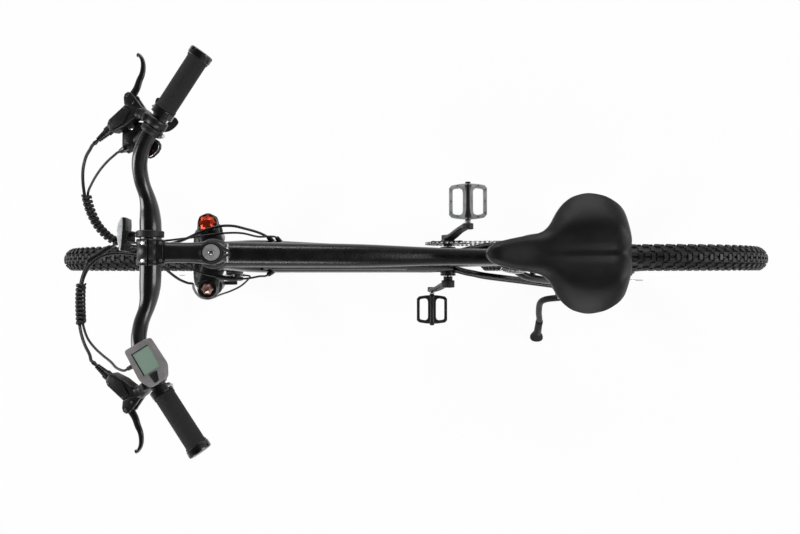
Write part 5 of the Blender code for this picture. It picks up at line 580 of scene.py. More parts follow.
def tyre_mesh():
    bm = bmesh.new()
    pitch = TAU / TREAD_ROWS
    for row in range(TREAD_ROWS):
        theta = row * pitch
        half = theta + pitch / 2
        for side in (-1, 1):
            add_knob(bm, theta, side * math.radians(60), 0.0125, 0.0088, KNOB_HEIGHT, side * 0.10)
            add_knob(bm, theta, side * math.radians(12.5), 0.0112, 0.0084, KNOB_HEIGHT, side * -0.14)
            add_knob(bm, half, side * math.radians(37), 0.0102, 0.0080, KNOB_HEIGHT, side * 0.16)
            add_knob(bm, half, side * math.radians(76), 0.0080, 0.0048, KNOB_HEIGHT * 0.5)
        add_knob(bm, half, 0.0, 0.0082, 0.0130, KNOB_HEIGHT)
    bead = (RIM_SEAT + 0.0003, RIM_WIDTH * 0.42)
    profile = [(bead[0], -bead[1]), (bead[0], bead[1]), (RIM_SEAT + 0.0040, RIM_WIDTH * 0.47)]
    for i in range(25):
        phi = math.radians(120 - 10 * i)
        radius, y = carcass_point(phi)
        profile.append((radius, y))
    profile.append((RIM_SEAT + 0.0040, -RIM_WIDTH * 0.47))
    casing = y_axis(turned(profile, 120, closed=True))
    whole = joined([bm, casing])
    bmesh.ops.recalc_face_normals(whole, faces=whole.faces)
    return whole


def at_axle(bm, place):
    return moved(bm, Matrix.Translation(place))


def rim_mesh():
    half = RIM_WIDTH / 2
    inner = RIM_SEAT - RIM_DEPTH
    profile = [(RIM_SEAT + 0.0002, half * 0.82), (RIM_SEAT - 0.0030, half * 0.70),
               (RIM_SEAT - 0.0050, 0.0), (RIM_SEAT - 0.0030, -half * 0.70),
               (RIM_SEAT + 0.0002, -half * 0.82), (RIM_SEAT + 0.0002, -half),
               (RIM_SEAT - 0.0095, -half), (RIM_SEAT - 0.0130, -half * 0.90),
               (inner + 0.0020, -half * 0.26), (inner, 0.0), (inner + 0.0020, half * 0.26),
               (RIM_SEAT - 0.0130, half * 0.90), (RIM_SEAT - 0.0095, half), (RIM_SEAT + 0.0002, half)]
    return y_axis(turned(profile, 120, closed=True))


SPOKES = 28


def spoke_meshes(crossing, flanges, flange_radius):
    """Laced spokes, each with its bend in the flange and its nipple at the rim."""
    spokes = []
    nipples = []
    inner = RIM_SEAT - RIM_DEPTH
    hole = flange_radius - 0.0040
    for i in range(SPOKES):
        side = 1 if i % 2 == 0 else -1
        lead = 1 if (i // 2) % 2 == 0 else -1
        flange = flanges[0] if side > 0 else flanges[1]
        rim_angle = TAU * i / SPOKES
        hub_angle = rim_angle + crossing * lead
        start = Vector((hole * math.cos(hub_angle),
                        flange + 0.0036 * lead * side, hole * math.sin(hub_angle)))
        end = Vector((inner * math.cos(rim_angle), 0.0005 * side, inner * math.sin(rim_angle)))
        way = (end - start).normalized()
        spokes.append(rod(start, end, 0.0010, sides=8))
        nipples.append(rod(end - way * 0.011, end + way * 0.001, 0.0016, 0.0021, sides=8))
        root = Vector((start.x, flange - 0.0042 * lead * side, start.z))
        spokes.append(rod(root, start, 0.0011, sides=8))
    return joined(spokes), joined(nipples)


def ring_outline(radius, count, wave=0.0, waves=0):
    return [polar(radius + wave * math.cos(waves * TAU * i / count), TAU * i / count)
            for i in range(count)]


def shifted(outline, x, y):
    return [(u + x, v + y) for u, v in outline]


def arms_between(count, share, outer, inner, lean=0.0, points=9):
    """Windows between two radii that leave leaning arms, so many round a disc."""
    windows = []
    edge = (1 - share) / 2
    for k in range(count):
        a0 = TAU * (k + edge) / count
        a1 = TAU * (k + 1 - edge) / count
        loop = [polar(outer, a0 + (a1 - a0) * i / (points - 1)) for i in range(points)]
        loop += [polar(inner, a1 - (a1 - a0) * (0.12 + 0.76 * i / 5) - lean) for i in range(6)]
        windows.append(loop)
    return windows


def bolt_at(angle, circle, low, high, radius, sides, soft=0.0006):
    """Short rod on a bolt circle about Z."""
    place = polar(circle, angle)
    return rod((*place, low), (*place, high), radius, sides=sides, soft=soft)


def rotor_mesh():
    """Brake disc with a waved rim, leaning arms and vent holes."""
    holes = arms_between(6, 0.82, 0.0635, 0.029, 0.22)
    for k in range(36):
        a = TAU * k / 36
        r = (0.0690, 0.0725, 0.0760)[k % 3]
        holes.append(shifted(ring_outline(0.0019, 10), *polar(r, a)))
    holes.append(ring_outline(0.0186, 48))
    outer = ring_outline(ROTOR_RADIUS - 0.0008, 180, 0.0008, 12)
    bolts = [bolt_at(TAU * k / 6, 0.0235, 0.0004, 0.0024, 0.0032, 12) for k in range(6)]
    return y_axis(joined([prism(outer, -0.0010, 0.0010, holes), *bolts]))


FRONT_FLANGES = (0.0230, -0.0330)
MOTOR_FLANGES = (0.0250, -0.0150)


def front_hub_mesh():
    left, right = FRONT_FLANGES
    profile = [(0.010, 0.0497), (0.010, 0.0410), (0.0175, 0.0410), (0.0182, 0.0403),
               (0.0182, left + 0.008), (0.015, left + 0.005), (0.0185, left + 0.003),
               (0.0235, left + 0.0025), (0.0240, left + 0.0018), (0.0240, left - 0.0018),
               (0.0235, left - 0.0025), (0.0165, left - 0.0040), (0.0140, left - 0.009),
               (0.0136, 0.0), (0.0140, right + 0.009), (0.0165, right + 0.0040),
               (0.0235, right + 0.0025), (0.0240, right + 0.0018), (0.0240, right - 0.0018),
               (0.0235, right - 0.0025), (0.0160, right - 0.004), (0.0120, right - 0.008),
               (0.0100, right - 0.010), (0.010, -0.0497), (0.0068, -0.0497), (0.0068, 0.0497)]
    return y_axis(turned(profile, 64, closed=True))


def motor_hub_mesh():
    """Geared hub motor's drum with its flanges, side cover and cover screws."""
    left, right = MOTOR_FLANGES
    half = 0.0672
    profile = [(0.012, half - 0.006), (0.012, 0.0535), (0.0182, 0.0535),
               (0.0182, left + 0.0185), (0.034, left + 0.016), (0.050, left + 0.0128),
               (0.0560, left + 0.0100), (0.0592, left + 0.0070), (0.0600, left + 0.0040),
               (0.0655, left + 0.0025), (0.0680, left + 0.0015), (0.0680, left - 0.0015),
               (0.0655, left - 0.0025), (0.0600, left - 0.0035), (0.0600, right + 0.0035),
               (0.0655, right + 0.0025), (0.0680, right + 0.0015), (0.0680, right - 0.0015),
               (0.0655, right - 0.0025), (0.0600, right - 0.0035), (0.0570, right - 0.0070),
               (0.0520, right - 0.0090), (0.022, right - 0.0120), (0.0165, right - 0.0125),
               (0.0165, -half + 0.002), (0.0068, -half + 0.002), (0.0068, half - 0.006)]
    shell = turned(profile, 96, closed=True)
    screws = [bolt_at(TAU * k / 9, 0.0500, left + 0.0115, left + 0.0150, 0.0030, 12, 0.0007)
              for k in range(9)]
    return y_axis(joined([shell, *screws]))


def wheel(word, axle, crossing, flanges, flange_radius, hub_mesh, hub_node):
    """Everything that turns about one axle, each piece its own mesh."""
    piece(word + "_tyre_tread", at_axle(tyre_mesh(), axle), TYRE_RUBBER, word + "_tyre", angle=30)
    piece(word + "_rim_hoop", at_axle(rim_mesh(), axle), SATIN_ALLOY, word + "_rim")
    piece(word + "_hub_shell", at_axle(hub_mesh(), axle), SATIN_ALLOY, hub_node)
    spokes, nipples = spoke_meshes(crossing, flanges, flange_radius)
    piece(word + "_spokes", at_axle(spokes, axle), DARK_STEEL, hub_node, hide=False)
    piece(word + "_nipples", at_axle(nipples, axle), STEEL, hub_node, hide=False)
    offset = Vector((0, ROTOR_Y[word], 0))
    piece(word + "_brake_disc", at_axle(rotor_mesh(), axle + offset), BRUSHED, word + "_rotor")


wheel("front", FRONT_AXLE, math.radians(52), FRONT_FLANGES, 0.0240, front_hub_mesh, "front_hub")
wheel("rear", REAR_AXLE, math.radians(24), MOTOR_FLANGES, 0.0680, motor_hub_mesh, "motor_hub")


# Drivetrain

RING_TEETH = 30
COG_TEETH = 20
CASSETTE_TEETH = (28, 24, 22, 20, 18, 16, 14)
COG_SPACING = 0.0042
PULLEY_TEETH = 11
GUIDE_PULLEY = REAR_AXLE + Vector((0.010, -CHAINLINE, -0.090))
TENSION_PULLEY = REAR_AXLE + Vector((0.034, -CHAINLINE, -0.146))


def pitch_radius(teeth):
    return CHAIN_PITCH / (2 * math.sin(math.pi / teeth))


def toothed(teeth, tip_out=0.0020, root_in=0.0034):
    """Outline with a hollow for each roller and a blunt tip between two of them."""
    radius = pitch_radius(teeth)
    points = []
    for i in range(teeth):
        for share, r in ((0.0, -root_in), (0.18, -root_in * 0.72), (0.32, -0.0004), (0.44, tip_out * 0.92),
                         (0.56, tip_out * 0.92), (0.68, -0.0004), (0.82, -root_in * 0.72)):
            a = TAU * (i + share) / teeth
            points.append(polar(radius + r, a))
    return points


def chainring_mesh():
    windows = arms_between(5, 0.66, 0.0500, 0.0300)
    ring = prism(toothed(RING_TEETH), -0.0010, 0.0010, [*windows, ring_outline(0.0200, 40)], 0.0002)
    return y_axis(ring, (BRACKET.x, -CHAINLINE, BRACKET.z))


def cassette_mesh():
    """Seven toothed cogs on their carrier, with a lockring outside."""
    first = -CHAINLINE + COG_SPACING * CASSETTE_TEETH.index(COG_TEETH)
    last = first - COG_SPACING * (len(CASSETTE_TEETH) - 1)
    shapes = [turned([(0.0168, first + 0.0020), (0.0225, first + 0.0020), (0.0225, last - 0.0012),
                      (0.0205, last - 0.0022), (0.0168, last - 0.0022)], 48, closed=True)]
    for i, teeth in enumerate(CASSETTE_TEETH):
        y = first - COG_SPACING * i
        holes = [ring_outline(0.0220, 36)]
        if pitch_radius(teeth) > 0.040:
            holes += arms_between(6, 0.70, pitch_radius(teeth) - 0.0085, 0.0265, 0.1, 5)
        shapes.append(prism(toothed(teeth, 0.0016, 0.0036), y - 0.0009, y + 0.0009, holes))
    return at_axle(y_axis(joined(shapes)), REAR_AXLE)


def pulley_mesh(centre):
    holes = [ring_outline(0.0026, 16), *arms_between(5, 0.62, 0.0150, 0.0085, 0.0, 4)]
    wheel_shape = prism(toothed(PULLEY_TEETH, 0.0014, 0.0034), -0.0010, 0.0010, holes)
    cap = turned([(0.0026, -0.0024), (0.0062, -0.0024), (0.0068, -0.0018),
                  (0.0068, 0.0018), (0.0062, 0.0024), (0.0026, 0.0024)], 24, closed=True)
    return y_axis(joined([wheel_shape, cap]), centre)


def tangent(c0, r0, s0, c1, r1, s1):
    """Points where a belt leaves one wheel and meets the next; a turn of 1 is clockwise."""
    d = c1 - c0
    k = s0 * r0 - s1 * r1
    length = math.sqrt(d.length_squared - k * k)
    a = math.atan2(d.y, d.x) - math.atan2(k, length)
    n = Vector((-math.sin(a), math.cos(a)))
    return c0 + n * (s0 * r0), c1 + n * (s1 * r1)


def chain_pins():
    """Pitch points of the closed chain, in world X and Z."""
    wheels = [(REAR_AXLE.xz, pitch_radius(COG_TEETH), 1), (BRACKET.xz, pitch_radius(RING_TEETH), 1),
              (TENSION_PULLEY.xz, pitch_radius(PULLEY_TEETH), 1),
              (GUIDE_PULLEY.xz, pitch_radius(PULLEY_TEETH), -1)]
    spans = [tangent(*w, *wheels[(i + 1) % 4]) for i, w in enumerate(wheels)]
    line = []
    for i, (c, r, s) in enumerate(wheels):
        arrive = spans[i - 1][1] - c
        leave = spans[i][0] - c
        a0 = math.atan2(arrive.y, arrive.x)
        a1 = math.atan2(leave.y, leave.x)
        turn = (a0 - a1) % TAU if s > 0 else (a1 - a0) % TAU
        steps = max(4, round(turn * r / 0.004))
        line += [c + Vector(polar(1, a0 - s * turn * k / steps)) * r for k in range(steps + 1)]
    closed = [*line, line[0]]
    total = sum((b - a).length for a, b in zip(closed, closed[1:]))
    count = 2 * round(total / CHAIN_PITCH / 2)
    pins = []
    walked = 0.0
    for a, b in zip(closed, closed[1:]):
        length = (b - a).length
        while len(pins) < count and len(pins) * total / count <= walked + length:
            t = (len(pins) * total / count - walked) / length if length > 0 else 0.0
            pins.append(a.lerp(b, t))
        walked += length
    return pins


def link_outline(length):
    """Side plate: two round ends and a waist."""
    points = []
    for end in (1, -1):
        for i in range(9):
            a = math.radians(-100 + 25 * i)
            points.append((end * (length / 2 + 0.0040 * math.cos(a)), end * 0.0040 * math.sin(a)))
        points.append((0.0, end * 0.0030))
    return points


def chain_meshes():
    """Outer and inner plates in turn, a roller at every pin and the pins' ends."""
    pins = chain_pins()
    count = len(pins)
    step = (pins[1] - pins[0]).length
    plates = []
    rollers = []
    outline = link_outline(step)
    for i, p in enumerate(pins):
        q = pins[(i + 1) % count]
        middle = (p + q) / 2
        angle = math.atan2(q.y - p.y, q.x - p.x)
        reach = 0.00285 if i % 2 else 0.00185
        for side in (-1, 1):
            plate = upright(prism(outline, side * reach - 0.00042, side * reach + 0.00042))
            turn = Matrix.Rotation(-angle, 4, "Y")
            plate.transform(Matrix.Translation((middle.x, -CHAINLINE, middle.y)) @ turn)
            plates.append(plate)
        across = Vector((0, 0.0014, 0))
        centre = Vector((p.x, -CHAINLINE, p.y))
        rollers.append(rod_about(centre, across, 0.0037, sides=14))
        across = Vector((0, 0.0035, 0))
        rollers.append(rod_about(centre, across, 0.0017, sides=10))
    return joined(plates), joined(rollers)


piece("chainring_teeth", chainring_mesh(), DARK_STEEL, "chainring", angle=30)
piece("sprocket_stack", cassette_mesh(), BRUSHED, "cassette", angle=30)
piece("guide_wheel", pulley_mesh(GUIDE_PULLEY), MOULDED, "pulley_upper")
piece("tension_wheel", pulley_mesh(TENSION_PULLEY), MOULDED, "pulley_lower")
pieces("chain", chain_meshes(), (("chain_plates", DARK_STEEL, 30), ("chain_rollers", STEEL)))


# Derailleur

BARREL_ADJUSTER = ((-0.5620, -0.0880, 0.3185), (-0.5775, -0.0880, 0.3215))


def cage_outline():
    a = GUIDE_PULLEY.xz
    b = TENSION_PULLEY.xz
    direction = (b - a).normalized()
    side = Vector((-direction.y, direction.x))
    points = []
    for centre, start in ((a, 0), (b, math.pi)):
        for i in range(13):
            angle = start + math.pi * i / 12
            points.append(centre + side * math.cos(angle) * 0.0080 - direction * math.sin(angle) * 0.0080)
    return [(p.x, p.y) for p in points]


def derailleur_meshes():
    knuckle = REAR_AXLE + Vector((-0.0085, -0.0841, -0.027))
    lower = GUIDE_PULLEY + Vector((0, -0.0185, 0))
    across = Vector((0, 1, 0))
    body = [rod(knuckle + across * 0.009, knuckle - across * 0.012, 0.0112, sides=32, soft=0.0016),
            rod(lower + across * 0.0085, lower - across * 0.0110, 0.0122, sides=32, soft=0.0018),
            rod(GUIDE_PULLEY - across * 0.0060, lower, 0.0062, sides=24)]
    for lift in (-0.0070, 0.0030):
        shift = across * lift
        middle = (knuckle + lower) / 2 + shift + Vector((-0.006, -0.006, 0))
        line = smooth([knuckle + shift, middle, lower + shift], 5)
        body.append(sweep(line, 0.0044, 14, flat=0.8, power=3.0))
    low, high = BARREL_ADJUSTER
    body.append(rod(low, high, 0.0050, 0.0038, sides=20, soft=0.0005))
    plates = [upright(prism(cage_outline(), -CHAINLINE + y - 0.0008, -CHAINLINE + y + 0.0008))
              for y in (-0.0056, 0.0056)]
    bolts = [rod(knuckle - across * 0.0120, knuckle - across * 0.0138, 0.0062, sides=24, soft=0.0007)]
    for c in (GUIDE_PULLEY, TENSION_PULLEY):
        bolts.append(rod(c - across * 0.0085, c + across * 0.0075, 0.0034, sides=16, soft=0.0006))
    return joined(body), joined(plates), joined(bolts)


pieces("rear_derailleur", derailleur_meshes(), (
    ("derailleur_links", CAST_ALLOY), ("derailleur_cage", DARK_STEEL), ("derailleur_bolts", STEEL)))


# Cranks and pedals

CRANK_ANGLE = math.radians(105.8)
CRANK_DIRECTION = Vector((math.cos(CRANK_ANGLE), 0, math.sin(CRANK_ANGLE)))
CRANK_LENGTH = 0.170
PEDAL_EYE_Y = 0.0850
PEDAL_CENTRE_Y = 0.1471
PEDAL_WIDTH = 0.0895
PEDAL_LENGTH = 0.0946
PEDAL_LEVEL = 0.0070


def crank_meshes(side):
    """Forged arm with its hub cap, and the bright pedal axle."""
    direction = CRANK_DIRECTION if side < 0 else -CRANK_DIRECTION
    across = Vector((-direction.z, 0, direction.x))
    stations = ((-0.0160, 0.0090, 0.0640, 0.0060), (0.000, 0.0175, 0.0650, 0.0085),
                (0.030, 0.0152, 0.0672, 0.0074), (0.060, 0.0138, 0.0715, 0.0066),
                (0.100, 0.0130, 0.0790, 0.0062), (0.150, 0.0135, PEDAL_EYE_Y, 0.0066),
                (CRANK_LENGTH, 0.0132, PEDAL_EYE_Y, 0.0070),
                (CRANK_LENGTH + 0.0112, 0.0070, PEDAL_EYE_Y, 0.0058))
    rings = []
    for i in range(36):
        distance, half_width, y, half_thick = curve_at(stations, i / 35)
        centre = BRACKET + direction * distance + Vector((0, side * y, 0))
        rings.append([centre + across * u + Vector((0, v, 0))
                      for u, v in oval(28, half_width, half_thick, 3.2)])
    eye = BRACKET + direction * CRANK_LENGTH

    def lateral(base, start, end, radius, sides=40, soft=0.0):
        return rod(base + Vector((0, side * start, 0)),
                   base + Vector((0, side * end, 0)), radius, sides=sides, soft=soft)

    arm = [loft(rings), lateral(BRACKET, 0.0535, 0.0740, 0.0185, soft=0.0015),
           lateral(BRACKET, 0.0425, 0.0540, 0.0128, soft=0.0010),
           lateral(eye, 0.0772, 0.0920, 0.0138, soft=0.0014)]
    axle = [lateral(BRACKET, 0.0, 0.0560, 0.0085, 24),
            lateral(eye, 0.0900, PEDAL_CENTRE_Y + PEDAL_WIDTH / 2 - 0.006, 0.0055, 24),
            lateral(eye, 0.0910, 0.0970, 0.0085, 6, 0.0004),
            lateral(BRACKET, 0.0735, 0.0752, 0.0110, 32, 0.0008)]
    return joined(arm), joined(axle)


def spider_mesh():
    points = []
    for k in range(5):
        base = TAU * k / 5
        for offset, radius in ((-0.17, 0.0440), (-0.10, 0.0470), (0.0, 0.0478),
                               (0.10, 0.0470), (0.17, 0.0440), (0.34, 0.0310), (0.48, 0.0262),
                               (0.62, 0.0250), (0.76, 0.0262), (0.92, 0.0310)):
            points.append(polar(radius, base + offset))
    star = prism(points, -0.0028, 0.0028, soft=0.0006)
    bolts = [bolt_at(TAU * k / 5, 0.0415, -0.0040, 0.0062, 0.0042, 20) for k in range(5)]
    place = (BRACKET.x, -CHAINLINE - 0.0041, BRACKET.z)
    return y_axis(star, place), y_axis(joined(bolts), place)


for side, word in SIDES:
    pieces("crank_" + word, crank_meshes(side), (
        ("crank_arm_" + word, FORGED_GREY), ("crank_bolts_" + word, STEEL)))
star, star_bolts = spider_mesh()
piece("crank_spider", star, FORGED_GREY, "crank_right", hide=False)
piece("chainring_bolts", star_bolts, STEEL, "crank_right", hide=False)


def pedal_outline():
    """Cage seen from above: straight front and rear edges and bowed ends."""
    points = []
    for end in (1, -1):
        for i in range(17):
            t = -1 + i / 8
            corner = max(0.0, abs(t) - 0.88) / 0.12
            points.append((-end * t * PEDAL_LENGTH / 2,
                           end * (PEDAL_WIDTH / 2 - 0.0060 * t * t - 0.0055 * corner ** 2)))
    return points


def pedal_window(lead):
    """D-shaped opening between the barrel and one edge of the cage."""
    x0 = 0.0125
    x1 = PEDAL_LENGTH / 2 - 0.0090
    reach = PEDAL_WIDTH / 2
    spine = [(lead * x0, -reach + 0.0210), (lead * (x0 + 0.0020), -reach + 0.0140),
             (lead * (x0 + 0.0080), -reach + 0.0105), (lead * (x1 - 0.006), -reach + 0.0120),
             (lead * (x1 - 0.001), -reach + 0.0140), (lead * x1, -reach + 0.0190)]
    return spine + [(x, -y) for x, y in reversed(spine)]


def pedal_meshes():
    cage = prism(pedal_outline(), -PEDAL_LEVEL, PEDAL_LEVEL, [pedal_window(1), pedal_window(-1)], 0.0012)
    profile = ((-0.0495, 0.0068), (-0.0422, 0.0072), (-0.0415, 0.0108), (-0.0370, 0.0110),
               (-0.0300, 0.0094), (-0.0150, 0.0085), (0.0150, 0.0085), (0.0300, 0.0094),
               (0.0370, 0.0110), (0.0415, 0.0108), (0.0422, 0.0072), (0.0495, 0.0068))
    barrel = turned([(0.0, -0.0495), *((r, h) for h, r in profile), (0.0, 0.0495)], 32)
    barrel = y_axis(barrel)
    pins = []
    for x in (-PEDAL_LENGTH / 2 + 0.0048, PEDAL_LENGTH / 2 - 0.0048):
        for y in (-0.0290, 0.0, 0.0290):
            pins.append((x, y))
    for x in (-0.0260, 0.0260):
        for y in (-PEDAL_WIDTH / 2 + 0.0058, PEDAL_WIDTH / 2 - 0.0058):
            pins.append((x, y))
    studs = [rod((x, y, -0.0108), (x, y, 0.0108), 0.0017, sides=10, soft=0.0003) for x, y in pins]
    seats = [rod((x, y, -0.0078), (x, y, 0.0078), 0.0032, sides=16, soft=0.0004) for x, y in pins]
    return joined([cage, *seats]), barrel, joined(studs)


for side, word, finish in ((-1, "right", PEDAL_GREY), (1, "left", CAST_ALLOY)):
    direction = CRANK_DIRECTION if side < 0 else -CRANK_DIRECTION
    place = BRACKET + direction * CRANK_LENGTH + Vector((0, side * PEDAL_CENTRE_Y, 0))
    pieces("pedal_" + word, [at_axle(bm, place) for bm in pedal_meshes()], (
        ("pedal_cage_" + word, finish), ("pedal_barrel_" + word, SATIN_ALLOY),
        ("pedal_pins_" + word, DARK_STEEL)))


# Frame tubes

def eased(stations, x):
    """Values at x on a broken line of (x, ...) stations, its corners rounded."""
    def plain(at):
        at = min(max(at, stations[0][0]), stations[-1][0])
        for a, b in zip(stations, stations[1:]):
            if at <= b[0]:
                t = (at - a[0]) / (b[0] - a[0])
                return [u + (v - u) * t for u, v in zip(a[1:], b[1:])]
        return list(stations[-1][1:])
    reach = 0.05 * (stations[-1][0] - stations[0][0])
    return [(a + b * 2 + c) / 4 for a, b, c in zip(plain(x - reach), plain(x), plain(x + reach))]


TOP_START = STEER @ Vector((-0.004, 0, HEAD_TOP - 0.030))
TOP_END = SEAT_FRAME @ Vector((0, 0, SEAT_TUBE - 0.038))
TOP_DIR = (TOP_END - TOP_START).normalized()
TOP_UP = Vector((TOP_DIR.z, 0, -TOP_DIR.x))
TOP_LENGTH = (TOP_END - TOP_START).length
TOP_SIZES = ((0.0, 0.0225, 0.0260, 0.0), (0.18, 0.0225, 0.0240, 0.004), (0.45, 0.0220, 0.0215, 0.004),
             (0.72, 0.0175, 0.0185, 0.0), (1.0, 0.0158, 0.0165, -0.002))


def top_ring(share, sides=64, grow=0.0):
    half_width, half_height, rise = eased(TOP_SIZES, share)
    centre = TOP_START + TOP_DIR * (TOP_LENGTH * share) + TOP_UP * rise
    return [centre + Vector((0, y, 0)) + TOP_UP * z
            for y, z in oval(sides, half_width + grow, half_height + grow, 2.6)]


def down_ring(share, sides=64, grow=0.0):
    sizes = ((0.0, 0.0275, 0.0267), (0.09, 0.0320, 0.0290), (0.91, 0.0320, 0.0290), (1.0, 0.0230, 0.0278))
    half_width, half_depth = eased(sizes, share)
    return [DOWN_FRAME @ Vector((DOWN_LENGTH * share, y, z))
            for y, z in oval(sides, half_width + grow, half_depth + grow, 4.0)]


def axis_gap(point, origin, direction):
    away = point - origin
    return (away - direction * away.dot(direction)).length


def weld_loop(ring_at, shares, origin, direction, reach, count=72):
    """Closed line where a tube's surface meets a round tube of radius reach."""
    line = []
    for k in range(count):
        low, high = shares
        for _ in range(18):
            middle = (low + high) / 2
            if axis_gap(ring_at(middle, count)[k], origin, direction) < reach:
                low = middle
            else:
                high = middle
        line.append(ring_at(low, count)[k])
    return line


def bead(line, radius=0.0026, lumps=30):
    """Weld bead laid along a closed line, its back lapped like coins."""
    count = len(line)
    middle = sum(line, Vector()) / count
    rings = []
    for k in range(count):
        ahead = (line[(k + 1) % count] - line[k - 1]).normalized()
        out = line[k] - middle
        out = (out - ahead * out.dot(ahead)).normalized()
        side = ahead.cross(out)
        r = radius * (1 + 0.22 * math.sin(TAU * lumps * k / count))
        rings.append([line[k] + side * (r * 1.3 * math.cos(a)) + out * (r * math.sin(a))
                      for a in (TAU * i / 10 for i in range(10))])
    return loft(rings, closed=True)


def pipe(start, end, radius, bore, sides=64, soft=0.001):
    """Hollow tube between two points."""
    start = Vector(start)
    end = Vector(end)
    length = (end - start).length
    bm = turned([(bore, 0.0), (radius - soft, 0.0), (radius, soft), (radius, length - soft),
                 (radius - soft, length), (bore, length)], sides, closed=True)
    return moved(bm, aimed(start, end - start))


def pipe_about(middle, half, radius, bore, **options):
    """Pipe that reaches by half to either side of its middle."""
    return pipe(middle - half, middle + half, radius, bore, **options)


BATTERY_FLOOR = 0.029 - 0.022
BATTERY_START = 0.225
BATTERY_LENGTH = 0.410


def down_tube_mesh():
    tube = loft([down_ring(0.006 + 0.989 * i / 40) for i in range(41)])
    bay = block((BATTERY_START + BATTERY_LENGTH / 2, 0, BATTERY_FLOOR + 0.050),
                (BATTERY_LENGTH + 0.002, 0.054, 0.1))
    return carved(tube, [moved(bay, DOWN_FRAME)])


def stay_paths(side):
    root = SEAT_TOP + Vector((0.0151, 0, -0.0437))
    end = REAR_AXLE + Vector((0.010, 0, 0.018))
    lower = ((0.0197, 0.0190, 0.0015), (0.1098, 0.0300, 0.0008),
             (0.1676, 0.0350, 0.0008), (0.2486, 0.0420, 0.0010),
             (0.4682, 0.0540, 0.0010), (0.7457, 0.0690, 0.0014), (0.9538, 0.0755, 0.0014))
    upper = ((0.0, 0.010, 0.0), (0.0915, 0.034, 0.0109), (0.232, 0.046, 0.0193), (0.608, 0.059, 0.0161),
             (0.869, 0.070, 0.0086), (1.0, 0.0760, 0.0))
    return ([BRACKET.lerp(REAR_AXLE, s) + Vector((0, side * y, z)) for s, y, z in lower],
            [root.lerp(end, s) + Vector((0, side * y, z)) for s, y, z in upper])


def dropout_outline(right):
    """Dropout seen from the side, its axle slot open downwards; the left one holds the caliper."""
    x, z = REAR_AXLE.x, REAR_AXLE.z
    slot = 0.0064
    points = [(x + 0.034, z + 0.010), (x + 0.018, z + 0.030)]
    if not right:
        points = [(x + 0.084, z + 0.006), (x + 0.090, z + 0.022), (x + 0.082, z + 0.043),
                  (x + 0.064, z + 0.048), (x + 0.046, z + 0.034), (x + 0.026, z + 0.036)]
    points += [(x - 0.004, z + 0.034), (x - 0.020, z + 0.018), (x - 0.022, z - 0.004)]
    points += [(x - 0.014, z - 0.036), (x - 0.003, z - 0.036)] if right else [(x - 0.014, z - 0.018)]
    points += [(x - slot, z - 0.018)]
    points += [(x + slot * math.cos(math.pi - math.pi * i / 12), z + slot * math.sin(math.pi * i / 12))
               for i in range(13)]
    points += [(x + slot, z - 0.018), (x + 0.014, z - 0.016), (x + 0.034, z - 0.010)]
    return points


STAND_PIVOT = Vector((-0.428, 0.096, 0.300))
STAND_TIP = Vector((-0.418, 0.246, 0.0))
STAND_DOWN = (STAND_TIP - STAND_PIVOT).normalized()
STAND_AXIS = STAND_DOWN.cross(Vector((-1.0, 0.10, 0.10)).normalized()).normalized()
CABLE_PORTS = (
    ((0.2380, -0.0350, 0.8050), (0.2400, -0.0300, 0.7700)),
    ((0.2260, -0.0350, 0.7900), (0.2290, -0.0300, 0.7560)),
    ((0.2380, 0.0350, 0.8050), (0.2400, 0.0300, 0.7700)),
    ((-0.1433, 0.0236, 0.3228), (-0.1360, 0.0220, 0.3000)),
    ((-0.1433, -0.0236, 0.3228), (-0.1360, -0.0220, 0.3000)),
    ((-0.4810, 0.0785, 0.3305), (-0.4700, 0.0705, 0.3380)),
)


def stand_mount_mesh():
    base = STAND_PIVOT - STAND_AXIS * 0.0063
    root = base - STAND_AXIS * 0.0115
    arm = loft([[Vector((-0.446, 0.066, 0.320)), Vector((-0.410, 0.066, 0.320)),
                 Vector((-0.410, 0.075, 0.340)), Vector((-0.446, 0.075, 0.340))],
                [root + Vector((u, v, w))
                 for u, v, w in ((-0.010, -0.004, -0.008), (0.010, -0.004, -0.008),
                                 (0.010, 0.004, 0.008), (-0.010, 0.004, 0.008))]])
    return joined([block((-0.428, 0.071, 0.328), (0.052, 0.012, 0.030), soft=0.003), arm,
                   rod(base, base - STAND_AXIS * 0.014, 0.0125, sides=32, soft=0.001)])


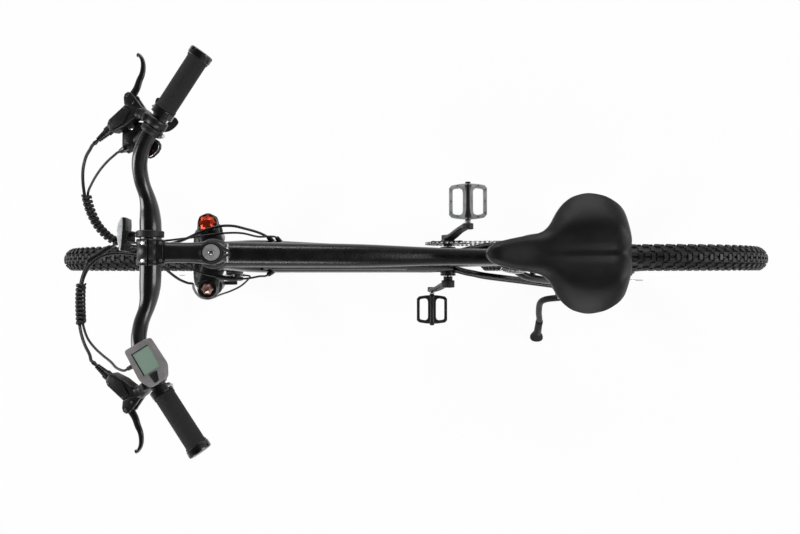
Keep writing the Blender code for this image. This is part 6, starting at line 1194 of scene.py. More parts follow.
def main_frame():
    top = loft([top_ring(i / 60) for i in range(61)])
    piece("top_tube", top, FRAME_PAINT, "main_frame", angle=60)
    cup = STEER @ Vector((0, 0, HEAD_BOTTOM - CUP_HEIGHT))
    head = [pipe(cup, STEER @ Vector((0, 0, HEAD_TOP)), 0.0248, 0.0190)]
    for low, high in ((HEAD_BOTTOM - CUP_HEIGHT, HEAD_BOTTOM + 0.006), (HEAD_TOP - 0.010, HEAD_TOP)):
        head.append(pipe(STEER @ Vector((0, 0, low)),
                         STEER @ Vector((0, 0, high)), 0.0262, 0.0190, soft=0.0015))
    piece("head_tube", joined(head), FRAME_PAINT, "main_frame", hide=False)
    piece("down_tube", down_tube_mesh(), FRAME_PAINT, "main_frame", hide=False, angle=50)
    seat = pipe(BRACKET + SEAT_UP * 0.010, SEAT_TOP, SEAT_TUBE_RADIUS, 0.0141)
    piece("seat_tube", seat, FRAME_PAINT, "main_frame", hide=False)
    across = Vector((0, 0.034, 0))
    shell = pipe_about(BRACKET, across, 0.0222, 0.0178)
    piece("bracket_shell", shell, FRAME_PAINT, "main_frame", hide=False)
    stays = []
    for side in (-1, 1):
        lower, upper = stay_paths(side)
        stays.append(sweep(smooth(lower, 6), 0.0095, 28))
        stays.append(sweep(smooth(upper, 6), 0.0080, 24))
    bridge = SEAT_TOP + Vector((-0.0429, 0, -0.0857))
    stays.append(rod_about(bridge, Vector((0, 0.046, 0)), 0.006, sides=24))
    piece("stays", joined(stays), FRAME_PAINT, "main_frame", hide=False)
    plates = []
    for side in (-1, 1):
        low, high = sorted((side * 0.0678, side * 0.0748))
        plates.append(upright(prism(dropout_outline(side < 0), low, high, soft=0.0008)))
    piece("dropouts", joined([*plates, stand_mount_mesh()]), FRAME_PAINT, "main_frame", hide=False)
    ports = []
    for end, root in CABLE_PORTS:
        way = (Vector(root) - Vector(end)).normalized()
        ports.append(rod(Vector(end) + way * 0.0003, root, 0.0045, sides=20, soft=0.0008))
    piece("cable_ports", joined(ports), MOULDED, "main_frame", hide=False)
    steer_origin = STEER @ Vector()
    welds = [bead(weld_loop(top_ring, (-0.03, 0.10), steer_origin, STEER_UP, 0.0250)),
             bead(weld_loop(lambda s, n: down_ring(1 - s, n),
                            (-0.02, 0.10), steer_origin, STEER_UP, 0.0250), lumps=36),
             bead(weld_loop(lambda s, n: top_ring(1 - s, n), (-0.03, 0.10),
                            BRACKET, SEAT_UP, SEAT_TUBE_RADIUS), lumps=24)]
    piece("weld_beads", joined(welds), PLAIN_PAINT, "main_frame", hide=False, angle=80)


main_frame()


def battery_mesh():
    """Pack with rounded top edges and a round heel about its pivot."""
    heel = 0.0225
    station = BATTERY_START + heel
    outline = [(station + heel * math.cos(math.radians(90 + 180 * i / 24)),
                BATTERY_FLOOR + heel * (1 + math.sin(math.radians(90 + 180 * i / 24)))) for i in range(25)]
    end = BATTERY_START + BATTERY_LENGTH
    outline += [(end - 0.004, BATTERY_FLOOR), (end, BATTERY_FLOOR + 0.006),
                (end - 0.006, BATTERY_FLOOR + 0.040), (end - 0.030, BATTERY_FLOOR + 0.050),
                (BATTERY_START + 0.050, BATTERY_FLOOR + 0.050)]
    pack = upright(prism(outline, -0.026, 0.026, soft=0.0045))
    ribs = [block((BATTERY_START + 0.10 + 0.012 * k, 0, BATTERY_FLOOR + 0.0498),
                  (0.005, 0.034, 0.0012), soft=0.0004) for k in range(6)]
    return moved(joined([pack, *ribs]), DOWN_FRAME)


piece("battery_case", battery_mesh(), BATTERY_SHELL, "battery_pack")


# Bearings

def headset_mesh():
    high = HEAD_TOP
    return moved(turned([(0.0146, high - 0.010), (0.0187, high - 0.010), (0.0187, high + 0.0003),
                         (0.0250, high + 0.0003), (0.0252, high + 0.0060), (0.0240, high + 0.0085),
                         (0.0205, high + CUP_HEIGHT - 0.0008), (0.0195, high + CUP_HEIGHT),
                         (0.0146, high + CUP_HEIGHT)], 64, closed=True), STEER)


def bracket_cups():
    cups = []
    for side in (-1, 1):
        profile = [(0.0106, 0.020), (0.0175, 0.020), (0.0175, 0.0345), (0.0215, 0.0345), (0.0215, 0.0395),
                   (0.0205, 0.0405), (0.0150, 0.0410), (0.0106, 0.0410)]
        cup = turned(profile, 48, closed=True)
        m = Matrix.Translation(BRACKET) @ Matrix.Rotation(math.radians(-90 * side), 4, "X")
        cups.append(moved(cup, m))
    return joined(cups)


piece("headset_cup", headset_mesh(), SATIN_ALLOY, "headset")
piece("bracket_bearings", bracket_cups(), SATIN_ALLOY, "bottom_bracket")


# Kickstand

def kickstand_meshes():
    """Leg bent forwards from its pivot, then a sleeve that flares into the foot."""
    knee = Vector((-0.3875, 0.121, 0.226))
    shin = Vector((-0.4070, 0.183, 0.112))
    start = STAND_PIVOT + STAND_AXIS * 0.0040 + STAND_DOWN * 0.005
    leg = sweep(smooth([start, start.lerp(knee, 0.55) + Vector((0.008, -0.004, 0.002)),
                        knee, knee.lerp(shin, 0.5) + Vector((0.003, 0, 0)), shin,
                        STAND_TIP + Vector((0, -0.016, 0.036))], 10), 0.0090, 28)
    lug = rod_about(STAND_PIVOT, STAND_AXIS * 0.006, 0.0135, sides=40, soft=0.0012)
    bolt = rod(STAND_PIVOT, STAND_PIVOT + STAND_AXIS * 0.010, 0.0070, sides=6, soft=0.0006)
    down = (STAND_TIP - shin).normalized()
    turn = frame_matrix(Vector(), Vector((1, 0, 0)), -down).to_3x3()
    stations = ((0.0, 0.0095, 0.0095), (0.003, 0.0113, 0.0113), (0.010, 0.0116, 0.0116),
                (0.012, 0.0108, 0.0108), (0.085, 0.0110, 0.0113), (0.096, 0.0118, 0.0116),
                (0.118, 0.0195, 0.0130), (0.136, 0.0224, 0.0148), (0.145, 0.0225, 0.0150))
    rings = []
    for i in range(49):
        share = 0.145 * i / 48
        half_x, half_y = eased(stations, share)
        rings.append([shin + down * share + turn @ Vector((x, y, 0))
                      for x, y in oval(36, half_x, half_y, 2.3)])
    foot = loft(rings)
    bmesh.ops.bisect_plane(foot, geom=foot.verts[:] + foot.edges[:] + foot.faces[:],
                           plane_co=(0, 0, 0.0002), plane_no=(0, 0, -1), clear_outer=True)
    bmesh.ops.holes_fill(foot, edges=foot.edges)
    return joined([leg, lug]), joined([bolt]), foot


pieces("kickstand", kickstand_meshes(), (
    ("stand_leg", STAND_PAINT), ("stand_bolt", STEEL), ("stand_foot_sleeve", STAND_RUBBER)))


# Axles and calipers

def rear_axle_meshes():
    half = 0.0675 + 0.007 + 0.0006
    metal = [rod((0, -half - 0.014, 0), (0, half + 0.014, 0), AXLE_RADIUS, sides=28, soft=0.0008)]
    for side in (-1, 1):
        metal.append(rod((0, side * half, 0), (0, side * (half + 0.002), 0), 0.0120, sides=36))
        metal.append(rod((0, side * (half + 0.002), 0),
                         (0, side * (half + 0.011), 0), 0.0098, sides=6, soft=0.0006))
    metal = moved(joined(metal), Matrix.Translation(REAR_AXLE))
    end, root = (Vector(p) for p in CABLE_PORTS[5])
    route = [(-0.5500, 0.0820, 0.3480), (-0.5495, 0.0960, 0.3475),
             (-0.5400, 0.1020, 0.3410), (-0.5200, 0.0980, 0.3320),
             (-0.5000, 0.0905, 0.3255), end + (end - root).normalized() * 0.005, end]
    return metal, sweep(smooth(route, 6), 0.0030, 16)


def front_axle_mesh():
    half = 0.0588
    parts = [rod((FORK_OFFSET, -half - 0.010, 0),
                 (FORK_OFFSET, half + 0.010, 0), AXLE_RADIUS, sides=28, soft=0.0008),
             rod((FORK_OFFSET, -half, 0), (FORK_OFFSET, -half - 0.007, 0), 0.0096, sides=6, soft=0.0005),
             rod((FORK_OFFSET, half, 0), (FORK_OFFSET, half + 0.007, 0), 0.0096, sides=40, soft=0.0010)]
    return moved(joined(parts), STEER)


def caliper_meshes(axle, angle, rotor_y, frame_turn):
    """Two-piece caliper astride its rotor, with bolts and a hose banjo."""
    out = Vector((math.cos(angle), 0, math.sin(angle)))
    side = Vector((out.z, 0, -out.x))
    mouth = axle + out * PAD_RADIUS
    turn = Matrix((side, Vector((0, 1, 0)), out)).transposed()
    halves = []
    for sign in (-1, 1):
        middle = mouth + out * 0.005 + Vector((0, sign * 0.0085, 0))
        halves.append(block(middle, (0.042, 0.0136, 0.032), turn, 0.0045, 3))
    roof = block(mouth + out * 0.0165, (0.026, 0.020, 0.008), turn, 0.002)
    pistons = [rod(mouth + Vector((0, near, 0)), mouth + Vector((0, far, 0)), 0.0120, sides=36, soft=0.0012)
               for near, far in ((0.0090, 0.0155), (-0.0090, -0.0168))]
    body = joined([*halves, roof, *pistons])
    bolts = [rod(mouth + out * 0.016, mouth + out * PORT_REACH, 0.0045, sides=24, soft=0.0006)]
    for u in (-0.0155, 0.0155):
        foot = mouth + out * 0.012 + side * u
        bolts.append(rod_about(foot, Vector((0, 0.0160, 0)), 0.0028, sides=16, soft=0.0005))
    pads = joined([block(mouth - out * 0.005 + Vector((0, s * 0.0022, 0)), (0.030, 0.0016, 0.020), turn)
                   for s in (-1, 1)])
    m = frame_turn @ Matrix.Translation((0, rotor_y, 0))
    return [moved(bm, m) for bm in (body, joined(bolts), pads)]


pieces("rear_axle", rear_axle_meshes(), (("rear_axle_nuts", STEEL), ("motor_lead", HOUSING)))
piece("front_axle_bolt", front_axle_mesh(), SATIN_ALLOY, "front_axle")
for word, axle, turn in (("rear", REAR_AXLE, Matrix.Identity(4)),
                         ("front", Vector((FORK_OFFSET, 0, 0)), STEER)):
    pieces(word + "_caliper", caliper_meshes(axle, CALIPER_ANGLE[word], ROTOR_Y[word], turn), (
        (word + "_caliper_shell", SATIN_ALLOY), (word + "_caliper_bolts", STEEL),
        (word + "_caliper_pads", DARK_STEEL)))


# Fork

CROWN_STATIONS = ((-0.0840, 0.0110), (-0.0755, 0.0195), (-0.0515, 0.0205), (-0.0180, 0.0240),
                  (0.0180, 0.0240), (0.0515, 0.0205), (0.0755, 0.0195), (0.0840, 0.0110))


def crown_mesh():
    middle = (CROWN_BOTTOM + CROWN_TOP) / 2
    rings = []
    for i in range(57):
        y = -0.0840 + 0.168 * i / 56
        half_x = eased(CROWN_STATIONS, y)[0]
        if abs(y) >= 0.080:
            half_x = 0.0205 * math.sqrt(max(0.0, 1 - ((abs(y) - LEG_SPREAD) / 0.0206) ** 2))
        x = LEG_OFFSET * min(1.0, abs(y) / 0.0515)
        half_z = (CROWN_TOP - CROWN_BOTTOM) / 2 - 0.004 * min(1.0, max(0.0, (abs(y) - 0.070) / 0.014))
        rings.append([Vector((x + u, y, middle + v)) for u, v in oval(40, max(half_x, 0.004), half_z, 4.0)])
    parts = [loft(rings), rod((0, 0, CROWN_TOP - 0.010),
                              (0, 0, HEAD_BOTTOM - CUP_HEIGHT - 0.0003), 0.0235, 0.0225, 48)]
    for side in (-1, 1):
        parts.append(rod((LEG_OFFSET, side * LEG_SPREAD, CROWN_TOP - 0.006),
                         (LEG_OFFSET, side * LEG_SPREAD, CROWN_TOP + 0.006), 0.0190, 0.0172, 48, 0.001))
    return moved(joined(parts), STEER)


def stanchion_mesh():
    parts = [rod((0, 0, CROWN_TOP - 0.005), (0, 0, STEM_TOP - 0.003), 0.0143, sides=40)]
    for side in (-1, 1):
        parts.append(rod((LEG_OFFSET, side * LEG_SPREAD, 0.190),
                         (LEG_OFFSET, side * LEG_SPREAD, CROWN_TOP), 0.0150, sides=48))
    return moved(joined(parts), STEER)


def fork_lower_meshes():
    x = LEG_OFFSET
    outline = [(x - 0.010, 0.050), (x + 0.010, 0.046), (FORK_OFFSET + 0.009, 0.016),
               (FORK_OFFSET + 0.0135, 0.009), (FORK_OFFSET + 0.015, 0.0),
               (FORK_OFFSET + 0.013, -0.008), (FORK_OFFSET + 0.008, -0.014), (FORK_OFFSET, -0.0165),
               (FORK_OFFSET - 0.006, -0.015), (x - 0.006, 0.002), (x - 0.013, 0.020)]
    metal = []
    seals = []
    for side in (-1, 1):
        leg = turned([(0.0153, LOWERS_TOP - 0.004), (0.0153, 0.100), (0.0, 0.099),
                      (0.0, -0.010), (0.0095, -0.010), (0.0105, -0.009), (0.0178, 0.046),
                      (0.0183, 0.240), (0.0190, LOWERS_TOP - 0.040), (0.0205, LOWERS_TOP - 0.032),
                      (0.0205, LOWERS_TOP - 0.005), (0.0195, LOWERS_TOP - 0.0035)], 56)
        metal.append(moved(leg, Matrix.Translation((x, side * LEG_SPREAD, 0))))
        seal = turned([(0.0152, LOWERS_TOP - 0.004), (0.0193, LOWERS_TOP - 0.004),
                       (0.0193, LOWERS_TOP - 0.001), (0.0168, LOWERS_TOP + 0.0015),
                       (0.0152, LOWERS_TOP + 0.0015)], 48, closed=True)
        seals.append(moved(seal, Matrix.Translation((x, side * LEG_SPREAD, 0))))
        hole = shifted(ring_outline(0.0064, 24), FORK_OFFSET, 0)
        low, high = sorted((side * 0.0503, side * 0.0585))
        metal.append(upright(prism(outline, low, high, [hole], 0.001)))
    half = ((x + 0.016, LEG_SPREAD, LOWERS_TOP - 0.032), (x + 0.0250, LEG_SPREAD - 0.003, 0.312),
            (x + 0.0285, LEG_SPREAD - 0.0100, 0.342), (x + 0.029, 0.034, 0.364))
    bow = [*(mirror_y(p) for p in half), Vector((x + 0.029, 0, 0.3715)),
           *(Vector(p) for p in reversed(half))]
    metal.append(sweep(smooth(bow, 8), 0.0078, 24, power=2.6))
    lug = block((-0.0080, 0.0603, 0.044), (0.050, 0.010, 0.030), soft=0.002)
    return [moved(bm, STEER) for bm in (joined([*metal, lug]), joined(seals))]


piece("fork_crown", crown_mesh(), CAST_ALLOY, "fork_upper", angle=50)
piece("stanchions", stanchion_mesh(), SHINY_PLASTIC, "fork_upper", hide=False)
pieces("fork_lowers", fork_lower_meshes(), (("fork_legs", PLAIN_PAINT), ("fork_seals", HOUSING)))


# Stem and handlebar

STEM_REACH = Vector((BAR_LOCAL.x, 0, BAR_LOCAL.z - STEM_MIDDLE)).normalized()
STEM_NORMAL = Vector((-STEM_REACH.z, 0, STEM_REACH.x))
STEM_TURN = Matrix((STEM_REACH, Vector((0, 1, 0)), STEM_NORMAL)).transposed()


def on_bar(along, across, up):
    """Place in the steering frame, from the middle of the handlebar clamp."""
    return BAR_LOCAL + STEM_REACH * along + Vector((0, across, 0)) + STEM_NORMAL * up


def half_shell(front):
    """Half of the bar clamp: a shell with a flange at the split."""
    profile = [(0.0163, -0.0205), (0.0200, -0.0205), (0.0208, -0.0195),
               (0.0208, -0.0110), (0.0196, -0.0095), (0.0196, 0.0095),
               (0.0208, 0.0110), (0.0208, 0.0195), (0.0200, 0.0205), (0.0163, 0.0205)]
    shell = y_axis(turned(profile, 64, closed=True))
    shell.transform(Matrix.Translation(BAR_LOCAL))
    keep = STEM_REACH if front else -STEM_REACH
    bmesh.ops.bisect_plane(shell, geom=shell.verts[:] + shell.edges[:] + shell.faces[:],
                           plane_co=BAR_LOCAL + keep * 0.0009, plane_no=-keep, clear_outer=True)
    bmesh.ops.holes_fill(shell, edges=shell.edges)
    return shell


def stem_meshes():
    stations = ((-0.0275, 0.0050, 0.0120), (-0.0190, 0.0135, 0.0170), (-0.0060, 0.0190, 0.0190),
                (0.0060, 0.0192, 0.0190), (0.0200, 0.0172, 0.0172), (0.0330, 0.0162, 0.0152),
                (0.0600, 0.0162, 0.0148), (0.0700, 0.0168, 0.0152), (0.0745, 0.0180, 0.0160))
    rings = []
    for i in range(61):
        along = stations[0][0] + (stations[-1][0] - stations[0][0]) * i / 60
        half_y, half_z = eased(stations, along)
        centre = Vector((0, 0, STEM_MIDDLE)) + STEM_REACH * along
        rings.append([centre + Vector((0, y, 0)) + STEM_NORMAL * z
                      for y, z in oval(48, half_y, half_z, 3.4)])
    bore = rod((0, 0, STEM_BOTTOM - 0.030), (0, 0, STEM_TOP + 0.020), 0.0147, sides=48)
    bar_hole = moved(y_axis(rod((0, 0, -0.06), (0, 0, 0.06), 0.0163, sides=64)),
                     Matrix.Translation(BAR_LOCAL))
    split = block((-0.026, 0, STEM_MIDDLE), (0.030, 0.0020, 0.090))
    neck = carved(loft(rings), [bore, bar_hole, split])
    collar = pipe((0, 0, STEM_TOP - 0.040), (0, 0, STEM_TOP), 0.0192, 0.0147, soft=0.0014)
    spacer = pipe((0, 0, STEM_BOTTOM - 0.0097), (0, 0, STEM_BOTTOM), 0.0182, 0.0147, soft=0.0008)
    points = [(-0.0240, -0.0172), (-0.0145, -0.0195), (-0.0120, -0.0195), (-0.0120, 0.0195),
              (-0.0145, 0.0195), (-0.0240, 0.0172), (-0.0210, 0.0110), (-0.0210, -0.0110)]
    plate = prism(points, 0.0150, 0.0185, soft=0.0006)
    plate.transform(Matrix.Translation(BAR_LOCAL) @ STEM_TURN.to_4x4())
    bolts = [rod(on_bar(-0.0180, y, 0.0180), on_bar(-0.0180, y, 0.0200), 0.0026, sides=20, soft=0.0005)
             for y in (-0.0140, 0.0135)]
    for z in (-0.0095, 0.0095):
        foot = Vector((0, 0, STEM_MIDDLE + z)) - STEM_REACH * 0.0225
        bolts.append(rod_about(foot, Vector((0, 0.0150, 0)), 0.0031, sides=20, soft=0.0006))
    body = joined([neck, collar, half_shell(False), plate])
    return [moved(bm, STEER) for bm in (body, spacer, joined(bolts))]


def faceplate_meshes():
    bosses = []
    bolts = []
    for y in (-0.0140, 0.0135):
        for up in (-1, 1):
            bosses.append(rod(on_bar(0.0012, y, up * 0.0175),
                              on_bar(0.0062, y, up * 0.0175), 0.0052, sides=24, soft=0.0008))
            foot = on_bar(0.0040, y, up * 0.0165)
            way = STEM_REACH * 0.62 + STEM_NORMAL * (0.78 * up)
            bolts.append(rod(foot, foot + way * 0.0068, 0.0036, sides=24, soft=0.0009))
            bolts.append(rod(foot + way * 0.0066, foot + way * 0.0070, 0.0016, sides=6))
    return [moved(bm, STEER) for bm in (joined([half_shell(True), *bosses]), joined(bolts))]


def top_cap_meshes():
    base = STEM_TOP + 0.0003
    rim = turned([(0.0130, base), (0.0165, base), (0.0165, base + 0.0036), (0.0155, base + 0.0048),
                  (0.0136, base + 0.0050), (0.0130, base + 0.0040)], 64, closed=True)
    disc = turned([(0.0, base), (0.0130, base), (0.0130, base + 0.0044), (0.0124, base + 0.0050),
                   (0.0056, base + 0.0048), (0.0048, base + 0.0034), (0.0, base + 0.0034)], 64)
    bolt = turned([(0.0, base + 0.0030), (0.0042, base + 0.0030),
                   (0.0042, base + 0.0050), (0.0035, base + 0.0056), (0.0022, base + 0.0056),
                   (0.0022, base + 0.0036), (0.0, base + 0.0036)], 32)
    return [moved(bm, STEER) for bm in (rim, disc, bolt)]


pieces("stem", stem_meshes(), (
    ("stem_body", SATIN_ALLOY, 45), ("stem_spacer", GLOSS_ALLOY), ("stem_bolts", STEEL)))
pieces("stem_faceplate", faceplate_meshes(), (
    ("faceplate_shell", SATIN_ALLOY, 45), ("faceplate_bolts", STEEL)))
pieces("top_cap", top_cap_meshes(), (
    ("top_cap_rim", SATIN_ALLOY), ("top_cap_disc", CAP_GREY), ("top_cap_bolt", STEEL)))


BAR_OFFSETS = ((0.000, 0.000, 0.000), (0.001, 0.056, 0.000), (0.003, 0.084, 0.004),
               (0.0075, 0.112, 0.014), (0.005, 0.142, 0.024), (-0.008, 0.172, 0.029),
               (-0.0318, 0.206, 0.0315), (-0.0657, 0.2520, 0.0358), (-0.0990, 0.2970, 0.0400))


def handlebar_mesh():
    half = [Vector(p) for p in BAR_OFFSETS]
    path = smooth([BAR_CENTRE + p for p in (*(mirror_y(p) for p in half[:0:-1]), *half)], 10)
    radii = []
    for p in path:
        t = min(1.0, max(0.0, (abs(p.y) - 0.045) / 0.055))
        radii.append(BAR_CLAMP + (BAR_RADIUS - BAR_CLAMP) * (3 * t * t - 2 * t ** 3))
    return sweep(path, radii, 56)


piece("riser_bar", handlebar_mesh(), GLOSS_ALLOY, "handlebar", angle=60)

GRIP_OUTER = Vector(BAR_OFFSETS[-1])
GRIP_DIRECTION = (GRIP_OUTER - Vector(BAR_OFFSETS[-3])).normalized()
GRIP_LENGTH = 0.116
GRIP_INNER = GRIP_OUTER - GRIP_DIRECTION * (GRIP_LENGTH - 0.004)
GRIP_BORE = 0.0116
GROOVES_FROM = 0.0175
GROOVES_TO = 0.0980
GROOVE_STEPS = 42
CLAMP_BORE = 0.0117
CLAMP_RADIUS = 0.0157
BRAKE_CLAMP_RADIUS = 0.0158


def along_grip(side):
    return aimed(BAR_CENTRE + sided(side, GRIP_INNER), sided(side, GRIP_DIRECTION))


def notched_ring(low, high, radius, bore, notches, soft=0.0008):
    """Lock ring with shallow notches cut across its rim."""
    ring = turned([(bore, low), (radius - 0.0008, low), (radius, low + 0.0008), (radius, high - soft),
                   (radius - soft * 0.3, high - soft * 0.3), (radius - soft, high), (bore, high)],
                  72, closed=True)
    cuts = [block((*polar(radius, a), high), (0.0026, 0.0042, (high - low) * 0.9),
                  Matrix.Rotation(a, 3, "Z")) for a in (TAU * (k + 0.25) / notches for k in range(notches))]
    return carved(ring, cuts)


def grip_meshes():
    """Rubber sleeve with fine grooves, between two clamp rings, and its end plug."""
    profile = [(GRIP_BORE, 0.0115), (0.0148, 0.0115), (0.0155, 0.0122), (0.0155, 0.0150), (0.0147, 0.0165)]
    for i in range(GROOVE_STEPS):
        h = GROOVES_FROM + (GROOVES_TO - GROOVES_FROM) * i / (GROOVE_STEPS - 1)
        profile.append((0.0149 if i % 2 else 0.01465, h))
    profile += [(0.0148, 0.0995), (0.0160, 0.1010), (0.0160, 0.1035), (GRIP_BORE, 0.1035)]
    sleeve = turned(profile, 64, closed=True)
    rings = [notched_ring(0.0002, 0.0112, 0.0162, GRIP_BORE, 4),
             notched_ring(0.1038, 0.1158, 0.0173, GRIP_BORE, 6, 0.0030)]
    plug = turned([(0.0, 0.1130), (0.0135, 0.1130), (0.0140, 0.1150), (0.0120, 0.1160), (0.0, 0.1163)], 48)
    bolt = rod((0.0140, -0.0075, 0.0056), (0.0140, 0.0075, 0.0056), 0.0026, sides=16, soft=0.0004)
    return sleeve, joined([*rings, plug]), bolt


for side, word in SIDES:
    pieces("grip_" + word, [moved(bm, along_grip(side)) for bm in grip_meshes()], (
        ("grip_sleeve_" + word, GRIP_RUBBER, 60), ("grip_rings_" + word, SHINY_PLASTIC),
        ("grip_bolt_" + word, STEEL)))


# Brake levers

LEVER_LEVEL = 0.9960
LEVER_THICKNESS = 0.0068
LEVER_PIVOT = Vector((0.4015, 0.2470, LEVER_LEVEL))
LEVER_LINE = ((0.4015, 0.2470), (0.3955, 0.2560), (0.3918, 0.2630), (0.3880, 0.2740), (0.3840, 0.2830),
              (0.3822, 0.2920), (0.3822, 0.3010), (0.3840, 0.3080), (0.3875, 0.3130), (0.3915, 0.3150))
LEVER_HALF = (0.0062, 0.0054, 0.0050, 0.0046, 0.0040, 0.0036, 0.0032, 0.0029, 0.0030, 0.0034)
HOSE_EXIT = Vector((0.4640, 0.1755, 0.9930))
CYLINDER_TAIL = Vector((0.4380, 0.1950, LEVER_LEVEL))
RESERVOIR_BOTTOM = 0.9868
RESERVOIR_TOP = 1.0056
LID_BOTTOM = 1.0050
LID_TOP = 1.0074
BOOT_RADIUS = 0.0056
BOOT_TAPER = 0.00036
BOOT_RIBS = 5
BOOT_PITCH = 0.0038
BOOT_GROOVE = 0.0018
RESERVOIR = ((0.4338, 0.2100), (0.4060, 0.2345), (0.3960, 0.2400),
             (0.3880, 0.2330), (0.3790, 0.2245), (0.3800, 0.2170), (0.3934, 0.2097),
             (0.4070, 0.1996), (0.4252, 0.1911), (0.4321, 0.1920), (0.4365, 0.2030))
LID = ((0.4310, 0.2095), (0.4075, 0.2300), (0.3975, 0.2225),
       (0.4080, 0.2040), (0.4250, 0.1945), (0.4305, 0.1960))
EAR = ((0.4075, 0.2330), (0.4085, 0.2440), (0.4068, 0.2500), (0.4015, 0.2532),
       (0.3960, 0.2515), (0.3900, 0.2440), (0.3800, 0.2290), (0.3850, 0.2250), (0.3960, 0.2260))
SCREWS = ((0.4057, 0.2275), (0.3913, 0.2345), (0.4292, 0.2065))


def blade(points, halves, thickness, sides=28, power=2.8):
    """Flat bar along a level line, its half width given at each point."""
    path = smooth([(x, y, 0) for x, y in points], 6)
    count = len(path)
    rings = []
    for i, p in enumerate(path):
        half = curve_at([(h, 0) for h in halves], i / (count - 1))[0]
        ahead = (path[min(i + 1, count - 1)] - path[max(i - 1, 0)]).normalized()
        across = Vector((-ahead.y, ahead.x, 0))
        slim = 1.0 if 0 < i < count - 1 else 0.55
        rings.append([p + across * (u * slim) + Vector((0, 0, v * slim))
                      for u, v in oval(sides, half, thickness / 2, power)])
    return loft(rings)


def mirrored(bm, side):
    if side < 0:
        bm.transform(Matrix.Diagonal((1, -1, 1, 1)))
        bmesh.ops.reverse_faces(bm, faces=bm.faces)
    return bm


def brake_body_meshes(side):
    """Reservoir with its lid, the lever's clevis, the arm to the bar clamp and the ribbed hose boot."""
    clamp_centre = BAR_CENTRE + GRIP_INNER - GRIP_DIRECTION * 0.0125
    shapes = [prism(RESERVOIR, RESERVOIR_BOTTOM, RESERVOIR_TOP, soft=0.0030),
              prism(EAR, 0.9998, 1.0062, soft=0.0012), prism(EAR, 0.9858, 0.9922, soft=0.0012)]
    arm = [(0.3860, 0.2210, 0.9970), (0.3760, 0.2165, 1.0000),
           (0.3640, 0.2090, 1.0100), (0.3520, 0.2020, 1.0200)]
    path = smooth(arm, 6)
    radii = [0.0110 - 0.0045 * i / (len(path) - 1) for i in range(len(path))]
    shapes.append(sweep(path, radii, 24, 0.9, 3.0))
    shapes.append(pipe_about(clamp_centre, GRIP_DIRECTION * 0.0065,
                             BRAKE_CLAMP_RADIUS, CLAMP_BORE, soft=0.0014))
    lug = clamp_centre + Vector((0.0120, 0.0060, 0.0080))
    shapes.append(rod_about(lug, GRIP_DIRECTION * 0.0062, 0.0058, sides=24, soft=0.001))
    lid = prism(LID, LID_BOTTOM, LID_TOP, soft=0.0008)
    screws = [rod((x, y, LID_BOTTOM), (x, y, 1.0080), 0.0021, sides=20, soft=0.0004) for x, y in SCREWS]
    screws.append(rod((*LEVER_PIVOT.xy, 0.9845), (*LEVER_PIVOT.xy, 1.0072), 0.0030, sides=24, soft=0.0005))
    screws.append(rod_about(lug, GRIP_DIRECTION * 0.0068, 0.0028, sides=20, soft=0.0005))
    reach = (HOSE_EXIT - CYLINDER_TAIL).length
    ribs = [(0.0, -0.004), (0.0072, -0.004), (0.0072, 0.0035), (BOOT_RADIUS, 0.0045)]
    for k in range(BOOT_RIBS):
        h = 0.0065 + BOOT_PITCH * k
        r = BOOT_RADIUS - BOOT_TAPER * k
        ribs += [(r, h), (r, h + 0.0018), (r - BOOT_GROOVE, h + 0.0022), (r - BOOT_GROOVE, h + 0.0034)]
    ribs += [(0.0034, reach), (0.0, reach)]
    boot = moved(turned(ribs, 32), aimed(CYLINDER_TAIL, HOSE_EXIT - CYLINDER_TAIL))
    return [mirrored(bm, side) for bm in (joined(shapes), lid, joined(screws), boot)]


def lever_mesh(side):
    bar = blade(LEVER_LINE, LEVER_HALF, LEVER_THICKNESS)
    bar.transform(Matrix.Translation((0, 0, LEVER_PIVOT.z)))
    hub = pipe_about(LEVER_PIVOT, Vector((0, 0, LEVER_THICKNESS / 2)),
                     0.0070, 0.0031, sides=32, soft=0.0006)
    adjuster = rod((0.3975, 0.2420, LEVER_LEVEL),
                   (0.3890, 0.2470, LEVER_LEVEL), 0.0030, sides=20, soft=0.0006)
    return mirrored(joined([bar, hub, adjuster]), side)


for side, word in SIDES:
    pieces("brake_body_" + word, brake_body_meshes(side), (
        ("master_cylinder_" + word, SATIN_ALLOY, 45), ("reservoir_lid_" + word, CAST_ALLOY),
        ("brake_screws_" + word, DARK_STEEL), ("hose_boot_" + word, HOUSING)))
    piece("lever_blade_" + word, lever_mesh(side), GLOSS_ALLOY, "brake_lever_" + word, angle=50)


# Gear shifter, on the right

SHIFTER_PIVOT = Vector((0.3920, -0.1880, 0.9750))
CABLE_LEVEL = 0.9840
SHIFTER_ROOT = Vector((0.4040, -0.1740, CABLE_LEVEL))
SHIFTER_END = Vector((0.4270, -0.1640, CABLE_LEVEL))
POD_BOTTOM = 0.9760
POD_TOP = 0.9925
GAUGE_BOTTOM = 1.0045
GAUGE_TOP = 1.0120
THUMB_LEVEL = 0.9728
FINGER_LEVEL = 0.9685
PADDLE_THICKNESS = 0.0026
PAD_REACH = 0.020
BARREL_LENGTH = 0.0240
BARREL_RIBS = 6
BARREL_PITCH = 0.0021
BARREL_RADIUS = 0.0090
SHIFTER_CLAMP = BAR_CENTRE + mirror_y(GRIP_INNER - GRIP_DIRECTION * 0.0262)
POD = ((0.4149, -0.2048), (0.4026, -0.2110), (0.3850, -0.2085), (0.3810, -0.2040),
       (0.3900, -0.1850), (0.3970, -0.1680), (0.4077, -0.1640), (0.4195, -0.1721), (0.4194, -0.1945))
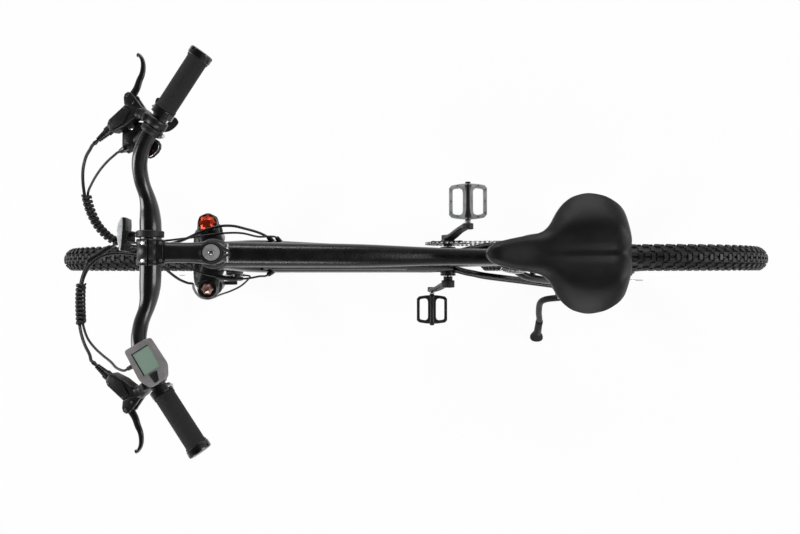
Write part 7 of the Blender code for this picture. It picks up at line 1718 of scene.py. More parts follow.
GAUGE = ((0.3590, -0.1760), (0.3548, -0.1772), (0.3495, -0.1740),
         (0.3462, -0.1683), (0.3466, -0.1620), (0.3500, -0.1560), (0.3577, -0.1490),
         (0.3640, -0.1465), (0.3672, -0.1475), (0.3665, -0.1530), (0.3610, -0.1640))


def shifter_meshes():
    direction = mirror_y(GRIP_DIRECTION)
    shapes = [prism(POD[::-1], POD_BOTTOM, POD_TOP, soft=0.0030),
              pipe_about(SHIFTER_CLAMP, direction * 0.0055, CLAMP_RADIUS, CLAMP_BORE, soft=0.0014),
              rod(SHIFTER_CLAMP + Vector((0.0110, 0, -0.0100)),
                  (0.3960, -0.1800, 0.9860), 0.0085, sides=28),
              rod((*SHIFTER_PIVOT.xy, 0.9660), (*SHIFTER_PIVOT.xy, 0.9800), 0.0030, sides=20)]
    shapes.append(sweep(smooth([(0.3880, -0.1820, 0.9870), (0.3730, -0.1720, 0.9980),
                                (0.3570, -0.1640, 1.0070)], 6), 0.0042, 16))
    shapes.append(prism(GAUGE[::-1], GAUGE_BOTTOM, GAUGE_TOP, soft=0.0015))
    lid = prism([(0.4120, -0.2020), (0.4030, -0.2075), (0.3890, -0.2050), (0.3960, -0.1880),
                 (0.4020, -0.1720), (0.4140, -0.1760)][::-1], 0.9915, 0.9936, soft=0.0006)
    screw = turned([(0.0, 0.0), (0.0052, 0.0), (0.0052, 0.0010), (0.0044, 0.0018),
                    (0.0026, 0.0018), (0.0022, 0.0008), (0.0, 0.0008)], 32)
    screw.transform(Matrix.Translation((0.4029, -0.2011, 0.9932)))
    bolt = rod(SHIFTER_CLAMP + Vector((-0.0135, 0.0075, -0.0080)),
               SHIFTER_CLAMP + Vector((-0.0145, 0.0120, 0.0020)), 0.0030, sides=20, soft=0.0005)
    edge = [Vector((x, y, 1.0112)) for x, y in GAUGE[1:9]]
    trim = sweep(smooth([p.lerp(Vector((0.3590, -0.1600, 1.0125)), 0.16) for p in edge], 4), 0.0010, 10)
    pointer = block((0.3562, -0.1578, 1.0124),
                    (0.0026, 0.0014, 0.0010), Matrix.Rotation(0.9, 3, "Z"), 0.0003)
    ribs = [(0.0, 0.0), (0.0084, 0.0)]
    for k in range(BARREL_RIBS):
        h = BARREL_PITCH * k
        ribs += [(BARREL_RADIUS, 0.0010 + h), (BARREL_RADIUS, 0.0022 + h), (0.0076, 0.0026 + h)]
    ribs += [(0.0062, 0.0150), (0.0044, 0.0195), (0.0034, BARREL_LENGTH), (0.0, BARREL_LENGTH)]
    way = SHIFTER_END - SHIFTER_ROOT
    barrel = moved(turned(ribs, 14), aimed(SHIFTER_END - way.normalized() * BARREL_LENGTH, way))
    return joined(shapes), joined([lid, barrel]), joined([screw, bolt, trim]), pointer


def paddle_mesh(line, halves, level, rise):
    """Shift lever: a flat arm from the pivot that swells into a finger pad."""
    arm = blade(line, halves, PADDLE_THICKNESS, 24, 3.4)
    arm.transform(Matrix.Translation((0, 0, level)))
    tip = Vector(line[-1]).to_3d()
    for v in arm.verts:
        near = max(0.0, 1 - (v.co.xy - tip.xy).length / PAD_REACH)
        v.co.z += rise * near * near
    half = PADDLE_THICKNESS / 2
    hub = pipe((*line[0], level - half), (*line[0], level + half), 0.0090, 0.0034, 32, 0.0004)
    return joined([arm, hub])


pieces("shifter", shifter_meshes(), (
    ("shifter_pod", MOULDED, 45), ("shifter_lid", SHINY_PLASTIC),
    ("shifter_screws", STEEL), ("gauge_pointer", RED)))
THUMB_LINE = (SHIFTER_PIVOT.xy[:], (0.3780, -0.1960), (0.3650, -0.2010),
              (0.3530, -0.2045), (0.3430, -0.2120), (0.3360, -0.2165))
FINGER_LINE = (SHIFTER_PIVOT.xy[:], (0.3860, -0.2050), (0.3790, -0.2200),
               (0.3735, -0.2350), (0.3700, -0.2470), (0.3685, -0.2540))
piece("thumb_paddle", paddle_mesh(THUMB_LINE, (0.0060, 0.0050, 0.0050, 0.0066, 0.0072, 0.0050),
                                  THUMB_LEVEL, 0.0035), MOULDED, "shift_lever_down", angle=60)
piece("finger_paddle", paddle_mesh(FINGER_LINE, (0.0060, 0.0050, 0.0046, 0.0050, 0.0066, 0.0052),
                                   FINGER_LEVEL, 0.0020), MOULDED, "shift_lever_up", angle=60)


# Display, on the left

DISPLAY_BOTTOM = BAR_CENTRE.z + 0.0481
DISPLAY_TOP = DISPLAY_BOTTOM + 0.0130
LEAD_EXIT = Vector((BAR_CENTRE.x + 0.0052, 0.1747, DISPLAY_BOTTOM + 0.0055))
LEAD_DIRECTION = Vector((0.878, 0.478, 0)).normalized()


def from_bar(points):
    """Outline whose points are measured from the middle of the handlebar."""
    return [(BAR_CENTRE.x + x, y) for x, y in points]


CASE = from_bar(((-0.0276, 0.1274), (0.0077, 0.1475), (-0.0163, 0.1916),
                 (-0.0336, 0.2016), (-0.0555, 0.1864), (-0.0546, 0.1666)))
GLASS_DEPTH = 0.0012
KEY_DEPTH = 0.0040
# Depth of the dark rods that paint the bezel's shadow line on the screen
SHADOW_LINE_DEPTH = 0.0003
KEY = from_bar(((-0.0313, 0.1812), (-0.0433, 0.1752), (-0.0463, 0.1890), (-0.0408, 0.1930)))
WINDOW = from_bar(((-0.0042, 0.1522), (-0.0290, 0.1369), (-0.0478, 0.1686), (-0.0237, 0.1837)))


def rounded(outline, radius, steps=5):
    """Outline with its corners rounded."""
    points = []
    count = len(outline)
    for i in range(count):
        p = Vector(outline[i])
        a = (Vector(outline[i - 1]) - p).normalized()
        b = (Vector(outline[(i + 1) % count]) - p).normalized()
        for k in range(steps + 1):
            t = k / steps
            points.append(p + a * (radius * (1 - t) ** 2) + b * (radius * t ** 2))
    return [tuple(p) for p in points]


def grown(outline, amount):
    middle = sum((Vector(p) for p in outline), Vector((0, 0))) / len(outline)
    return [tuple(middle + (Vector(p) - middle).normalized() * ((Vector(p) - middle).length + amount))
            for p in outline]


def display_meshes():
    direction = Vector((-0.36, 0.92, 0.16)).normalized()
    centre = BAR_CENTRE + Vector((0.0005, 0.1540, 0.0262))
    case = prism(rounded(CASE, 0.005), DISPLAY_BOTTOM, DISPLAY_TOP, soft=0.0022)
    well = prism(WINDOW, DISPLAY_TOP - GLASS_DEPTH, DISPLAY_TOP + 0.010)
    slot = prism(grown(KEY, 0.0005), DISPLAY_TOP - KEY_DEPTH, DISPLAY_TOP + 0.010)
    case = carved(case, [well, slot])
    mount = [pipe_about(centre, direction * 0.0060, CLAMP_RADIUS, CLAMP_BORE, soft=0.0012),
             block(centre + Vector((-0.004, 0.004, 0.0160)), (0.016, 0.016, 0.014), soft=0.002),
             rod(LEAD_EXIT - LEAD_DIRECTION * 0.014, LEAD_EXIT, 0.0042, 0.0030, sides=24, soft=0.0004)]
    glass = prism(grown(WINDOW, -0.0002), DISPLAY_TOP - 0.0011, DISPLAY_TOP - 0.0004)
    # Two dark rods along the window's edges are painted shade: the shadow line that the bezel casts on the
    # screen
    painted_shadow_lines = []
    corner = Vector((*WINDOW[2], DISPLAY_TOP - SHADOW_LINE_DEPTH))
    for a, b in ((0, 1), (3, 0)):
        ends = [Vector((*WINDOW[k], DISPLAY_TOP - SHADOW_LINE_DEPTH)).lerp(corner, 0.025) for k in (a, b)]
        painted_shadow_lines.append(rod(*ends, 0.0008, sides=8))
    return case, joined(mount), glass, joined(painted_shadow_lines)


# The dark rods on two edges of the screen are painted shade, a shadow line in a dark finish
pieces("display", display_meshes(), (
    ("display_case", CASE_GREY, 35), ("display_mount", MOULDED),
    ("display_glass", SCREEN), ("display_edge", SHINY_PLASTIC)))
piece("display_key_cap", prism(KEY, DISPLAY_TOP - 0.0027, DISPLAY_TOP + 0.0010, soft=0.0004),
      MOULDED, "display_button")


# Front reflector

REFLECTOR_TOP = Vector((0.4130, 0, 0.9975))
REFLECTOR_BOTTOM = 0.9565
REFLECTOR_LEAN = math.radians(-19)
LENS_GAP = 0.0035
BRACKET_Y = -0.0290


def reflector_meshes():
    front = ((0.4160, -0.0560), (0.4205, -0.0470), (0.4222, -0.0366),
             (0.4222, -0.0240), (0.4205, -0.0130), (0.4188, -0.0040))
    rear = ((0.4130, -0.0028), (0.4120, -0.0130), (0.4112, -0.0240),
            (0.4104, -0.0366), (0.4100, -0.0470), (0.4105, -0.0560))
    tilt = Matrix.Rotation(REFLECTOR_LEAN, 4, "Y")
    lean = Matrix.Translation(REFLECTOR_TOP) @ tilt @ Matrix.Translation(-REFLECTOR_TOP)
    lens = prism([*front, *((x + LENS_GAP, y) for x, y in rear)][::-1],
                 REFLECTOR_BOTTOM, REFLECTOR_TOP.z, soft=0.0010)
    backing = prism([*((x + 0.0036, y) for x, y in rear[::-1]), *((x - 0.0012, y) for x, y in rear)][::-1],
                    0.9550, 0.9990, soft=0.0008)
    middle = BAR_CENTRE + Vector((0.0003, BRACKET_Y, 0))
    half = Vector((0, 0.0052, 0))
    ring = pipe_about(middle, half, 0.0199, 0.0164, soft=0.0012)
    arm = block((0.3985, BRACKET_Y, 0.9880), (0.0240, 0.0075, 0.0060), soft=0.0012)
    flange = block((0.4080, -0.0260, 0.9860), (0.0050, 0.0180, 0.0220), soft=0.0012)
    screw = rod((0.3930, BRACKET_Y, 0.9850), (0.3930, BRACKET_Y, 0.9925), 0.0036, sides=20, soft=0.0006)
    lug = block((0.3900, BRACKET_Y, 0.9900), (0.0090, 0.0104, 0.0110), soft=0.0015)
    return moved(lens, lean), joined([moved(backing, lean), ring, arm, flange, lug]), screw


pieces("reflector", reflector_meshes(), (
    ("reflector_lens", CLEAR, 50), ("reflector_bracket", MOULDED), ("reflector_screw", DARK_STEEL)))


# Fork knobs

KNOB_BASE = CROWN_TOP + 0.0063


def knob_meshes(side, radius, height, points, inner):
    """Ring round a faceted, anodised crown that rises to a small centre."""
    place = Matrix.Translation((LEG_OFFSET, side * LEG_SPREAD, 0))
    ring = turned([(0.0, KNOB_BASE), (radius, KNOB_BASE),
                   (radius, KNOB_BASE + height * 0.62), (radius - 0.0008, KNOB_BASE + height * 0.70),
                   (inner + 0.0004, KNOB_BASE + height * 0.66),
                   (inner, KNOB_BASE + height * 0.50), (0.0, KNOB_BASE + height * 0.50)], 56)
    star = bmesh.new()
    rows = []
    for level, scale in ((0.48, 1.0), (0.66, 1.0), (0.86, 0.74), (1.0, 0.36)):
        row = []
        for i in range(points * 2):
            a = math.pi * i / points
            r = inner * scale * (1.0 if i % 2 == 0 else 0.80 if level < 0.9 else 0.94)
            row.append(star.verts.new((*polar(r, a), KNOB_BASE + height * level)))
        rows.append(row)
    for low, high in zip(rows, rows[1:]):
        for i in range(points * 2):
            j = (i + 1) % (points * 2)
            star.faces.new((low[i], low[j], high[j]))
            star.faces.new((low[i], high[j], high[i]))
    star.faces.new(rows[0][::-1])
    star.faces.new(rows[-1])
    return moved(ring, STEER @ place), moved(star, STEER @ place)


for side, node, size, finish in ((-1, "lockout_knob", (0.0176, 0.0130, 8, 0.0166), RED),
                                 (1, "preload_knob", (0.0172, 0.0110, 6, 0.0116), ROSE)):
    pieces(node, knob_meshes(side, *size), (
        (node + "_ring", SHINY_PLASTIC), (node + "_star", finish, 12)))


# Seat clamp, seatpost and saddle

LEVER_SEAT = Vector((-0.0245, 0.0208, SEAT_TUBE - 0.009))
POST_TOP = 0.533
RAIL_Z = 0.8050
RAIL_SPREAD = 0.0220
CLAMP_X = (SEAT_FRAME @ Vector((-0.0175, 0, POST_TOP))).x


def seat_clamp_meshes():
    x, _, z = LEVER_SEAT
    ring = turned([(0.0179, SEAT_TUBE - 0.016), (0.0212, SEAT_TUBE - 0.016), (0.0220, SEAT_TUBE - 0.015),
                   (0.0220, SEAT_TUBE + 0.001), (0.0212, SEAT_TUBE + 0.002), (0.0141, SEAT_TUBE + 0.002),
                   (0.0141, SEAT_TUBE + 0.0004), (0.0179, SEAT_TUBE + 0.0004)], 64, closed=True)
    ears = block((x + 0.001, 0, z), (0.013, 0.021, 0.012), soft=0.0018)
    collar = joined([ring, carved(ears, [block((x - 0.0035, 0, z), (0.030, 0.0024, 0.060))])])
    bright = joined([rod((x, -0.010, z), (x, -0.018, z), 0.0055, sides=28, soft=0.0008),
                     rod((x, 0.010, z), (x, 0.0138, z), 0.0060, sides=28, soft=0.0005),
                     rod((x, -0.012, z), (x, 0.012, z), 0.0024, sides=16)])
    return [moved(bm, SEAT_FRAME) for bm in (collar, bright)]


def seat_lever_mesh():
    x, y, z = LEVER_SEAT
    cam = rod((x, y, z - 0.0055), (x, y, z + 0.0055), 0.0062, sides=32, soft=0.0008)
    path = smooth([(x, y, z), (x + 0.012, y + 0.0078, z), (x + 0.032, y + 0.0088, z),
                   (x + 0.050, y + 0.0060, z + 0.001), (x + 0.058, y + 0.0048, z + 0.001)], 8)
    radii = [0.0040 + 0.0008 * math.sin(math.pi * i / (len(path) - 1)) for i in range(len(path))]
    return moved(joined([cam, sweep(path, radii, 20, 0.72, 2.4, round_ends=True)]), SEAT_FRAME)


def seatpost_meshes():
    post = rod((0, 0, SEAT_TUBE - 0.150), (0, 0, POST_TOP - 0.016), SEATPOST_RADIUS, sides=56)
    head = SEAT_FRAME.inverted() @ Vector((CLAMP_X, 0, RAIL_Z))
    neck = rod((0, 0, POST_TOP - 0.026), head - Vector((0, 0, 0.008)), 0.0138, 0.0110, 48, 0.001)
    turn = SEAT_FRAME.inverted().to_3x3()
    cradle = block(head - turn @ Vector((0, 0, 0.0078)), (0.040, 0.052, 0.013), turn, 0.0035, 3)
    yoke = block(head + turn @ Vector((0, 0, 0.0034)), (0.034, 0.052, 0.008), turn, 0.0028, 3)
    grooves = [rod(head + turn @ Vector((-0.05, s * RAIL_SPREAD, 0)),
                   head + turn @ Vector((0.05, s * RAIL_SPREAD, 0)), 0.0039, sides=28) for s in (-1, 1)]
    clamp = carved(cradle, grooves)
    bolts = [rod(head + turn @ Vector((s * 0.0115, 0, -0.016)),
                 head + turn @ Vector((s * 0.0115, 0, 0.0092)), 0.0036, sides=20, soft=0.0006)
             for s in (-1, 1)]
    return [moved(bm, SEAT_FRAME) for bm in (joined([post, neck, clamp, yoke]), joined(bolts))]


SADDLE_HEIGHT = 0.868
SADDLE_LENGTH = 0.2495
SADDLE_NOSE_X = -0.1727
SADDLE_MIDDLE_Y = -0.0020
SADDLE_DEPTH = 0.030
SADDLE_WIDTHS = ((0.000, 0.0030), (0.003, 0.0095), (0.007, 0.0140), (0.016, 0.0190), (0.028, 0.0227),
                 (0.059, 0.0297), (0.085, 0.0345), (0.100, 0.0393), (0.114, 0.0517), (0.124, 0.0713),
                 (0.138, 0.0900), (0.155, 0.1017), (0.177, 0.1063), (0.200, 0.1020), (0.2230, 0.0895),
                 (0.2375, 0.0745), (0.2450, 0.0560), (0.2485, 0.0400), (0.2495, 0.0270))


def saddle_half(distance):
    """Half width, from a monotone curve through the measured widths."""
    points = SADDLE_WIDTHS
    if distance <= points[0][0]:
        return points[0][1]
    for i in range(len(points) - 1):
        if distance <= points[i + 1][0]:
            break
    slopes = []
    for k in (i, i + 1):
        if 0 < k < len(points) - 1:
            before = (points[k][1] - points[k - 1][1]) / (points[k][0] - points[k - 1][0])
            after = (points[k + 1][1] - points[k][1]) / (points[k + 1][0] - points[k][0])
            slopes.append(0.0 if before * after <= 0 else 2 * before * after / (before + after))
        else:
            k = min(k, len(points) - 2)
            slopes.append((points[k + 1][1] - points[k][1]) / (points[k + 1][0] - points[k][0]))
    x0, y0 = points[i]
    x1, y1 = points[i + 1]
    span = x1 - x0
    t = min(1.0, max(0.0, (distance - x0) / span))
    return (y0 * (2 * t ** 3 - 3 * t ** 2 + 1) + y1 * (3 * t ** 2 - 2 * t ** 3)
            + slopes[0] * span * (t ** 3 - 2 * t ** 2 + t) + slopes[1] * span * (t ** 3 - t ** 2))


def saddle_wave(distance):
    return SADDLE_HEIGHT + 0.010 * math.cos(TAU * (distance / SADDLE_LENGTH - 0.92))


def saddle_ridge(distance):
    """Height of the seat along its middle: low nose, a dip, then the raised rear."""
    t = distance / SADDLE_LENGTH
    height = saddle_wave(distance) + 0.002 * t
    nose = max(0.0, 1 - distance / 0.030)
    tail = max(0.0, (distance - 0.214) / (SADDLE_LENGTH - 0.214))
    return height - 0.010 * nose ** 2.2 - 0.012 * tail ** 2.4


def saddle_surface(distance, share):
    """Height above the middle line's base across the seat; share runs from -1 to 1."""
    half = saddle_half(distance)
    wide = min(1.0, max(0.0, (half - 0.030) / 0.060))
    a = abs(share)
    edge = 0.0135 * a ** 5.0 + 0.0045 * a ** 2
    dome = 0.0060 * wide * math.exp(-((a - 0.50) / 0.26) ** 2)
    depth = min(1.0, max(0.0, (distance - 0.060) / 0.080))
    depth *= 0.45 + 0.55 * min(1.0, max(0.0, (distance - 0.120) / 0.090))
    depth *= min(1.0, 0.15 + (SADDLE_LENGTH - distance) / 0.045)
    groove = depth * (0.0062 * math.exp(-(share * half / 0.0085) ** 2)
                      + 0.0034 * math.exp(-(share * half / 0.024) ** 2))
    return saddle_ridge(distance) - edge * (0.55 + 0.45 * wide) + dome - groove


def saddle_mesh():
    """Padded cover: crown, domes and channel above, drawn-in sides below, closed underneath."""
    rows = 96
    across = 48
    rings = []
    for i in range(rows + 1):
        distance = SADDLE_LENGTH * (0.5 - 0.5 * math.cos(math.pi * i / rows))
        half = saddle_half(distance)
        notch = 0.0040 * max(0.0, (distance - 0.225) / 0.0208) ** 2
        ring = []
        for k in range(across + 1):
            share = math.sin(math.pi * (k / across - 0.5))
            pull = notch * math.exp(-(share * half / 0.012) ** 2)
            ring.append(Vector((SADDLE_NOSE_X - distance + pull, SADDLE_MIDDLE_Y + share * half,
                                saddle_surface(distance, share))))
        edge_z = ring[-1].z
        base = saddle_ridge(distance) - SADDLE_DEPTH
        skirt = ((1.006, 0.30), (1.000, 0.62), (0.975, 0.86), (0.93, 1.0), (0.84, 1.0))
        left = [Vector((ring[-1].x, SADDLE_MIDDLE_Y + half * s, edge_z + (base - edge_z) * d))
                for s, d in skirt]
        right = [Vector((ring[0].x, SADDLE_MIDDLE_Y - half * s, edge_z + (base - edge_z) * d))
                 for s, d in skirt]
        rings.append([*ring, *left, *reversed(right)])
    cover = loft(rings)
    bmesh.ops.smooth_vert(cover, verts=cover.verts, factor=0.5,
                          use_axis_x=True, use_axis_y=True, use_axis_z=True)
    return cover


def saddle_base_meshes():
    rings = []
    for i in range(49):
        distance = 0.008 + 0.222 * i / 48
        half = saddle_half(distance) * 0.84
        top = saddle_ridge(distance) - SADDLE_DEPTH - 0.0004
        x = SADDLE_NOSE_X - distance
        rings.append([Vector((x, y * half + SADDLE_MIDDLE_Y, top - z))
                      for y, z in ((-1, 0), (-0.5, 0), (0, 0), (0.5, 0), (1, 0), (0.96, 0.0035),
                                   (0.86, 0.0060), (0, 0.0064), (-0.86, 0.0060), (-0.96, 0.0035))])
    rails = []
    for side in (-1, 1):
        y = side * RAIL_SPREAD
        nose_z = saddle_wave(0.035) - SADDLE_DEPTH - 0.0042
        tail_z = saddle_wave(0.215) - SADDLE_DEPTH - 0.0035
        x = SADDLE_NOSE_X
        path = smooth([(x - 0.030, side * 0.010, nose_z), (x - 0.046, side * 0.013, nose_z - 0.006),
                       (x - 0.074, y, RAIL_Z + 0.001), (x - 0.092, y, RAIL_Z),
                       (x - 0.120, y, RAIL_Z), (x - 0.150, y, RAIL_Z), (x - 0.172, y, RAIL_Z + 0.001),
                       (x - 0.200, y * 1.25, RAIL_Z + 0.010), (x - 0.214, y * 1.35, tail_z)], 6)
        rails.append(sweep(path, 0.0035, 20))
    return loft(rings), joined(rails)


pieces("seat_clamp", seat_clamp_meshes(), (
    ("seat_collar", SATIN_ALLOY), ("seat_collar_bolts", STEEL)))
piece("seat_quick_lever", seat_lever_mesh(), STEEL, "seat_clamp_lever")
pieces("seatpost", seatpost_meshes(), (
    ("seat_post", GLOSS_ALLOY, 45), ("seat_post_bolts", STEEL)))
saddle = piece("saddle_cover", saddle_mesh(), COVER, "saddle", angle=80)
pieces("saddle_base", saddle_base_meshes(), (
    ("saddle_shell", MOULDED), ("saddle_rails", STEEL)))


# Hoses, cables and the spiral wraps

HOSE_RADIUS = 0.0024
WIRE_RADIUS = 0.0019
WRAP_RADIUS = 0.0071
WRAP_PITCH = 0.0078
END_GAP = 0.0003
STRAIGHT_END = 0.005

# Listed points of each cable's run, which are the CAD's own
REAR_HOSE_ROUTE = ((0.4750, -0.1680, 0.9870), (0.4870, -0.1570, 0.9800),
                   (0.4985, -0.1400, 0.9700), (0.5050, -0.1210, 0.9610), (0.5080, -0.0990, 0.9520),
                   (0.5075, -0.0760, 0.9430), (0.5000, -0.0490, 0.9330), (0.4850, -0.0290, 0.9245),
                   (0.4730, -0.0210, 0.9200), (0.4560, -0.0160, 0.9150), (0.4300, -0.0140, 0.9090),
                   (0.4010, -0.0160, 0.9060), (0.3650, -0.0240, 0.9020), (0.3320, -0.0400, 0.8960),
                   (0.3050, -0.0500, 0.8880), (0.2820, -0.0520, 0.8770), (0.2640, -0.0480, 0.8610),
                   (0.2505, -0.0440, 0.8410), (0.2435, -0.0405, 0.8260))
SHIFT_ROUTE = ((0.4380, -0.1590, 0.9810), (0.4530, -0.1500, 0.9760),
               (0.4720, -0.1360, 0.9680), (0.4900, -0.1185, 0.9590), (0.5044, -0.1003, 0.9488),
               (0.5041, -0.0776, 0.9398), (0.4969, -0.0514, 0.9299), (0.4825, -0.0311, 0.9208),
               (0.4705, -0.0240, 0.9160), (0.4540, -0.0205, 0.9110), (0.4300, -0.0210, 0.9045),
               (0.3950, -0.0245, 0.8990), (0.3530, -0.0300, 0.8920), (0.3200, -0.0355, 0.8840),
               (0.2940, -0.0395, 0.8740), (0.2700, -0.0400, 0.8600), (0.2480, -0.0350, 0.8400),
               (0.2335, -0.0365, 0.8230), (0.2265, -0.0370, 0.8080))
FRONT_HOSE_ROUTE = (
    (0.4760, 0.1640, 0.9845), (0.4900, 0.1510, 0.9750), (0.5020, 0.1350, 0.9665), (0.5110, 0.1180, 0.9585),
    (0.5175, 0.1000, 0.9505), (0.5225, 0.0820, 0.9420), (0.5265, 0.0640, 0.9330), (0.5285, 0.0500, 0.9270),
    (0.5280, 0.0360, 0.9210), (0.5220, 0.0180, 0.9140), (0.5070, 0.0040, 0.9070), (0.4830, -0.0020, 0.9000),
    (0.4440, 0.0020, 0.8930), (0.4150, 0.0130, 0.8860), (0.4010, 0.0300, 0.8750), (0.3920, 0.0440, 0.8540),
    (0.3895, 0.0515, 0.8250),
)
FRONT_HOSE_LEG_ROUTE = ((0.0460, 0.0540, 0.4780), (0.0470, 0.0640, 0.4400), (0.0440, 0.0770, 0.4000),
                        (0.0380, 0.0870, 0.3500), (0.0270, 0.0915, 0.3000), (0.0180, 0.0910, 0.2400),
                        (0.0110, 0.0890, 0.1800), (0.0000, 0.0860, 0.1350), (-0.0180, 0.0800, 0.1080),
                        (-0.0420, 0.0680, 0.0930), (-0.0600, 0.0520, 0.0810), (-0.0660, 0.0420, 0.0690))
LEAD_ROUTE = ((0.3850, 0.1770, 1.0470), (0.4000, 0.1750, 1.0360),
              (0.4190, 0.1700, 1.0180), (0.4460, 0.1620, 0.9985), (0.4690, 0.1520, 0.9840),
              (0.4890, 0.1380, 0.9715), (0.5070, 0.1180, 0.9556), (0.5139, 0.1003, 0.9472),
              (0.5225, 0.0842, 0.9377), (0.5296, 0.0662, 0.9299), (0.5329, 0.0512, 0.9250),
              (0.5345, 0.0360, 0.9170), (0.5335, 0.0130, 0.9040), (0.5178, -0.0010, 0.8955),
              (0.5020, -0.0150, 0.8870), (0.4850, -0.0200, 0.8840),
              (0.4550, -0.0150, 0.8815), (0.4200, -0.0040, 0.8785), (0.3860, 0.0120, 0.8750),
              (0.3540, 0.0280, 0.8720), (0.3250, 0.0370, 0.8660), (0.2950, 0.0430, 0.8560),
              (0.2680, 0.0430, 0.8430), (0.2490, 0.0390, 0.8280), (0.2405, 0.0385, 0.8190))
RIGHT_WRAP = ((0.5062, -0.0997, 0.9504), (0.5058, -0.0768, 0.9414), (0.4985, -0.0502, 0.9315),
              (0.4838, -0.0300, 0.9227), (0.4718, -0.0225, 0.9180))
LEFT_WRAP = ((0.5090, 0.1180, 0.9571), (0.5157, 0.1002, 0.9489),
             (0.5225, 0.0831, 0.9399), (0.5281, 0.0651, 0.9315), (0.5307, 0.0506, 0.9260))
STAY_HOSE_ROUTE = (
    (-0.1560, 0.0300, 0.3285), (-0.1800, 0.0358, 0.3225), (-0.2200, 0.0412, 0.3229),
    (-0.2900, 0.0503, 0.3312), (-0.3500, 0.0573, 0.3390), (-0.3850, 0.0590, 0.3490),
    (-0.4080, 0.0585, 0.3680), (-0.4240, 0.0560, 0.3880),
)
STAY_CABLE_ROUTE = ((-0.1560, -0.0300, 0.3285), (-0.1800, -0.0358, 0.3225), (-0.2200, -0.0412, 0.3229),
                    (-0.3100, -0.0527, 0.3337), (-0.4000, -0.0635, 0.3450), (-0.4500, -0.0700, 0.3515),
                    (-0.4950, -0.0800, 0.3600), (-0.5220, -0.0880, 0.3690), (-0.5480, -0.0915, 0.3730),
                    (-0.5740, -0.0925, 0.3650), (-0.5900, -0.0925, 0.3480), (-0.5930, -0.0905, 0.3330))


def cable_path(start, start_direction, route, end, end_direction):
    """Smooth path through a route, its two ends square to what they meet."""
    head = start + start_direction.normalized() * STRAIGHT_END
    tail = end + end_direction.normalized() * STRAIGHT_END
    return [start, *smooth([head, *route, tail], 6), end]


def port_line(index):
    """End of a cable boss on the frame, and the way out of it."""
    end, root = (Vector(p) for p in CABLE_PORTS[index])
    return end, end - root


def caliper_line(axle, angle, rotor_y):
    """Start of the gap beyond a caliper's hose port, and the way out of it."""
    out = Vector((math.cos(angle), 0, math.sin(angle)))
    return axle + out * (PAD_RADIUS + PORT_REACH + END_GAP) + Vector((0, rotor_y, 0)), out


def path_length(path):
    return sum((b - a).length for a, b in zip(path, path[1:]))


def cable(name, node, path, radius, ends, mat=HOUSING):
    """A free cable that rides on the body named by ends; where ends is a tuple of two bodies and points,
    the cable stays fixed in place, riding on neither.
    """
    ob = link_mesh(name, sweep(path, radius, 16), mat, 60)
    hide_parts(node)
    if isinstance(ends, str):
        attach(ob, ends)
    else:
        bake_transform(ob)
    return ob


def wrap_mesh(route, turns_step=28):
    """Spiral of flat strip round a bundle: a helix about a short curve, its strand wider than thick."""
    spine = smooth(route, 12)
    total = path_length(spine)
    count = round(total / WRAP_PITCH * turns_step)
    points = []
    for k in range(count + 1):
        centre, ahead = point_along(spine, total * k / count)
        side = ahead.cross(Vector((0, 0, 1))).normalized()
        up = side.cross(ahead)
        a = TAU * k / turns_step
        points.append((centre, ahead, side * math.cos(a) + up * math.sin(a)))
    rings = []
    for k, (centre, ahead, out) in enumerate(points):
        fade = min(1.0, (k + 1) / 6, (count + 1 - k) / 6)
        middle = centre + out * (WRAP_RADIUS - 0.0006)
        rings.append([middle + ahead * (u * fade) + out * v for u, v in oval(10, 0.0031, 0.0014, 2.0)])
    return loft(rings)


def point_along(path, distance):
    """Point and direction at a distance along a path."""
    for i, (a, b) in enumerate(zip(path, path[1:])):
        step = (b - a).length
        if distance <= step or i == len(path) - 2:
            before = path[max(i - 2, 0)]
            after = path[min(i + 3, len(path) - 1)]
            return a.lerp(b, min(1.0, distance / step)), (after - before).normalized()
        distance -= step


def sleeve_on(path, near, length, radius, sides=24):
    """A moulded sleeve on a cable's own line, centred where the line passes nearest a point."""
    near = Vector(near)
    middle = min(range(len(path)), key=lambda i: (path[i] - near).length)
    run = path_length(path[:middle + 1])
    line = [point_along(path, run + length * (i / 12 - 0.5))[0] for i in range(13)]
    radii = [radius * (0.80 if i in (0, 12) else 1.0) for i in range(13)]
    return sweep(line, radii, sides)


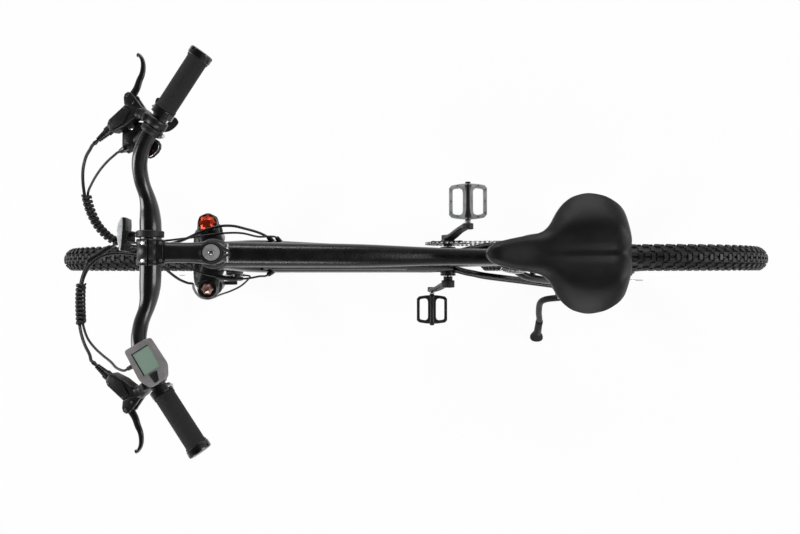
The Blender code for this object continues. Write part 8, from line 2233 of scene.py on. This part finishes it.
def cables():
    hose_way = HOSE_EXIT - CYLINDER_TAIL
    right_way = mirror_y(hose_way)
    barrel_way = SHIFTER_END - SHIFTER_ROOT
    rear = cable_path(mirror_y(HOSE_EXIT) + right_way.normalized() * END_GAP,
                      right_way, REAR_HOSE_ROUTE, *port_line(0))
    shift = cable_path(SHIFTER_END + barrel_way.normalized() * END_GAP,
                       barrel_way, SHIFT_ROUTE, *port_line(1))
    lead = cable_path(LEAD_EXIT + LEAD_DIRECTION * END_GAP, LEAD_DIRECTION, LEAD_ROUTE, *port_line(2))
    front_end, front_out = caliper_line(Vector((FORK_OFFSET, 0, 0)),
                                        CALIPER_ANGLE["front"], ROTOR_Y["front"])
    front = cable_path(HOSE_EXIT + hose_way.normalized() * END_GAP, hose_way,
                       [*FRONT_HOSE_ROUTE, *(STEER @ Vector(p) for p in FRONT_HOSE_LEG_ROUTE)],
                       STEER @ front_end, STEER.to_3x3() @ front_out)
    rear_end, rear_out = caliper_line(REAR_AXLE, CALIPER_ANGLE["rear"], ROTOR_Y["rear"])
    stay = cable_path(*port_line(3), STAY_HOSE_ROUTE, rear_end, rear_out)
    adjuster = Vector(BARREL_ADJUSTER[1]) - Vector(BARREL_ADJUSTER[0])
    gear = cable_path(*port_line(4), STAY_CABLE_ROUTE,
                      Vector(BARREL_ADJUSTER[1]) + adjuster.normalized() * END_GAP, adjuster)

    for word, route in (("right", RIGHT_WRAP), ("left", LEFT_WRAP)):
        piece("wrap_strip_" + word, wrap_mesh(route), MOULDED, "wrap_" + word, angle=60)
    sleeve = sleeve_on(lead, (0.518, 0.000, 0.896), 0.046, 0.0045)
    front_sleeve = piece("lead_connector_front", sleeve, MOULDED, "wrap_left", hide=False, angle=50)

    turning = ("frame", "steering", (0.262, 0, 0.850), (0.400, 0, 0.905))
    cable("rear_brake_hose", "brake_hose_rear", rear, HOSE_RADIUS, turning)
    cable("gear_cable", "shift_cable", shift, WIRE_RADIUS, turning)
    cable("display_wire", "display_lead", lead, WIRE_RADIUS,
          turning)
    side_sleeve = link_mesh("lead_connector_side",
                            sleeve_on(lead, (0.298, 0.0420, 0.8570), 0.036, 0.0044), MOULDED, 50)
    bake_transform(side_sleeve)
    sliding = ("steering", "lower_legs", (0.389, 0.05, 0.800), STEER @ Vector((0.046, 0.054, 0.440)))
    cable("front_brake_hose", "brake_hose_front", front, HOSE_RADIUS, sliding)
    cable("rear_brake_hose_stay", "brake_hose_stay", stay, HOSE_RADIUS, "frame")
    cable("gear_cable_stay", "shift_cable_stay", gear, WIRE_RADIUS, "frame")


cables()


# Ground, surroundings and lamps

def white_ground():
    """Shadow-catching ground: full white where it is seen, plain and pale for the light it throws back."""
    mat = bpy.data.materials.new("white_ground")
    mat.use_nodes = True
    nodes = mat.node_tree.nodes
    links = mat.node_tree.links
    nodes.remove(nodes["Principled BSDF"])
    path = nodes.new("ShaderNodeLightPath")
    seen = ray_share(nodes, links, path)
    kept = nodes.new("ShaderNodeMath")
    kept.operation = "MULTIPLY"
    kept.inputs[1].default_value = 0.93
    links.new(seen, kept.inputs[0])
    grain = put(nodes.new("ShaderNodeTexNoise"), {"Scale": 3.0})
    tone = put(nodes.new("ShaderNodeMapRange"), {"To Min": 0.88, "To Max": 0.92})
    links.new(grain.outputs["Fac"], tone.inputs["Value"])
    matt = nodes.new("ShaderNodeBsdfDiffuse")
    links.new(tone.outputs["Result"], matt.inputs["Color"])
    glow = put(nodes.new("ShaderNodeEmission"), {"Color": (1, 1, 1, 1), "Strength": 1.0})
    mix = nodes.new("ShaderNodeMixShader")
    links.new(kept.outputs["Value"], mix.inputs["Fac"])
    links.new(matt.outputs["BSDF"], mix.inputs[1])
    links.new(glow.outputs["Emission"], mix.inputs[2])
    links.new(mix.outputs["Shader"], nodes["Material Output"].inputs["Surface"])
    return mat


def ray_share(nodes, links, path):
    """Socket that is 1 for a camera, glossy or transmitted ray and 0 for any other."""
    total = path.outputs["Is Camera Ray"]
    for name in ("Is Glossy Ray", "Is Transmission Ray"):
        add = nodes.new("ShaderNodeMath")
        add.operation = "ADD"
        add.use_clamp = True
        links.new(total, add.inputs[0])
        links.new(path.outputs[name], add.inputs[1])
        total = add.outputs["Value"]
    return total


def white_surroundings():
    """White to the camera and through glass; elsewhere a pale horizon under a darker top."""
    world = bpy.data.worlds.new("surroundings")
    bpy.context.scene.world = world
    world.use_nodes = True
    nodes = world.node_tree.nodes
    links = world.node_tree.links
    for node in list(nodes):
        nodes.remove(node)
    path = nodes.new("ShaderNodeLightPath")
    seen = nodes.new("ShaderNodeMath")
    seen.operation = "ADD"
    seen.use_clamp = True
    links.new(path.outputs["Is Camera Ray"], seen.inputs[0])
    links.new(path.outputs["Is Transmission Ray"], seen.inputs[1])
    place = nodes.new("ShaderNodeTexCoord")
    split = nodes.new("ShaderNodeSeparateXYZ")
    links.new(place.outputs["Generated"], split.inputs["Vector"])
    ramp = nodes.new("ShaderNodeValToRGB")
    ramp.color_ramp.elements[0].position = 0.0
    ramp.color_ramp.elements[0].color = (0.80, 0.80, 0.80, 1)
    ramp.color_ramp.elements[1].position = 1.0
    ramp.color_ramp.elements[1].color = (0.10, 0.10, 0.10, 1)
    for position, tone in ((0.35, 0.85), (0.62, 0.60), (0.80, 0.20)):
        stop = ramp.color_ramp.elements.new(position)
        stop.color = (tone, tone, tone, 1)
    links.new(split.outputs["Z"], ramp.inputs["Fac"])
    lit = put(nodes.new("ShaderNodeBackground"), {"Strength": 0.45})
    links.new(ramp.outputs["Color"], lit.inputs["Color"])
    white = put(nodes.new("ShaderNodeBackground"), {"Color": (1, 1, 1, 1)})
    mix = nodes.new("ShaderNodeMixShader")
    links.new(seen.outputs["Value"], mix.inputs["Fac"])
    links.new(lit.outputs["Background"], mix.inputs[1])
    links.new(white.outputs["Background"], mix.inputs[2])
    out = nodes.new("ShaderNodeOutputWorld")
    links.new(mix.outputs["Shader"], out.inputs["Surface"])


def softbox(name, place, aim, size, watts):
    """Rectangular lamp looking at a point."""
    lamp = bpy.data.lights.new(name, "AREA")
    lamp.shape = "RECTANGLE"
    lamp.size = size[0]
    lamp.size_y = size[1]
    lamp.energy = watts
    ob = bpy.data.objects.new(name, lamp)
    ob.location = place
    ob.rotation_euler = (Vector(aim) - Vector(place)).to_track_quat("-Z", "Y").to_euler()
    bpy.context.scene.collection.objects.link(ob)


def ground():
    bm = bmesh.new()
    bmesh.ops.create_grid(bm, x_segments=1, y_segments=1, size=14)
    data = bpy.data.meshes.new("ground")
    bm.to_mesh(data)
    bm.free()
    data.materials.append(white_ground())
    ob = bpy.data.objects.new("ground", data)
    bpy.context.scene.collection.objects.link(ob)


ground()
white_surroundings()
softbox("softbox_right", (0.1, -2.6, 2.2), (0, 0, 0.6), (2.4, 0.9), 48)
softbox("softbox_left", (0.1, 2.6, 2.2), (0, 0, 0.6), (2.4, 0.9), 48)
softbox("softbox_front", (2.9, 0, 2.1), (0, 0, 0.7), (0.9, 2.0), 36)
softbox("softbox_rear", (-2.9, 0, 2.1), (0, 0, 0.7), (0.9, 2.0), 36)
